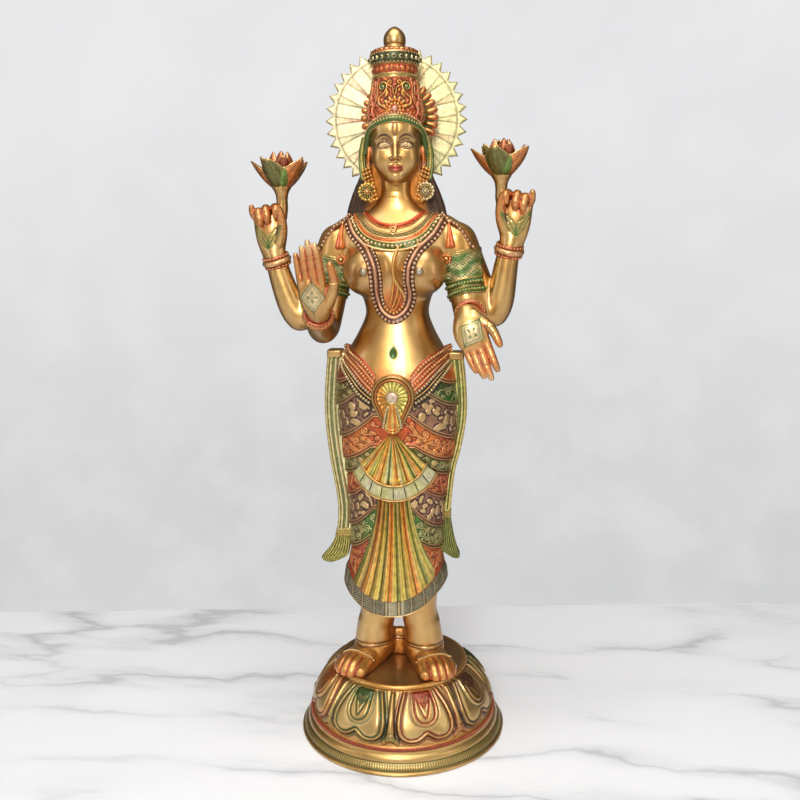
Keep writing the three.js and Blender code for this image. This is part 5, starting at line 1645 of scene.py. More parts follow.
def peplum(materials):
    """The upper fan of pleats and the panelled border along its edge."""
    apex, angle, reach, side, border = PEPLUM.values()
    columns, rows, border_rows = 300, 80, 26
    u = np.linspace(0, 1, columns)[None, :]
    turn = np.radians(angle) * (2 * u - 1)
    outer = lerp(reach, side, np.abs(2 * u - 1) ** 2)
    inner = outer - border

    v = np.linspace(0, 1, rows)[:, None]
    out = lerp(6, inner, v)
    x, z = out * np.sin(turn), apex - out * np.cos(turn)
    ridge = flutes(u, PEPLUM_FLUTES) * np.ones_like(v)
    fine = flutes(u, PEPLUM_FLUTES * 3, 1) * smoothstep(0.2, 0.5, v)
    y = front_y(SKIRT, x, z) - lerp(3.6, 6.0, ridge) - 0.35 * fine
    coat = Coat(x.size)
    coat.polish(0.42 + 0.24 * ridge + 0.06 * fine)
    stripes(coat, u * np.ones_like(v), PEPLUM_STRIPES, 0.9)
    coat.lay(ridge * 0.75, (1.0, 0.76, 0.22), 0.6)
    coat.lay(smoothstep(0.14, 0.02, ridge) * smoothstep(0.1, 0.3, v), (0.05, 0.09, 0.02), 0.85)
    coat.lay(smoothstep(0.16, 0.0, fine) * smoothstep(0.3, 0.5, v), (0.16, 0.14, 0.03), 0.6)
    build = Build()
    add_sheet(build, xyz(x, y, z), coat, 7)

    v = np.linspace(0, 1, border_rows)[:, None]
    out = lerp(inner, outer, v)
    x, z = out * np.sin(turn), apex - out * np.cos(turn)
    panel = (u * PEPLUM_PANELS) % 1 * np.ones_like(v)
    seam = np.minimum(panel, 1 - panel) * 2 * np.radians(angle) * out / PEPLUM_PANELS
    down = v * border
    lines = bump_at(down, 0.9, 0.5) + bump_at(down, 3.0, 0.5)
    lines += bump_at(down, border - 1.0, 0.5) + bump_at(down, border - 3.1, 0.5)
    lines = lines * np.ones_like(panel)
    cut = bump_at(down, 2.0, 0.45) + bump_at(down, border - 2.1, 0.45) * np.ones_like(panel)
    below = smoothstep(2.6, 3.4, down)
    seam_cut = bump_at(seam, 0, 0.5) * below * smoothstep(border - 3.2, border - 4.0, down)
    pillow = np.sin(panel * math.pi) ** 0.6
    fine = flutes(panel, 6, 1) * smoothstep(3.5, 4.5, down) * smoothstep(border - 3.5, border - 4.5, down)
    y = front_y(SKIRT, x, z) - 6.6 - 0.9 * pillow - 0.5 * lines + 0.4 * cut + 0.5 * seam_cut - 0.12 * fine
    coat = Coat(x.size)
    coat.polish(0.60 + 0.3 * lines - 0.45 * cut - 0.5 * seam_cut + 0.1 * fine)
    middle = below * smoothstep(border - 3.1, border - 3.8, down) * np.ones_like(panel)
    coat.relief -= 0.28 * ((1 - fine) * middle).ravel()
    coat.lay(middle, SILVER, 0.75)
    coat.lay(middle * flutes(u + 0.1, 3, 1), LIME, 0.6)
    coat.lay(middle * (1 - fine), (0.30, 0.34, 0.12), 0.45)
    coat.lay(cut + seam_cut, GREEN, 0.95)
    coat.lay(bump_at(down, border - 1.0, 0.7) * np.ones_like(panel), ORANGE, 0.4)
    add_sheet(build, xyz(x, y, z), coat, 8)
    build.piece("peplum", materials["enamel"], 36000)


def centre_pleats(materials):
    """The long fan of pleats that falls to the hem."""
    top, top_half, foot_half = PLEATS.values()
    columns, rows = 240, 130
    u, v = np.linspace(0, 1, columns)[None, :], np.linspace(0, 1, rows)[:, None]
    side = 2 * u - 1
    x = side * (top_half + (foot_half - top_half) * v**1.9) - 2 * v
    half, _, _, shift = (float(part[0]) for part in sections(SKIRT, np.array([95.0])))
    bend = np.clip(np.abs(side * foot_half - 2 - shift) / half, 0, 1) ** (1 / SECTION_POWER)
    z = lerp(top, hem_at(np.arcsin(bend)) + HEM_BAND - 0.9, v)
    ridge = flutes(u, PLEAT_FLUTES, 0.9) * np.ones_like(v)
    fine = flutes(u, PLEAT_FLUTES * 3, 1) * np.ones_like(v)
    edge = smoothstep(0.0, 0.05, u) * smoothstep(1.0, 0.95, u)
    y = front_y(SKIRT, x, z) - lerp(3.0, 5.6, ridge * edge) - 0.3 * fine
    coat = Coat(x.size)
    coat.polish(0.42 + 0.24 * ridge + 0.06 * fine)
    stripes(coat, u * np.ones_like(v), PLEAT_STRIPES, 0.9)
    coat.lay(ridge * smoothstep(0.1, 0.8, v), (1.0, 0.68, 0.14), 0.65)
    coat.lay(ridge * smoothstep(0.6, 0.0, v), AMBER, 0.45)
    coat.lay((1 - ridge) * smoothstep(0.5, 0.0, v), BROWN, 0.2)
    coat.lay(smoothstep(0.14, 0.02, ridge) * np.ones_like(v), (0.05, 0.09, 0.02), 0.85)
    coat.lay(smoothstep(0.18, 0.0, fine) * np.ones_like(v), (0.17, 0.14, 0.03), 0.6)
    pearls = flutes(v, 64, 1) * smoothstep(0.85, 1.0, ridge) * ((u * PLEAT_FLUTES).astype(int) % 2)
    coat.lay(pearls * smoothstep(1.0, 0.5, v), PALE, 0.6)
    build = Build()
    add_sheet(build, xyz(x, y, z), coat, 7)
    build.piece("centre_pleats", materials["enamel"], 36000)


# Outer and inner edge of each sash, from the hip down: x and z of each
SASH_EDGES = {
    "sash_right": [
        (-76, 352, -52, 352), (-79.5, 318, -51, 318), (-81, 291, -51, 291), (-79.8, 264, -50, 264),
        (-76, 230, -50, 230), (-70, 192, -50, 192), (-69, 168, -50, 170), (-72, 146, -54, 147),
        (-78, 133, -56, 130), (-85, 124, -59, 122), (-89, 118.5, -67, 117), (-88.5, 114.5, -77, 112.5),
        (-85.5, 112.5, -81, 112),
    ],
    "sash_left": [
        (71, 350, 50, 350), (74, 318, 50, 318), (74.5, 284, 49.5, 284), (69, 250, 48, 250),
        (62, 222, 46, 222), (58, 190, 45, 190), (57, 170, 44, 172), (60, 150, 43, 151), (64, 134, 45, 134),
        (67, 125.5, 52, 127.5), (66, 122.2, 60, 123),
    ],
}
SASH_TIES = {"sash_right": 149, "sash_left": 174}


def sash(name, materials):
    """One hanging sash, tied off above its tassel."""
    edges = np.array(SASH_EDGES[name], float)
    rows = smooth_path(np.insert(edges, 2, 0, axis=1), 0.9)
    outer, inner = rows[:, [0, 1]], rows[:, [3, 4]]
    tie = SASH_TIES[name]
    wide = np.linalg.norm(outer - inner, axis=1)
    across_front, across_back = 44, 12
    s_front = np.linspace(0, 1, across_front) ** 1.15
    s_back = np.linspace(1, 0, across_back + 2)[1:-1]
    s = np.concatenate([s_front, s_back])[None, :]
    front = (np.arange(s.size) < across_front)[None, :]
    from_outer = s * wide[:, None]
    level = (outer[:, 1:2] + inner[:, 1:2]) / 2
    soft = np.clip(1 - from_outer / 3.0, 0, 1)
    above = smoothstep(tie + 2, tie + 6, level) * np.ones_like(s)
    grooves = bump_at(from_outer, 3.6, 0.6) + bump_at(from_outer, 7.2, 0.55) + bump_at(from_outer, 8.8, 0.55)
    grooves = (grooves + bump_at(from_outer, 13.0, 0.6)) * above * front
    ridges = bump_at(from_outer, 1.8, 1.2) + bump_at(from_outer, 5.3, 1.2) + bump_at(from_outer, 10.4, 1.2)
    strands = flutes(s + 0.003 * level, 8, 0.7) * (1 - above) * front
    rings = sum(bump_at(level, tie + 3.2 * k, 1.05) for k in (-1, 0, 1)) * np.ones_like(s)
    ends = smoothstep(rows[0, 1] + 0.1, rows[0, 1] - 2, level) * smoothstep(111.5, 117, level)
    y_front = -10.2 + 3.0 * soft**2 - 0.8 * ridges * above + 1.0 * grooves - 1.0 * strands - 1.1 * rings
    y_back = 6 - 3.0 * soft**2 + 0.6 * rings
    y = np.where(front, y_front, y_back)
    y = -2.5 + (y + 2.5) * (0.55 + 0.45 * ends)
    side = np.sign(outer[0, 0])
    x = outer[:, :1] + (inner[:, :1] - outer[:, :1]) * s + side * 0.8 * rings * (s < 0.2)
    z = outer[:, 1:2] + (inner[:, 1:2] - outer[:, 1:2]) * s
    surface = xyz(x, y, z)
    coat = Coat(x.size)
    shine = 0.58 + 0.1 * ridges * above * front - 0.45 * grooves + 0.25 * rings
    shine += (0.55 * strands - 0.5) * (1 - above) * (1 - np.clip(rings, 0, 1))
    coat.polish(shine)
    greener = smoothstep(0, 1, 1 if side > 0 else 0.35)
    cloth = (0.96, 0.94, 0.34) if side > 0 else (1.0, 0.94, 0.50)
    coat.lay(above, cloth, 0.82)
    coat.lay(above * flutes(level / 90 + s, 1, 1), GREEN, 0.05 + 0.10 * greener)
    coat.lay(above * (from_outer < 2.8), (0.95, 0.62, 0.16), 0.4)
    coat.lay(above * bump_at(from_outer, 8.0, 0.9) * front, (0.14, 0.26, 0.03), 0.6)
    coat.lay(grooves, (0.03, 0.09, 0.01), 0.97)
    tassel = (0.05, 0.16, 0.03) if side > 0 else (0.30, 0.27, 0.05)
    coat.lay((1 - above) * (1 - np.clip(rings, 0, 1)), tassel, 0.85)
    coat.lay(strands * (1 - above), LIME, 0.45 if side > 0 else 0.8)
    dark_strands = smoothstep(0.3, 0.0, strands) * (1 - above) * front * (1 - np.clip(rings, 0, 1))
    coat.lay(dark_strands, (0.03, 0.07, 0.012), 0.9)
    build = Build()
    add_surface(build, surface, coat)
    top_x, top_z = outer[0]
    add_block(build, (top_x - side * 8, -3, top_z - 2), (8.4, 10.8, 4.4), 0.30)
    build.piece(name, materials["enamel"], 16000)


def add_block(build, centre, half, power_of, relief=0.7):
    """A block with rounded edges: a superellipsoid, the squarer the lower its power."""
    around, down = 40, 22
    angle = ring_angles(around)
    polar = np.linspace(0.04, 0.96, down)[:, None] * math.pi
    x = power(np.cos(angle), power_of) * np.abs(np.sin(polar)) ** power_of
    y = power(np.sin(angle), power_of) * np.abs(np.sin(polar)) ** power_of
    z = power(np.cos(polar), power_of) * np.ones_like(angle)
    surface = xyz(x, y, z) * np.array(half) + np.array(centre)
    add_surface(build, surface, Coat(surface[..., 0].size, relief))


CLASP_Z = 311
CLASP_RADIUS = 22
CLASP_TAIL = 272.5


def teardrop(angle):
    """How far the edge of the clasp lies from its middle, angle 0 at the top."""
    tail_radius = 9.0
    drop = CLASP_Z - CLASP_TAIL - tail_radius
    slope = (CLASP_RADIUS - tail_radius) / drop
    low = -np.cos(angle)
    side = np.abs(np.sin(angle))
    along_edge = side * math.sqrt(1 - slope**2) + low * slope
    reach = np.where(low > slope, CLASP_RADIUS / np.maximum(along_edge, 1e-6), CLASP_RADIUS)
    under = low * drop
    round_end = under + np.sqrt(np.maximum(under**2 - drop**2 + tail_radius**2, 0))
    tail_turn = np.arctan2(tail_radius * math.sqrt(1 - slope**2), drop + tail_radius * slope)
    return np.where(np.arctan2(side, low) < tail_turn, round_end, reach)


# A string of pearls below the clasp: distance from its middle, and height
CLASP_PEARLS = [(4.6, 301), (7.6, 290), (9.4, 280)]


def clasp(materials):
    """The drop-shaped clasp: rings, a rosette of fine petals round a hub, and a pleated tail."""
    columns, rows = 240, 62
    angle = ring_angles(columns)
    x_way, z_way = np.sin(angle), np.cos(angle)
    reach = teardrop(angle)
    share = np.concatenate([np.linspace(0.0, 1, rows)[1:], [1.02, 1.02]])[:, None]
    radius = share * reach
    x, z = radius * x_way, CLASP_Z + radius * z_way
    from_edge = (1 - share) * reach
    hub = np.hypot(x, z - CLASP_Z)
    below = CLASP_Z - z
    tail_half = lerp(3.4, 8.6, np.clip((below - 6) / 30, 0, 1))
    tail = smoothstep(6.5, 9, below) * smoothstep(0.2, -0.6, np.abs(x) - tail_half)
    rings = bump_at(from_edge, 1.0, 1.0) + bump_at(from_edge, 4.2, 0.7)
    cuts = bump_at(from_edge, 2.7, 0.6) + bump_at(from_edge, 5.5, 0.45)
    petals = flutes(angle[None, :] / TAU * np.ones_like(share), 20, 0.7)
    ground = smoothstep(6.6, 7.4, hub) * smoothstep(5.6, 6.2, from_edge) * (1 - tail)
    arcs = flutes(hub / 4.6 * np.ones_like(petals), 1, 1) * ground
    hub_ring = bump_at(hub, 6.4, 0.7)
    dome = np.sqrt(np.clip(1 - (hub / 5.2) ** 2, 0, 1))
    pleats = flutes(x / tail_half / 2 + 0.5, 5, 1) * tail
    lift = 1.4 * rings - 0.8 * cuts + 0.8 * petals * ground + 1.3 * hub_ring + 1.6 * dome
    lift += (1.1 * pleats + 0.8) * tail + 1.6 * smoothstep(13.5, 8, hub) + 0.4 * arcs
    y = -57.2 - 1.6 * smoothstep(0, 5, from_edge) - lift * 0.9
    y[-2:] = [[-57.0], [-46.0]]
    surface = xyz(x + 1, y, z)
    coat = Coat(x.size)
    shine = 0.45 + 0.4 * rings - 0.4 * cuts + (0.35 * petals - 0.22) * ground + 0.4 * hub_ring
    shine += (0.4 * pleats - 0.15) * tail - 0.05 * (dome > 0)
    coat.polish(shine)
    right = smoothstep(-8, 4, x + 0.7 * (z - CLASP_Z))
    coat.lay(bump_at(from_edge, 1.0, 1.6), (0.26, 0.16, 0.04), 0.9)
    coat.lay(bump_at(from_edge, 4.4, 1.4), (0.72, 0.18, 0.02), 0.95)
    coat.lay(ground, (0.82, 0.27, 0.03), 0.95)
    coat.lay(ground * right, LIME, 0.95)
    coat.lay(ground * petals * right, YELLOW, 0.8)
    coat.lay(ground * (1 - petals), (0.20, 0.22, 0.03), 0.7)
    coat.lay(smoothstep(5.6, 5.0, hub), (0.74, 0.56, 0.42), 0.95)
    coat.lay(bump_at(hub, 6.6, 1.2), OLIVE, 0.8)
    stripe = (np.floor((x / tail_half + 1) * 2.5).astype(int)) % 2
    coat.lay(tail * stripe, (0.78, 0.20, 0.02), 0.9)
    coat.lay(tail * (1 - stripe), YELLOW, 0.85)
    build = Build()
    centre = np.array([[1, y[0].mean(), CLASP_Z]])
    points = np.vstack([surface.reshape(-1, 3), centre])
    ring = np.arange(columns)
    fan = np.stack([np.full(columns, len(points) - 1), ring, (ring + 1) % columns], axis=1)
    build.add(points, [grid_faces(len(share), columns), fan], end_coat(coat, surface, (True, False)))
    for side in (-1, 1):
        spots = smooth_path([(1 + side * out, z, 0) for out, z in CLASP_PEARLS], 2.5)
        centres = xyz(spots[:, 0], -61.2, spots[:, 1])
        add_beads(build, centres, 1.25, (0.66, 0.72, 0.46), 0.85, 0.7)
    build.piece("clasp", materials["enamel"], 20000)


BELT_HIGH = [(57.5, 357.5), (52, 355), (41.5, 349.5), (30.5, 341.5), (18.3, 327.4)]
BELT_LOW = [(60, 342), (54, 334), (46, 324.5), (36, 313), (22, 303)]
# Each string of the belt: share from the high line to the low one, radius, beads or a plain line,
# colour and how strong it is.
BELT_STRINGS = [
    (0.0, 1.9, True, (0.84, 0.42, 0.20), 0.8), (0.16, 0.7, False, ROSE, 0.7),
    (0.33, 1.8, True, (0.84, 0.34, 0.12), 0.9), (0.50, 0.7, False, ROSE, 0.7),
    (0.68, 1.75, True, (0.72, 0.70, 0.52), 0.8), (0.85, 0.6, False, AMBER, 0.5),
    (1.02, 1.8, True, (0.72, 0.70, 0.52), 0.8),
]


def belt(materials):
    """The strings of the hip belt on their dark ground, both sides."""
    build = Build()
    high, low = (flat_path(line, 1.0) for line in (BELT_HIGH, BELT_LOW))
    count = min(len(high), len(low))
    high, low = (line[np.linspace(0, len(line) - 1, count).astype(int)] for line in (high, low))
    for side in (-1, 1):
        t = np.linspace(-0.16, 1.2, 26)[:, None]
        x = side * lerp(high[:, 0], low[:, 0], t)
        z = lerp(high[:, 1], low[:, 1], t)
        y = np.minimum(front_y(SKIRT, x, z), front_y(TORSO, x, z)) - 0.2 - 1.8 * t - 1.2 * np.sin(
            np.clip((t + 0.16) / 1.36, 0, 1) * math.pi
        ) ** 0.4
        surface = xyz(x, y, z)
        if side > 0:
            surface = surface[::-1]
        coat = Coat(x.size, 0.3)
        dark = smoothstep(0.5, 0.8, t) * np.ones_like(x)
        if side > 0:
            dark = dark[::-1]
        coat.lay(1, (0.50, 0.06, 0.015), 0.95)
        coat.lay(dark, (0.02, 0.03, 0.015), 0.97)
        add_sheet(build, surface, coat, 3)
        for share, radius, beaded, colour, strength in BELT_STRINGS:
            line = lerp(high, low, share)
            xs, zs = side * line[:, 0], line[:, 1]
            ys = np.minimum(front_y(SKIRT, xs, zs), front_y(TORSO, xs, zs)) - 1.7 - 1.8 * share
            path = xyz(xs, ys, zs)
            if beaded:
                spots = smooth_path(path[::3], 2.0 * radius)
                add_beads(build, spots, radius * 0.96, colour, strength, 0.8)
            else:
                add_tube(build, path[::2], radius, 6, tint=colour, amount=strength)
    build.piece("belt", materials["enamel"])


# Legs, feet, hands


FOOT_LENGTH = 82
FOOT_SPLAY = 25
FOOT_HEEL_Y = 12
FOOT_HALF = 21.5
FEET = ((-1, -26), (1, 20))
SHINS = ((-29, -3), (23, 3))


def foot_place(side, heel_x):
    turn = math.radians(FOOT_SPLAY)

    def place(across, along, z, *rest):
        return [
            heel_x + along * math.sin(turn) * side + across * side * math.cos(turn),
            FOOT_HEEL_Y - along * math.cos(turn) + across * math.sin(turn),
            z,
            *rest,
        ]

    return place


def toe_rows():
    """Each toe's place across the foot, how far it reaches and its radius, the big toe first."""
    for i in range(5):
        across = lerp(-FOOT_HALF * 0.8, FOOT_HALF * 0.88, i / 4)
        yield across, FOOT_LENGTH * (0.88 - 0.035 * i), 6.2 if i == 0 else 5.3 - 0.2 * i


def cavity(points, quads, normals, times=6):
    """How far each point lies below its smoothed neighbourhood, in mm: above 0 in hollows."""
    mean = neighbour_mean(points, quads)
    smooth = points
    for _ in range(times):
        smooth = mean(smooth)
    return np.einsum("ij,ij->i", smooth - points, normals)


def engraved(points, normals, marks, depth=0.35):
    """The points with those under the marks sunk by up to depth mm."""
    return points - normals * (np.clip(marks, 0, 1.6) * depth)[:, None]


def legs_and_feet(materials):
    """The shins, feet and toes below the hem, with their anklets."""
    field = Field((-86, -78, -8), (78, 42, 100), 1.05)
    for x, lean in SHINS:
        out = 1 if x > 0 else -1
        rows = [
            [x, 0, 112, 19.5], [x - lean, 0, 60, 19.8], [x + out, 0, 38, 20.2], [x + 2.6 * out, 0, 16, 22.6],
        ]
        field.limb(rows, 5, 8)
    field.ball((-3, 7, 12), (16, 6, 20), 5)
    for side, heel_x in FEET:
        place = foot_place(side, heel_x)
        body_rows = [
            place(0, -2, 8, 15), place(0, FOOT_LENGTH * 0.34, 3.5, 19.8),
            place(0.5, FOOT_LENGTH * 0.66, 1.5, 22.0),
        ]
        field.limb(body_rows, 6, 7, flat=0.72, axis=(0, 0, 1))
        for across, reach, thick in toe_rows():
            toe = [
                place(across * 0.62, reach - 42, 9.6, thick * 0.8),
                place(across * 0.86, reach - 24, 8.0, thick * 0.92),
                place(across, reach - thick, 4.4, thick),
            ]
            field.limb(toe, 1.6, 5)
            tip = place(across, reach - thick * 0.55, 7.4)
            field.ball(tip, (thick * 0.52, thick * 0.5, 2.2), 0.7)
    points, quads = field.surface()
    points = evened(points, quads, 2)
    points[:, 2] = np.maximum(points[:, 2], 0)
    normals = point_normals(points, quads)
    hollow = cavity(points, quads, normals, 8)
    coat = Coat(len(points), 0.68)
    px, py, pz = points.T
    low = smoothstep(22, 19, pz)
    crease = smoothstep(0.10, 0.6, hollow) * smoothstep(-12, -26, py) * low
    coat.relief -= 0.42 * crease
    forward = smoothstep(16, 0, py) * low
    coat.lay(forward, (0.84, 0.32, 0.04), 0.62)
    coat.lay(crease, RED, 0.95)
    # Painted shade: brown in the hollows above the anklets.
    coat.lay(smoothstep(0.3, 1.0, hollow) * (pz > 24), BROWN, 0.3)
    coat.lay(smoothstep(8, 1, pz) * low, ORANGE, 0.5)
    coat.lay(smoothstep(12, 6, np.abs(px + 3)) * smoothstep(60, 44, pz), (0.72, 0.24, 0.03), 0.7)
    grooves = sum(toe_grooves(points, side, heel_x) for side, heel_x in FEET) * low
    coat.relief -= 0.4 * np.clip(grooves, 0, 1)
    coat.lay(np.clip(grooves, 0, 1), (0.46, 0.03, 0.01), 0.95)
    anklets = np.zeros(len(points))
    for x, _ in SHINS:
        around = np.hypot(px - x - (1.5 if x > 0 else -1.5), py)
        anklets += smoothstep(29, 27, around)
    anklet_lines = bump_at(pz, 22.0, 0.75) + bump_at(pz, 18.8, 0.6)
    anklets = np.clip(anklets, 0, 1) * anklet_lines * smoothstep(12, 4, py)
    coat.relief -= 0.5 * anklets
    coat.lay(anklets, (0.05, 0.018, 0.012), 0.95)
    points = engraved(points, normals, 1.5 * grooves + 0.9 * anklets, 1.0)
    build = Build().add(points, [quads], coat)
    tree = BVHTree.FromPolygons(points.tolist(), quads.tolist())
    for side, heel_x in FEET:
        place = foot_place(side, heel_x)
        line = [place(t * 20, 48 - 3 * t * t, 60) for t in np.linspace(-1, 1, 19)]
        spots = [hit for p in line if (hit := dropped(tree, p))]
        add_beads(build, [s + Vector((0, -0.3, 0.4)) for s in spots], 1.5, PALE, 0.6, 0.8)
    build.piece("legs_feet", materials["skin"], 46000)


def toe_grooves(points, side, heel_x):
    """Grooves that run up a foot between its toes, and one across where they begin."""
    turn = math.radians(FOOT_SPLAY)
    dx, dy = (points[:, 0] - heel_x) * side, points[:, 1] - FOOT_HEEL_Y
    along = dx * math.sin(turn) - dy * math.cos(turn)
    across = dx * math.cos(turn) + dy * math.sin(turn)
    places = [row[0] for row in toe_rows()]
    marks = np.zeros(len(points))
    for near, far in zip(places, places[1:]):
        middle = (near + far) / 2 * lerp(0.62, 1.0, smoothstep(20, 70, along))
        marks = np.maximum(marks, bump_at(across - middle, 0, 1.5))
    return marks * smoothstep(49, 53, along) * (np.abs(across) < 27) * (along < 90)


def dropped(tree, point):
    """Where a point falls on to a mesh from above."""
    return tree.ray_cast(Vector(point[:3]), Vector((0, 0, -1)))[0]


def ring_axes(axis):
    axis = Vector(axis).normalized()
    first = axis.orthogonal().normalized()
    return np.array(first), np.array(axis.cross(first))


def ring_points(centre, axis, radius, count):
    first, second = ring_axes(axis)
    angle = ring_angles(count)
    way = np.cos(angle)[:, None] * first + np.sin(angle)[:, None] * second
    return np.asarray(centre, float) + way * radius, way


def add_ring(build, centre, axis, radius, tube, tint=None, amount=0.8, relief=0.8, sides=8):
    """A closed ring of round section."""
    count = max(24, int(radius * TAU / 1.8))
    points, way = ring_points(centre, axis, radius, count)
    axis = np.array(Vector(axis).normalized())
    turn = ring_angles(sides)
    surface = points[:, None] + tube * (
        way[:, None] * np.cos(turn)[None, :, None] + axis * np.sin(turn)[None, :, None]
    )
    points = np.concatenate([surface, surface[:1]]).reshape(-1, 3)
    faces = outward(points, [grid_faces(count + 1, sides)])
    build.add(points, faces, painted(len(points), relief, tint, amount))


def bracelet(build, centre, axis, radius, colour=ORANGE, dark=RED, gap=3.4):
    """Two rows of beads with a smooth tube between them."""
    axis = np.array(Vector(axis).normalized())
    centre = np.asarray(centre, float)
    add_ring(build, centre, axis, radius + 0.4, gap * 0.68, colour, 0.6, 0.72)
    for step in (-1, 1):
        middle = centre + axis * gap * step
        add_ring(build, middle, axis, radius - 0.3, 2.0, (0.40, 0.05, 0.015), 0.92, 0.45)
        spots, _ = ring_points(middle, axis, radius + 1.0, int(radius * TAU / 3.5))
        add_beads(build, spots, 1.6, dark, 0.75, 0.74)


FINGER_BLEND = 0.8
BLESSING_FINGERS = [
    [[-62, -69, 408, 7.0], [-56, -73, 419, 5.4], [-53, -77, 431, 4.4], [-56, -81, 447, 3.2]],
    [[-65.6, -74, 424, 4.4], [-66.6, -76, 438, 3.9], [-68.0, -79.5, 452, 3.6], [-70.4, -82, 465.5, 2.8]],
    [[-72.8, -75, 424, 4.4], [-74.2, -77, 440, 3.9], [-75.6, -80.5, 455, 3.6], [-77.4, -83, 468.5, 2.8]],
    [[-79.8, -75, 424, 4.3], [-81.6, -76, 439, 3.8], [-82.6, -79.5, 452, 3.4], [-83.6, -82, 463, 2.7]],
    [[-86.2, -73, 423, 4.0], [-88.6, -73, 436, 3.5], [-89.6, -76, 447, 3.1], [-90.6, -79, 456.5, 2.5]],
]
BLESSING_PALM = [[-72, -64, 400, 12], [-73, -70, 413, 16.5], [-76.4, -72.5, 425, 14.6]]
GIVING_FINGERS = [
    [[84, -68, 396, 7.0], [93, -69, 390, 5.6], [103, -73, 382, 4.4], [110.5, -77, 368, 3.2]],
    [[93.4, -73, 380, 4.5], [98, -74, 368, 4.0], [103.5, -78, 355, 3.7], [108.5, -80, 343.5, 2.8]],
    [[87.6, -74, 376, 4.6], [91.6, -75, 363, 4.1], [97, -79, 348.5, 3.8], [102.6, -82, 335.5, 2.9]],
    [[80.6, -73, 374, 4.4], [84.6, -75, 361, 4.0], [89.8, -79, 347.5, 3.6], [95.4, -81.5, 337, 2.8]],
    [[74.4, -71, 374, 4.0], [78.0, -73, 362, 3.6], [82.4, -76, 350.5, 3.2], [87.4, -79, 341.5, 2.5]],
]
GIVING_PALM = [[78, -64, 394, 12.5], [81, -71, 381, 16.5], [85, -73, 370, 14.6]]


def holding_rows(side, x, z):
    """Palm and fingers of a raised hand closed on a stalk."""
    def p(out, y, up, radius):
        return [x + side * out, y, z + up, radius]

    palm = [p(0, -2, 0, 10.5), p(1, -3, 20, 16), p(4, -2, 37, 15.5)]
    fingers = [
        [p(-8, -4, 14, 6.5), p(-12.5, -8, 26, 5), p(-13, -11, 38, 4.5), p(-10.5, -13, 50, 3.4)],
        [p(-6, -2, 36, 5), p(-6, -2, 44, 4.6), p(-5, -9, 51, 4.3), p(-8, -14.5, 50, 3.5),
         p(-7, -14.5, 43, 3.1)],
        [p(2, -2, 38, 5), p(3.2, -2, 46, 4.7), p(4, -11, 50, 4.4), p(2, -15, 42, 3.8), p(2, -13, 37, 3.2)],
        [p(9, -2, 36, 4.8), p(10.5, -2, 44, 4.5), p(12, -11, 47, 4.3), p(10, -14.5, 39, 3.7),
         p(9.5, -12.5, 34, 3.1)],
        [p(14.4, -2, 33, 4.4), p(16, -2, 40, 4.1), p(18.4, -8, 45, 3.8), p(19.4, -11.5, 52, 2.8)],
    ]
    return palm, fingers


def hand(palm, fingers, wrist, design):
    """A hand as one solid: wrist, flattened palm and fingers with creases and an engraved palm."""
    everything = np.array([*palm, *[row for finger in fingers for row in finger], *wrist], float)
    low = (everything[:, :3] - everything[:, 3:4]).min(0) - 3
    high = (everything[:, :3] + everything[:, 3:4]).max(0) + 3
    field = Field(low, high, 0.85)
    field.limb(wrist, 0, 4)
    field.limb(palm, 4, 4, flat=0.5, axis=(0, 1, 0))
    for finger in fingers:
        field.limb(finger, FINGER_BLEND, 3)
    points, quads = field.surface()
    points = evened(points, quads, 2)
    normals = point_normals(points, quads)
    hollow = cavity(points, quads, normals, 7)
    coat = Coat(len(points), 0.66)
    crease = smoothstep(0.05, 0.30, hollow)
    coat.relief -= 0.4 * crease
    first = np.array(palm[-1][:3])
    tips = np.array([finger[-1][:3] for finger in fingers[1:]])
    direction = tips.mean(0) - first
    direction /= np.linalg.norm(direction)
    along = (points - first) @ direction
    coat.lay(smoothstep(-4, 12, along), ORANGE, 0.5)
    coat.lay(smoothstep(30, 42, along), (0.86, 0.66, 0.36), 0.6)
    coat.lay(crease, (0.58, 0.06, 0.015), 0.95)
    marks = np.zeros(len(points))
    for finger in fingers:
        rows = smooth_path(finger, 1.0)
        for share in (0.45, 0.72):
            step = int(share * (len(rows) - 1))
            centre, way = rows[step], (rows[min(step + 1, len(rows) - 1)] - rows[step])[:3]
            offset = points - centre[:3]
            across = offset @ (way / np.linalg.norm(way))
            near = np.linalg.norm(offset, axis=1) < centre[3] * 1.7
            marks += bump_at(across, 0, 0.55) * near * smoothstep(0.1, -0.5, normals[:, 1])
    coat.relief -= 0.15 * np.clip(marks, 0, 1)
    coat.lay(np.clip(marks, 0, 1), RED, 0.3)
    marks += design(points, normals, coat)
    return Build().add(engraved(points, normals, marks), [quads], coat)


def palm_design(centre, size, colour, turn=0.0, petals=4):
    """A kite of double lines round a small flower, engraved in a palm."""
    def lay(points, normals, coat):
        dx, dz = points[:, 0] - centre[0], points[:, 2] - centre[1]
        cos, sin = math.cos(turn), math.sin(turn)
        u, v = dx * cos - dz * sin, dx * sin + dz * cos
        kite = np.abs(u) / size + np.abs(v) / (size * 1.25)
        angle, far = np.arctan2(v, u), np.hypot(u, v)
        flower = far / (size * (0.22 + 0.16 * np.cos(petals * angle)))
        lines = bump_at(kite, 1.0, 0.065) + 0.8 * bump_at(kite, 0.76, 0.055) + bump_at(flower, 1, 0.28)
        veins = bump_at(u, 0, 0.6) * (kite > 0.74) * (kite < 1.4)
        front = smoothstep(-0.3, -0.7, normals[:, 1])
        coat.lay((kite < 1.0) * front, (0.82, 0.76, 0.48), 0.5)
        lines = np.clip(lines + 0.8 * veins, 0, 1) * front
        coat.relief -= 0.38 * lines
        coat.lay(lines, colour, 0.97)
        return lines

    return lay


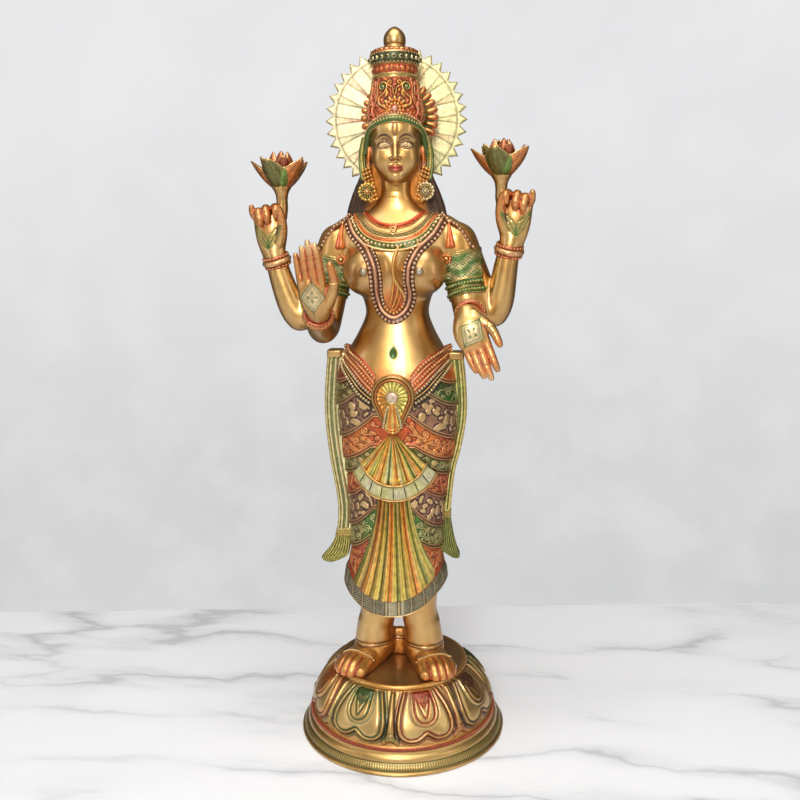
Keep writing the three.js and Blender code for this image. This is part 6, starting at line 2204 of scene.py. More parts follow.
def leaf_design(centre, size):
    """Two veined leaves that spread from one foot, engraved in the palm of a rear hand."""
    def lay(points, normals, coat):
        u, v = points[:, 0] - centre[0], points[:, 2] - centre[1]
        front = smoothstep(-0.2, -0.6, normals[:, 1])
        lines = np.zeros(len(points))
        for side in (-1, 1):
            path = [(0, 0), (side * 0.30 * size, 0.55 * size), (side * 0.72 * size, 1.1 * size)]
            gap = Ornament().stroke(path, leaf(0.16 * size)).distance(u, v)
            middle = Ornament().stroke(path, 0).distance(u, v)
            veins = 0.5 + 0.5 * np.cos((v - side * 0.6 * u) * TAU / 3.0)
            inside = smoothstep(0, -0.5, gap)
            lines += bump_at(gap, 0.3, 0.7) + inside * (0.6 * veins + bump_at(middle, 0, 0.6))
        lines = np.clip(lines, 0, 1) * front
        coat.relief -= 0.36 * lines
        coat.lay(lines, (0.05, 0.20, 0.03), 0.95)
        return lines

    return lay


def hands(materials):
    wrist = [[-76.4, -42, 388, 12.6], [-73.6, -58, 397, 10.4], [-72.5, -62, 402, 10.6]]
    made = hand(BLESSING_PALM, BLESSING_FINGERS, wrist, palm_design((-75, 414.5), 12.5, (0.09, 0.13, 0.04)))
    bracelet(made, (-74.6, -55, 395.0), (0.22, -0.86, 0.50), 13.6, ORANGE, (0.66, 0.09, 0.02), 3.8)
    ring_spot = smooth_path(BLESSING_FINGERS[0], 1.0)[24]
    add_ring(made, ring_spot[:3], (0.05, -0.3, 0.95), ring_spot[3] + 0.3, 1.1, PALE, 0.5, 0.9)
    made.piece("hand_blessing", materials["skin"], 18000)

    wrist = [[79.6, -42, 393.6, 12.9], [80.4, -56, 394, 11.0], [80, -62, 392, 11]]
    made = hand(GIVING_PALM, GIVING_FINGERS, wrist, palm_design((83.5, 379), 12.5, (0.05, 0.15, 0.03), 0.5))
    bracelet(made, (80.2, -51.5, 395), (0.05, -1.0, 0.10), 13.4, (0.84, 0.42, 0.22), (0.74, 0.20, 0.04), 3.8)
    ring_spot = smooth_path(GIVING_FINGERS[0], 1.0)[22]
    add_ring(made, ring_spot[:3], (0.75, -0.3, -0.6), ring_spot[3] + 0.3, 1.1, AMBER, 0.3, 0.9)
    made.piece("hand_giving", materials["skin"], 18000)

    for name, side, x, z, arm in (
        ("hand_rear_right", -1, -134, 454, "rear_right"), ("hand_rear_left", 1, 122, 464, "rear_left"),
    ):
        palm, fingers = holding_rows(side, x, z)
        points = ARM_POINTS[arm]
        start, end = np.array(points[-2], float), np.array(points[-1], float)
        wrist = [lerp(start, end, 0.35).tolist(), (end + [0, 0, 0, 0.3]).tolist()]
        wrist[0][3] += 0.25
        made = hand(palm, fingers, wrist, leaf_design((x + side * 3, z + 9), 21))
        axis = end[:3] - start[:3] + [0, -6, 0]
        bracelet(made, lerp(start, end, 0.62)[:3], axis, 12.4, (0.84, 0.42, 0.22), (0.66, 0.09, 0.02), 5.0)
        made.piece(name, materials["skin"], 17000)


# Head, in its own frame: x is 0 on the face's middle line


HEAD_SECTIONS = [
    [602, 24, 26, 18, 0], [582, 27, 28.2, 24, 0], [568, 26.6, 28.6, 24, 0], [556, 25.2, 28.2, 22.5, 0],
    [546, 22, 27.2, 19.5, 0], [537, 17.6, 26.4, 15.5, 0], [531, 13, 25, 11, 0], [527.5, 8.5, 22, 8, 0],
]
EYE = {"x": 10.6, "y": -23.6, "z": 564.0}
BROW = [(3.6, 569.2), (8.5, 573.0), (14.5, 573.2), (20.5, 569.0)]
LID = [(4.4, 563.0), (7.5, 565.9), (11.5, 566.8), (15.5, 565.4), (18.6, 562.6)]
LOWER_LID = [(4.4, 563.0), (8.0, 561.0), (12.0, 560.6), (15.8, 561.4), (18.6, 562.6)]


def head(materials):
    """The head with its face and ears."""
    field = Field((-40, -37, 522), (40, 28, 600), 0.58)
    field.loft(HEAD_SECTIONS, 0)
    field.ball((0, -19.5, 533.5), (8.5, 8, 6.6), 5)
    field.ball((0, -21, 581), (19, 8.5, 11), 6)
    for side in (-1, 1):
        field.ball((side * 12.5, -16.8, 551), (10, 9.0, 11), 9)
        field.ball((side * EYE["x"], -29.6, EYE["z"] + 0.4), (8.0, 3.6, 4.9), 3.5, cut=True)
        field.ball((side * EYE["x"], EYE["y"] - 0.6, EYE["z"] - 0.3), (7.6, 3.9, 4.4), 0.9)
        lid = [[side * x, -26.6 + 0.028 * (x - 8) ** 2, z, 0.85] for x, z in LID]
        field.chain(lid, 0.7)
        low = [[side * x, -26.6 + 0.030 * (x - 8) ** 2, z, 0.55] for x, z in LOWER_LID]
        field.chain(low, 0.6)
        brow = [[side * x, -27.0 + 0.019 * (x - 3) ** 2, z, 1.15] for x, z in BROW]
        field.limb(brow, 1.6, 3)
        field.ball((side * 3.6, -29.6, 550.6), (2.5, 3.0, 2.2), 1.2)
        field.ball((side * 2.1, -30.9, 549.0), (0.9, 1.4, 0.7), 0.4, cut=True)
        ear = [
            [side * 27, -2, 566, 1.9], [side * 29.8, 1.5, 569.5, 1.8], [side * 31.4, 3.5, 564, 1.9],
            [side * 30.6, 2.0, 555, 1.8], [side * 28.8, -1, 547, 2.2], [side * 28.0, -2, 540, 2.5],
        ]
        field.ball((side * 28.0, 0, 556), (2.6, 6.2, 14), 2.0)
        field.limb(ear, 1.0, 3)
    field.limb([[0, -25.2, 572, 1.9], [0, -28.6, 562, 2.2], [0, -31.6, 553.6, 2.9]], 2.6, 3)
    field.ball((0, -32.2, 551.8), (3.1, 2.9, 2.7), 1.6)
    field.limb([[0, -29.2, 547.4, 1.5], [0, -29.0, 545.6, 1.6]], 1.6, 2)
    upper = [[-7.4, -25.8, 541.6, 0.7], [-3.4, -28.6, 542.9, 1.5], [0, -29.4, 542.3, 1.5],
             [3.4, -28.6, 542.9, 1.5], [7.4, -25.8, 541.6, 0.7]]
    lower = [[-6.4, -26.0, 540.2, 0.7], [-3, -28.4, 539.1, 1.8], [0, -29.0, 538.8, 1.95],
             [3, -28.4, 539.1, 1.8], [6.4, -26.0, 540.2, 0.7]]
    field.limb(upper, 1.1, 2)
    field.limb(lower, 1.1, 2)
    mouth = [[-7.0, -27.2, 541.2, 0.35], [0, -31.2, 540.8, 0.5], [7.0, -27.2, 541.2, 0.35]]
    field.limb(mouth, 0.5, 2, cut=True)
    points, quads = field.surface()
    points = evened(points, quads, 2)
    normals = point_normals(points, quads)
    hollow = cavity(points, quads, normals, 8)
    coat = Coat(len(points), 0.68)
    px, py, pz = points.T
    ax = np.abs(px)
    front = smoothstep(0.2, -0.3, normals[:, 1])
    coat.relief -= 0.16 * smoothstep(0.15, 0.8, hollow)
    brow = Ornament().stroke(BROW, leaf(0.9)).distance(ax, pz)
    under_brow = Ornament().stroke([(x, z - 3.0) for x, z in BROW[:-1]], 0.0).distance(ax, pz)
    lid = Ornament().stroke([(x, z + 0.5) for x, z in LID], leaf(0.35)).distance(ax, pz)
    fold = Ornament().stroke([(x, z + 2.6) for x, z in LID[1:]], 0.0).distance(ax, pz)
    low = Ornament().stroke([(x, z - 0.5) for x, z in LOWER_LID], 0.0).distance(ax, pz)
    iris = np.hypot(ax - EYE["x"] + 0.2, (pz - EYE["z"]) * 1.02)
    open_eye = smoothstep(0.1, -0.1, pz - np.interp(ax, *zip(*LID))) * (
        smoothstep(-0.1, 0.1, pz - np.interp(ax, *zip(*LOWER_LID)))
    )
    marks = smoothstep(0.5, -0.3, brow) + 0.7 * bump_at(under_brow, 0, 0.6) + smoothstep(0.7, 0.0, lid)
    marks += 0.8 * bump_at(fold, 0, 0.6) + 0.9 * bump_at(low, 0, 0.6)
    marks += (bump_at(iris, 2.5, 0.5) + smoothstep(1.4, 0.8, iris)) * open_eye
    marks = np.clip(marks, 0, 1) * front * (py < -13)
    coat.relief -= 0.42 * marks
    coat.lay(open_eye * (iris > 2.5) * (ax > 4.4) * (ax < 18.6) * front, (0.80, 0.66, 0.36), 0.5)
    coat.lay(marks, (0.10, 0.035, 0.012), 0.92)
    lips = smoothstep(1.08, 0.85, np.hypot(px / 7.8, (pz - 540.7) / 3.5)) * front * (py < -24)
    coat.lay(lips, (0.46, 0.04, 0.02), 0.85)
    coat.relief -= 0.12 * lips
    drop = np.hypot(ax / lerp(2.6, 1.0, np.clip((pz - 578) / 12, 0, 1)), (pz - 581.5) / 8.0)
    line = bump_at(drop, 1.0, 0.30) * front * (py < -15)
    coat.relief -= 0.35 * line
    coat.lay(line, (0.20, 0.07, 0.02), 0.9)
    coat.lay(smoothstep(0.8, 0.5, drop) * front, (0.80, 0.34, 0.06), 0.6)
    sides = smoothstep(24.5, 27, ax) * (pz < 574) * (pz > 536)
    coat.lay(sides, ORANGE, 0.9)
    coat.lay(sides * smoothstep(552, 544, pz), (0.82, 0.42, 0.26), 0.6)
    # Painted shade: the underside of the jaw, away from the front, is laid with a darker orange brown.
    coat.lay(smoothstep(538, 527, pz) * (1 - front), (0.55, 0.20, 0.04), 0.5)
    points = engraved(points, normals, marks + line, 0.4)
    build = Build().add(to_head_frame(points), [quads], coat)
    build.piece("head", materials["skin"], 78000)


HAIR = [
    [592, 22, 2, 17, 0], [565, 31, 2, 18.5, 0], [538, 37, 3, 19, 0], [517, 46, 2, 19.5, 0],
    [497, 52, 2, 29, 0], [472, 49, 5, 37, 0], [440, 36, 5, 38, 0], [402, 14, 2, 32, 0],
]
HAIR_LOCKS = 17


def hair(materials):
    """The hair down the back, in locks of fine strands."""
    columns, rows = 260, 80
    angle = ring_angles(columns)
    z = np.linspace(592, 402, rows)[:, None] * np.ones_like(angle)
    wave = angle + 0.05 * np.sin(z / 13) * np.sin(angle)
    lock = np.abs(np.sin(wave * HAIR_LOCKS / 2)) ** 0.6
    strand = 0.5 + 0.5 * np.cos(wave * HAIR_LOCKS * 7 + 0.8 * np.sin(z / 9))
    back = smoothstep(0.8, 0.5, np.cos(angle)) * np.ones_like(z)
    grow = (1.5 * lock - 1.0 + 0.45 * strand) * back
    surface = section_points(HAIR, np.broadcast_to(angle, z.shape), z)
    way = xyz(np.sin(angle), -np.cos(angle) * 0.9, 0)
    surface = surface + way * grow[..., None]
    tip = np.abs(np.sin(wave[0] * HAIR_LOCKS / 2))
    surface[-8:, :, 2] -= np.linspace(0, 3.5, 8)[:, None] * tip
    surface[..., 2] = np.maximum(surface[..., 2], 402)
    coat = Coat(z.size)
    coat.polish(0.16 + 0.42 * lock * strand, 0.04, 0.7)
    coat.lay(1, (0.022, 0.008, 0.005), 1.0)
    coat.lay(strand * lock * back, (0.13, 0.055, 0.03), 0.5)
    inner = smoothstep(35, 27, np.abs(surface[..., 0])) * smoothstep(0.5, 0.8, np.cos(angle))
    inner = inner * smoothstep(486, 500, z)
    coat.lay(inner, (0.76, 0.26, 0.03), 0.9)
    build = Build()
    add_surface(build, surface, coat)
    build.piece("hair", materials["enamel"], 22000)


CROWN = [
    (26.5, 586), (28.5, 587.4), (29.4, 589), (29.8, 592), (30, 597), (28.6, 603), (26.4, 612), (24.4, 622),
    (22.8, 629.5), (22.5, 632), (21.6, 633.6), (21.2, 635), (22.2, 636.5), (22.6, 639), (22.4, 641.5),
    (23.4, 643), (24.6, 644.2), (25.0, 646), (25.3, 649), (25.2, 652.4), (24.2, 654.6), (23, 657.2),
    (20, 659.4), (15.5, 660.6), (11.4, 661.2), (11.0, 662), (11.0, 663.4), (10.3, 663.9), (10.3, 664.4),
    (11.0, 665), (11.3, 667), (11.3, 670), (10.8, 672.6), (9.6, 675.2), (7.6, 677.8), (5.0, 680),
    (2.8, 681.4), (1.2, 682),
]


ROSETTE_Z = 598.5


def crown_pattern():
    """Scrolls and rays at the crown's front, foliage round its sides, on a plane of mm round and mm up."""
    pattern = Ornament()
    for side in (-1, 1):
        start = 225 if side > 0 else 315
        pattern.spiral((side * 13.0, 621), 5.4, start, side * -1.5, 0.75,
                       [(side * 8.5, 600), (side * 14.8, 604), (side * 15.6, 610), (side * 10.6, 614.5)])
        pattern.spiral((side * 4.6, 624.6), 3.4, 270, side * 1.1, 0.5, [(side * 1.2, 613), (side * 2.0, 619)])
        edge = [(side * s, z) for s, z in ((18.6, 630), (20.4, 622), (18.8, 612), (20.2, 602))]
        pattern.stroke(edge, leaf(1.2))
        pattern.stroke([(side * 9.5, 610.5), (side * 7.4, 614), (side * 8.4, 617.6)], leaf(0.8))
        for i in range(7):
            for k, z in enumerate((595, 605, 615, 625)):
                s = side * (25 + 7.6 * i + 2.4 * (k % 2))
                tail = [(s - side * 4.2, z - 6.5), (s - side * 4.4, z - 2)]
                pattern.spiral((s, z), 3.1, 180 if side > 0 else 0, side * -1.25, 0.5, tail)
                frond = [(s + side * 3.4, z - 3), (s + side * 4.6, z + 1), (s + side * 3.6, z + 4)]
                pattern.stroke(frond, leaf(0.9))
    for i in range(-3, 4):
        turn = math.radians(90 - 24 * i)
        ends = [(reach * math.cos(turn), ROSETTE_Z + reach * math.sin(turn)) for reach in (8.6, 11, 13)]
        pattern.stroke(ends, leaf(0.9))
    return pattern


# Rings of petals round the crown's front flower: radius, number, size and colour
FLOWER_RINGS = [(8.4, 15, 2.0, (0.76, 0.20, 0.03)), (5.4, 10, 1.7, (0.86, 0.42, 0.10))]


def upright_ring(centre, radius, count, behind=0.0, offset=0.0):
    """Places round an upright ring that faces forward, that far behind its centre."""
    turn = (np.arange(count) + offset) / count * TAU
    return centre + xyz(radius * np.cos(turn), behind, radius * np.sin(turn))


def crown(materials):
    """The crown: its engraved cone, tiers, bead rings and front flower."""
    columns = 420
    rows = smooth_path([(r, 0, z) for r, z in CROWN], 0.62)
    z = rows[:, 2:3] * np.ones((1, columns))
    base_radius = rows[:, 0:1]
    angle = np.linspace(-math.pi, math.pi, columns, endpoint=False)[None, :] * np.ones_like(z)
    arc = angle * 25
    cone = smoothstep(589, 590.5, z) * smoothstep(630.6, 629.4, z)
    gap = crown_pattern().distance(arc, z)
    stroke = smoothstep(0.45, -0.35, gap) * cone
    groove = bump_at(gap, 0.9, 0.6) * cone
    rings = sum(bump_at(z, at, 0.55) for at in (630.6, 632.4, 634.0, 643.4, 654.4, 657.6))
    turned = angle / TAU + 0.5
    beading = flutes(turned * 24, 1, 0.7) * bump_at(z, 638.8, 2.6)
    dome_bumps = flutes(turned * 26, 1, 0.8) * smoothstep(655.6, 656.6, z) * smoothstep(661, 659, z)
    bosses = flutes(arc / 4.6 + 0.5 * np.sin(z * 0.7), 1, 1)
    bosses = bosses * flutes(z / 5.4 + 0.35 * np.sin(arc * 0.5), 1, 1)
    bosses = smoothstep(0.35, 0.8, bosses) * smoothstep(1.0, 1.8, gap) * cone
    lift = 1.4 * stroke + 0.7 * bosses - 0.8 * groove + 0.55 * rings + 1.2 * beading + 1.0 * dome_bumps
    lift -= 0.5 * cone
    radius = base_radius + lift * np.clip(base_radius / 20, 0.2, 1)
    surface = about_axis(radius, angle, z)
    coat = Coat(z.size)
    shine = 0.5 + 0.38 * stroke - 0.36 * groove + 0.3 * rings + 0.25 * beading + 0.25 * dome_bumps
    shine -= 0.1 * cone
    shine += 0.18 * smoothstep(663, 665, z)
    coat.polish(shine, 0.04, 0.95)
    far = smoothstep(16, 34, np.abs(arc))
    coat.lay(cone, (0.44, 0.045, 0.012), 0.95)
    coat.lay(cone * far, (0.34, 0.05, 0.03), 0.6)
    coat.lay(cone * (0.5 + 0.5 * np.sin(arc * 0.55 + z * 0.2)) * (1 - stroke), ORANGE, 0.45)
    near = smoothstep(19, 15, np.abs(arc))
    coat.lay(stroke * near, (0.90, 0.54, 0.08), 0.75)
    coat.lay(bosses, (0.88, 0.40, 0.07), 0.75)
    coat.lay(stroke * far, (0.82, 0.40, 0.12), 0.55)
    eyes = np.hypot(np.abs(arc) - 13.0, z - 621)
    coat.lay(smoothstep(3.6, 3.0, eyes) * cone, (0.05, 0.20, 0.03), 0.95)
    coat.lay(smoothstep(1.7, 1.2, eyes) * cone, PALE, 0.8)
    coat.lay(smoothstep(631, 631.6, z) * smoothstep(634.4, 634, z), OLIVE, 0.95)
    coat.lay(smoothstep(634.6, 635.6, z) * smoothstep(643, 642, z), (0.50, 0.05, 0.02), 0.95)
    coat.lay(beading, AMBER, 0.45)
    coat.lay(smoothstep(643.6, 644.4, z) * smoothstep(654.6, 654, z), (0.02, 0.045, 0.02), 0.95)
    coat.lay(smoothstep(654.8, 655.8, z) * smoothstep(661.5, 659.5, z), (0.52, 0.06, 0.02), 0.9)
    coat.lay(dome_bumps, AMBER, 0.4)
    coat.lay(bump_at(z, 664.1, 0.7), BROWN, 0.7)
    build = Build()
    points, faces = capped(surface)
    build.add(to_head_frame(points), outward(points, faces), end_coat(coat, surface, (True, True)))

    def ring_of(count, radius_at, z_at, size, colour, strength, shine_of=0.8, offset=0.0, span=TAU):
        turn = (np.arange(count) + offset) / count * span - (span / 2 if span < TAU else 0)
        add_beads(build, to_head_frame(about_axis(radius_at, turn, z_at)), size, colour, strength, shine_of)

    ring_of(24, 24.5, 649.2, 2.6, (0.60, 0.66, 0.36), 0.8, 0.75)
    ring_of(24, 26.7, 649.2, 1.25, INK, 0.98, 0.2)
    ring_of(40, 24.4, 644.6, 1.0, OLIVE, 0.6, 0.8)
    ring_of(40, 24.6, 653.6, 1.0, OLIVE, 0.6, 0.8)
    ring_of(44, 22.4, 632.8, 1.1, (0.36, 0.34, 0.08), 0.8, 0.7)
    flower = to_head_frame([(0, -30.0, ROSETTE_Z)])[0]
    for radius, count, size, colour in FLOWER_RINGS:
        spots = upright_ring(flower, radius, count, 0.16 * radius, 0.5)
        add_beads(build, spots, size, colour, 0.85, 0.68)
    add_beads(build, [flower + [0, 0.6, 0]], 3.6, (0.78, 0.36, 0.28), 0.85, 0.62)
    build.piece("crown", materials["enamel"], 74000)


DIADEM = [(-30, 4, 556), (-29.8, -4, 567), (-25.4, -16.5, 580.5), (-13.5, -26.8, 587), (0, -30.2, 589.3)]


SIDE_STRAND = [(31.5, 0, 575), (34.6, 0.5, 562), (35.4, 1, 550), (33.4, -2, 531)]
STRAND_GREEN = (0.03, 0.12, 0.02)


def diadem_and_ears(materials):
    """The band round the brow with its pearls, the side strands and the ear discs."""
    path = [*DIADEM, *[(-x, y, z) for x, y, z in DIADEM[::-1][1:]]]
    rows = smooth_path(path, 1.2)
    out = rows * [1, 1, 0]
    out = unit(out)
    build = Build()
    add_tube(build, to_head_frame(rows), 3.5, 12, tint=(0.04, 0.15, 0.03), amount=0.92, relief=0.45)
    for step, size, colour in ((3.3, 0.9, AMBER), (-3.3, 0.9, AMBER)):
        line = rows + [0, 0, step] + out * 0.9
        add_tube(build, to_head_frame(line), size, 6, tint=colour, amount=0.35)
    spots = smooth_path(path, 3.0)
    way = spots * [1, 1, 0]
    way = unit(way)
    add_beads(build, to_head_frame(spots + way * 3.1 + [0, 0, 0.5]), 1.2, (0.50, 0.62, 0.26), 0.6, 0.8)
    row = [(x * 1.01, y, z + 5.4) for x, y, z in path[2:-2]]
    spots = smooth_path(row, 3.2)
    add_beads(build, to_head_frame(spots), 1.6, (0.80, 0.40, 0.26), 0.85, 0.7)
    for side in (-1, 1):
        for k in range(9):
            petal = np.array([side * (28.0 - 1.0 * k), -8.0 - 0.9 * k, 543 - 3.9 * k])
            row = [petal + [side * 3.1 * j, 1.5 * j, -1.2 * j] for j in range(3)]
            add_beads(build, to_head_frame(row), 1.9, (0.80, 0.30, 0.05) if k % 2 else AMBER, 0.85, 0.66)
        strand = [(side * x, y, z) for x, y, z in SIDE_STRAND]
        for shift, size, colour in ((0, 1.9, LIME), (3.0, 1.5, STRAND_GREEN), (-3.0, 1.3, STRAND_GREEN)):
            line = smooth_path([(x + side * shift * 0.8, y + shift * 0.5, z) for x, y, z in strand], 1.5)
            add_tube(build, to_head_frame(line), size, 8, tint=colour, amount=0.85, relief=0.6)
        spots = smooth_path([(x, y - 1.6, z) for x, y, z in strand], 2.6)
        add_beads(build, to_head_frame(spots), 1.0, YELLOW, 0.5, 0.85)
        centre = np.array([side * 30, -11.5, 519])
        colour, second = ((0.04, 0.20, 0.04), (0.84, 0.36, 0.05)) if side < 0 else (OLIVE, SILVER)
        add_tube(build, to_head_frame([centre + [0, 18, 0], centre + [0, 8, 0], centre + [0, 1.6, 0],
                                       centre + [0, 0.0, 0]]), [6.5, 7.6, 9.4, 9.0], 28, facing=(0, 0, 1),
                 tint=second, amount=0.4, relief=0.5)
        rings = ((14, 8.0, 0.4, 2.0, YELLOW if side < 0 else PALE), (12, 5.2, -1.0, 1.5, colour),
                 (8, 2.9, -1.8, 1.1, second))
        for count, radius, behind, size, paint in rings:
            petals = upright_ring(centre, radius, count, behind)
            add_beads(build, to_head_frame(petals), size, paint, 0.75, 0.7)
        add_beads(build, to_head_frame([centre + [0, -2.0, 0]]), 2.3, PALE, 0.5, 0.8)
    build.piece("diadem_and_earrings", materials["enamel"])


WHEEL_LOBES = 30
WHEEL_SHIFT = 3.9


def small_wheel(materials):
    """The lobed wheel behind the crown, with the boss, pin and rivet that hold the halo."""
    build = Build()

    def disc(path, radii, sides, shift=0.0, **paint):
        path = to_head_frame(np.array(path) + [shift, 0, 0])
        add_tube(build, path, radii, sides, facing=(0, 0, 1), **paint)

    z = HALO_CENTRE_Z
    disc([(0, y, z) for y in (17.6, 17, 13.4, 12.8)], [34.5, 35.5, 35.5, 34.5], 64, WHEEL_SHIFT,
         tint=(0.03, 0.14, 0.03), amount=0.95, relief=0.3)
    for i in range(WHEEL_LOBES):
        turn = TAU * (i + 0.5) / WHEEL_LOBES
        way = np.array([math.sin(turn), 0, math.cos(turn)])
        ends = [np.array([0, 14.6, z]) + way * reach for reach in (24, 26, 31, 36, 39.6, 40.6)]
        disc(ends, [0.8, 2.4, 3.1, 3.4, 2.8, 0.9], 12, WHEEL_SHIFT,
             tint=(0.66, 0.10, 0.02), amount=0.85, relief=0.6)
        line = [end + [0, -2.3, 0] for end in ends[1:5]]
        disc(line, [1.0, 1.6, 1.7, 0.8], 8, WHEEL_SHIFT, tint=(0.86, 0.50, 0.08), amount=0.6, relief=0.8)
    disc([(0, y, z) for y in (12, 24, 30.9)], [8.2, 7.6, 7.4], 24, relief=0.6)
    disc([(0, y, z) for y in (30, 34.2)], [3.9, 3.9], 20, relief=0.6)
    disc([(0, y, z) for y in (34.2, 35.2, 36.4, 37.0)], [7.3, 6.9, 5.2, 2.6], 24, relief=0.75)
    build.piece("small_wheel", materials["enamel"])


LOTUSES = ((-1, -122, 527), (1, 109.5, 534))


def petal_leaf(turn, profile, half, cup, colours, thick=1.1):
    """A petal as a curved leaf with thickness. profile is its middle line as [out, up] points."""
    long, wide = 30, 17
    line = smooth_path([(r, h, 0) for r, h in profile], 0.5)
    line = line[np.linspace(0, len(line) - 1, long).astype(int), :2]
    t = np.linspace(0, 1, long)[:, None]
    s = np.linspace(-1, 1, wide)[None, :]
    width = half * np.clip(np.sin(np.clip(t * 0.93 + 0.05, 0, 1) * math.pi) ** 0.75, 0, 1)
    width = width + 0.12 * half * (1 - t)
    tangent = np.gradient(line, axis=0)
    tangent = unit(tangent)
    normal = np.stack([-tangent[:, 1], tangent[:, 0]], axis=1)
    rise = cup * s**2 * width / half
    rib = 0.28 * np.cos(s * 5.5 * math.pi) * np.sin(t * math.pi)
    across = s * width
    shells = []
    for shift in (0.5, -0.5):
        depth = rise + shift * thick * (1 - 0.6 * s**4) + (rib if shift < 0 else -rib)
        out = line[:, :1] + normal[:, :1] * depth
        up = line[:, 1:2] + normal[:, 1:2] * depth
        bend = out * np.cos(across / np.maximum(out, 6))
        side = out * np.sin(across / np.maximum(out, 6)) * 0.4 + across * 0.6
        shells.append(xyz(side, -bend, up))
    inner, outer = shells
    ring = np.concatenate([outer, inner[:, ::-1]], axis=1)
    cos, sin = math.cos(turn), math.sin(turn)
    x, y = ring[..., 0] * cos - ring[..., 1] * sin, ring[..., 0] * sin + ring[..., 1] * cos
    surface = xyz(x, y, ring[..., 2])
    coat = Coat(x.size)
    whole_s = np.concatenate([s, s[:, ::-1]], axis=1) * np.ones_like(t)
    whole_t = t * np.ones_like(whole_s)
    is_inner = np.concatenate([np.zeros(wide), np.ones(wide)])[None, :] * np.ones_like(t)
    streak = 0.5 + 0.5 * np.cos(whole_s * 5.5 * math.pi)
    edge = smoothstep(0.80, 0.95, np.abs(whole_s)) + smoothstep(0.93, 1.0, whole_t)
    edge = np.clip(edge, 0, 1)
    coat.polish(0.34 + 0.26 * streak + 0.4 * edge)
    coat.lay(1 - is_inner, colours[0], 0.85)
    coat.lay(is_inner, colours[1], 0.7)
    coat.lay((1 - streak) * (1 - edge), (0.10, 0.04, 0.015), 0.55)
    coat.lay(edge, (0.84, 0.52, 0.24), 0.6)
    return surface, coat


def lotus(materials, side, x, z):
    build = Build()
    place = np.array([x, -3, z])

    def put(surface, coat):
        add_surface(build, surface + place, coat)

    outer = [(5.5, -3.0), (12, 1.0), (19.0, 8.0), (25.8, 17.0), (31.4, 26.5)]
    middle = [(5, -1), (11, 4.5), (16.4, 12.5), (20.5, 21.6), (23.4, 30.0)]
    lobe = [(2, 0), (9.6, 8), (12.4, 18), (11.4, 27), (7.0, 35.4)]
    orange, red = (0.78, 0.24, 0.05), (0.50, 0.07, 0.03)
    paints = [((0.12, 0.17, 0.03), OLIVE), (orange, AMBER), (OLIVE, orange), (RED, orange), (orange, AMBER)]
    lean = -0.22
    for i, colours in enumerate(paints):
        turn = lean + i * TAU / 5
        put(*petal_leaf(turn, outer, 15.0, 4.2, colours))
        put(*petal_leaf(turn + TAU / 10, middle, 10.5, 3.2, (red, ORANGE) if i < 2 else (OLIVE, RED)))
    small = [(6.0, -2.5), (13.5, 2.0), (19.5, 9.5), (23.0, 19.0)]
    put(*petal_leaf(0.42, small, 6.4, 1.8, ((0.12, 0.36, 0.05), GREEN)))
    for i in range(4):
        put(*petal_leaf(i * TAU / 4 + 0.35, lobe, 9.4, 5.5, ((0.66, 0.15, 0.05), ORANGE), 2.4))
    drops = ((-54, 6), (-42, 4), (-31.6, 1.5), (-22, 0), (-14, 0), (-8.5, 0), (-4.5, 0), (-1.5, 0), (2, 0))
    stalk = [place + [side * shift, 0, h] for h, shift in drops]
    add_tube(build, stalk, [4.0, 5.6, 6.4, 6.2, 6.0, 6.6, 8.2, 10.2, 11.4], 26, relief=0.72)
    name = "lotus_left" if side > 0 else "lotus_right"
    build.piece(name, materials["enamel"], 18000)


# Jewellery on the chest and arms


def front_hit(tree, x, z):
    """The first place of the body met from the front."""
    return tree.ray_cast(Vector((x, -120, z)), Vector((0, 1, 0)))[0]


def chest_path(tree, points, spacing, over=0.0):
    """A smooth line of [x, z] points laid on the chest, over mm in front of it."""
    made = []
    for x, z in flat_path(points, spacing):
        hit = front_hit(tree, x, z)
        if hit:
            made.append((x, hit.y - over, z))
    return np.array(made)


def whole_string(half):
    """A line of the right half's points and their mirror image."""
    return [*[(-x, z) for x, z in half], *half[::-1][1:]]


COLLAR_INNER = [(31, 499), (24, 493), (14, 487), (0, 484.5)]
COLLAR_OUTER = [(52, 495), (45, 484), (37.5, 472.5), (23, 463.5), (0, 459.8)]
# Each ring of the collar: share from its inner edge, radius, beads or a line, colour and strength.
COLLAR_STRINGS = [
    (0.0, 1.8, False, (0.62, 0.07, 0.015), 1.0), (0.10, 1.3, True, (0.74, 0.17, 0.03), 0.95),
    (0.33, 0.7, False, AMBER, 0.3), (0.43, 1.2, True, OLIVE, 0.7),
    (0.53, 0.7, False, ROSE, 0.6), (0.61, 1.3, True, ORANGE, 0.85), (0.70, 0.7, False, ROSE, 0.7),
    (0.84, 2.15, True, PALE, 0.6), (1.02, 1.5, False, (0.84, 0.44, 0.26), 0.6),
]
GARLAND = [
    (49.5, 492), (47, 487), (41, 476), (27.6, 462), (18.8, 446), (16.6, 430), (17, 413), (12.1, 398.2),
    (0, 390.3),
]
CORD = [(6, 464), (3.4, 457), (0.8, 449), (0, 438), (1.4, 430), (5, 423.5), (9, 418), (12, 410)]
FAN = [
    ([(0.4, 430), (0.1, 424.5), (-1, 416.2), (-4, 400.6)], AMBER),
    ([(4.7, 422.6), (3.6, 413.5), (-1.2, 400.6)], AMBER),
    ([(2.6, 424), (1.4, 414), (-3.0, 402)], RED), ([(7.6, 419), (6.6, 410), (2.0, 399.5)], ORANGE),
    ([(11, 411), (9.6, 405), (5.6, 400)], RED),
]


def beside(path, shift):
    """Places beside a line on the chest, as [x, z], shift mm to its outer side."""
    tangent = np.gradient(path, axis=0)
    tangent = unit(tangent)
    side = np.cross(tangent, (0, -1, 0))
    side = unit(side)
    return [(p[0], p[2]) for p in path + side * shift]


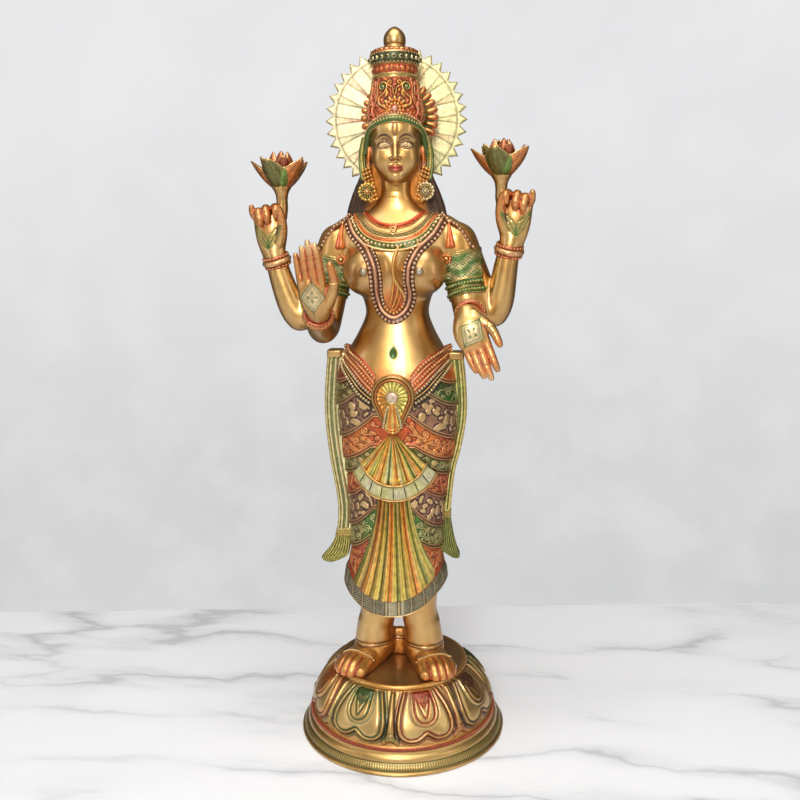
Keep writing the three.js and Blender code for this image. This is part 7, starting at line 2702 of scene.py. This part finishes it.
def on_chest(tree, grid):
    """The chest's front y at each place of a grid of [x, z]."""
    y = np.empty(grid.shape[:2])
    for index in np.ndindex(y.shape):
        x, z = grid[index]
        hit = front_hit(tree, x, z)
        y[index] = hit.y if hit else -10
    return y


def collar(build, tree):
    """The broad collar of rings and bead rows."""
    inner, outer = whole_string(COLLAR_INNER), whole_string(COLLAR_OUTER)
    inner, outer = (flat_path(line, 0.5) for line in (inner, outer))
    pick = np.linspace(0, 1, 170)
    inner, outer = (line[(pick * (len(line) - 1)).astype(int)] for line in (inner, outer))
    shares = np.linspace(0.28, 1.06, 24)
    grid = np.array([lerp(inner, outer, share) for share in shares])
    y = on_chest(tree, grid)
    rounded = 1.7 * np.sin(np.clip((shares - 0.28) / 0.78, 0, 1) * math.pi)[:, None] ** 0.4
    surface = xyz(grid[..., 0], y - rounded, grid[..., 1])
    coat = Coat(y.size, 0.34)
    band = shares[:, None] * np.ones_like(y)
    coat.lay(band < 0.53, OLIVE, 0.9)
    coat.lay((band >= 0.53) & (band < 0.70), ORANGE, 0.9)
    coat.lay(band >= 0.70, GREEN, 0.95)
    add_sheet(build, surface, coat, 3)
    for share, radius, beaded, colour, strength in COLLAR_STRINGS:
        path = chest_path(tree, lerp(inner, outer, share)[::4], 2.05 * radius if beaded else 2.5, 1.6)
        if beaded:
            add_beads(build, path, radius * 0.97, colour, strength, 0.8 if share > 0.8 else 0.66)
        else:
            relief = 0.85 if share > 0.05 else 0.5
            add_tube(build, path, radius, 6, tint=colour, amount=strength, relief=relief)
    for i, z in enumerate((483.4, 480.6, 477.6)):
        spot = chest_path(tree, [(0.2, z), (0.2, z - 1)], 2.0, 2.0)[0]
        add_ring(build, spot, (0, -1, 0.1), 3.1 - 0.5 * i, 0.95, RED if i == 0 else AMBER, 0.6, 0.8)


def garland(build, tree):
    """The long garland: a tube between two rows of beads on a dark ground."""
    path = chest_path(tree, whole_string(GARLAND), 2.0, 2.0)
    grid = np.array([beside(path, shift) for shift in np.linspace(6.8, -6.2, 9)])
    surface = xyz(grid[..., 0], on_chest(tree, grid) - 0.7, grid[..., 1])
    coat = Coat(surface[..., 0].size, 0.3)
    coat.lay(1, (0.10, 0.03, 0.025), 0.97)
    add_sheet(build, surface, coat, 2.5)
    add_tube(build, path, 2.0, 10, tint=(0.60, 0.28, 0.19), amount=0.7, relief=0.62)
    outer = chest_path(tree, beside(path, 4.7)[::2], 4.5, 1.4)
    add_beads(build, outer, 2.1, (0.62, 0.40, 0.30), 0.75, 0.7)
    inner = chest_path(tree, beside(path, -4.3)[::2], 3.8, 1.2)
    low = np.array([spot[2] < 404 for spot in inner])
    add_beads(build, inner[low], 2.05, (0.84, 0.36, 0.08), 0.8, 0.75)
    add_beads(build, inner[~low], 1.9, (0.62, 0.40, 0.28), 0.75, 0.7)


def shoulder_strands(build, tree):
    """A beaded strand over each shoulder and the tassel that hangs in front of it."""
    for side in (-1, 1):
        over = [(50, 2, 498), (54, -2, 495), (63.5, -2, 484), (71.8, -2, 472), (81, -2, 461)]
        spots = []
        for place in smooth_path([(side * x, y - 8, z) for x, y, z in over], 1.5):
            place = Vector(place)
            hit, normal = tree.find_nearest(place)[:2]
            spots.append(np.array(hit + normal * math.copysign(1.2, normal.dot(place - hit))))
        spots = np.array(spots)
        add_tube(build, spots, 2.4, 8, tint=(0.16, 0.04, 0.03), amount=0.9, relief=0.4)
        add_beads(build, spots[::3] + [0, -2.0, 0.8], 1.9, (0.60, 0.34, 0.24), 0.8, 0.75)
        for foot, colour in ((-1.6, ORANGE), (2.8, (0.60, 0.07, 0.02))):
            line = [(side * 56, 487), (side * (57 + foot * 0.4), 476), (side * (57.6 + foot), 461)]
            path = chest_path(tree, line, 1.5, 1.2)
            width = 1.3 + 2.0 * np.linspace(0, 1, len(path)) ** 1.4
            width[-1] *= 0.5
            add_tube(build, path, width, 10, tint=colour, amount=0.85, relief=0.6)
        knot = chest_path(tree, [(side * 56, 488), (side * 56, 487)], 2.0, 2.0)[:1]
        add_beads(build, knot, 2.6, (0.78, 0.36, 0.16), 0.5, 0.85)


def rosette(build, tree, x, z):
    """A round knob of small petals at a place on the chest's front."""
    spot = chest_path(tree, [(x, z), (x, z - 1)], 2.0, 1.5)[0]
    petals = upright_ring(spot, 3.9, 9)
    add_beads(build, petals, 1.9, ORANGE, 0.85, 0.7)
    add_beads(build, [spot + [0, -1.2, 0]], 2.6, AMBER, 0.6, 0.85)


def necklaces(materials, tree):
    build = Build()
    collar(build, tree)
    garland(build, tree)
    add_tube(build, chest_path(tree, CORD, 2.0, 1.4), 2.0, 8, tint=AMBER, amount=0.6, relief=0.8)
    for line, colour in FAN:
        add_tube(build, chest_path(tree, line, 2.0, 1.2), 1.5, 6, tint=colour, amount=0.8, relief=0.65)
    shoulder_strands(build, tree)
    rosette(build, tree, 54, 450)
    rosette(build, tree, -57, 450)
    build.piece("necklaces", materials["enamel"], 44000)


def armlet(build, tree, points, high, low):
    """A broad enamelled armlet laid round an upper arm between two heights."""
    rows = smooth_path(points, 0.8)
    rows = rows[(rows[:, 2] < high) & (rows[:, 2] > low)]
    rows = rows[: int(np.argmin(rows[:, 2])) + 1]
    count, sides = len(rows), 110
    centre = rows[:, None, :3]
    way = sweep(rows[:, :3], 1.0, sides) - centre
    reach = rows[:, 3:4] * np.ones((1, sides))
    for index in np.ndindex(reach.shape):
        start, heading = Vector(centre[index[0], 0]), Vector(way[index])
        hit = tree.ray_cast(start + heading * (reach[index] + 6), -heading, 12)[0]
        if hit:
            reach[index] = (hit - start).length
    tall = (rows[0, 2] - rows[:, 2])[:, None] * np.ones((1, sides))
    whole = tall.max()
    angle = ring_angles(sides)[None, :] * np.ones((count, 1))
    field = (tall > 4) & (tall < whole - 19)
    mesh = [np.abs((tall + turn * angle * 18) / 3.6 % 1 - 0.5) for turn in (-1, 1)]
    cut = smoothstep(0.16, 0.05, np.minimum(*mesh)) * field
    lines = sum(bump_at(tall, at, 0.8) for at in (1.0, 3.4, whole - 1.0, whole - 9.4, whole - 18.4))
    ends = np.clip(np.minimum(tall, whole - tall) / 1.0, 0, 1)
    reach = reach + (1.1 + 0.9 * lines - 0.45 * cut) * ends - 0.4 * (1 - ends)
    surface = centre + way * reach[..., None]
    coat = Coat(tall.size)
    coat.polish(0.46 + 0.4 * lines - 0.3 * cut, 0.04, 0.95)
    coat.lay(1, (0.03, 0.15, 0.03), 0.95)
    leaves = 0.5 + 0.5 * np.sin(tall * 0.42 + 2.2 * np.sin(angle * 3))
    coat.lay((1 - cut) * field, (0.60, 0.56, 0.24), 0.8)
    coat.lay(field * smoothstep(0.62, 0.9, leaves), (0.05, 0.20, 0.03), 0.8)
    coat.lay(field * smoothstep(0.3, 0.1, leaves) * (1 - cut), (0.84, 0.66, 0.30), 0.7)
    coat.lay(np.clip(lines, 0, 1), AMBER, 0.5)
    add_surface(build, surface, coat)
    for at in (whole - 5.2, whole - 13.9):
        row = int(np.argmin(np.abs(tall[:, 0] - at)))
        add_beads(build, surface[row][::3] + way[row][::3] * 0.3, 1.9, (0.16, 0.32, 0.07), 0.8, 0.7)


def arm_bands(materials, tree):
    """The armlets on the front pair of arms."""
    build = Build()
    armlet(build, tree, ARM_POINTS["front_left"], 458, 408)
    armlet(build, tree, ARM_POINTS["front_right"], 454, 410)
    build.piece("armlets", materials["enamel"], 24000)


def main():
    camera()
    lights()
    stage()
    materials = {
        "skin": brass("cast_brass_skin", (0.73, 0.47, 0.175), (0.54, 0.27, 0.065), 0.31, 0.8, 0.04),
        "base": brass("cast_brass_base", (0.64, 0.42, 0.15), (0.46, 0.24, 0.06), 0.31, 0.5, 0.08),
        "enamel": brass("enamelled_brass", (0.76, 0.50, 0.20), (0.50, 0.27, 0.08), 0.31, 0.45, 0.14),
        "halo": brass("pale_sheet_brass", (0.82, 0.73, 0.45), (0.74, 0.63, 0.35), 0.40, 0.05, 0.06),
    }
    lotus_base(materials)
    halo_plate(materials)
    skirt(materials)
    hem(materials)
    peplum(materials)
    centre_pleats(materials)
    for name in SASH_EDGES:
        sash(name, materials)
    clasp(materials)
    belt(materials)
    chest = body(materials)
    legs_and_feet(materials)
    hands(materials)
    head(materials)
    hair(materials)
    crown(materials)
    diadem_and_ears(materials)
    small_wheel(materials)
    for side, x, z in LOTUSES:
        lotus(materials, side, x, z)
    necklaces(materials, chest)
    arm_bands(materials, chest)


main()
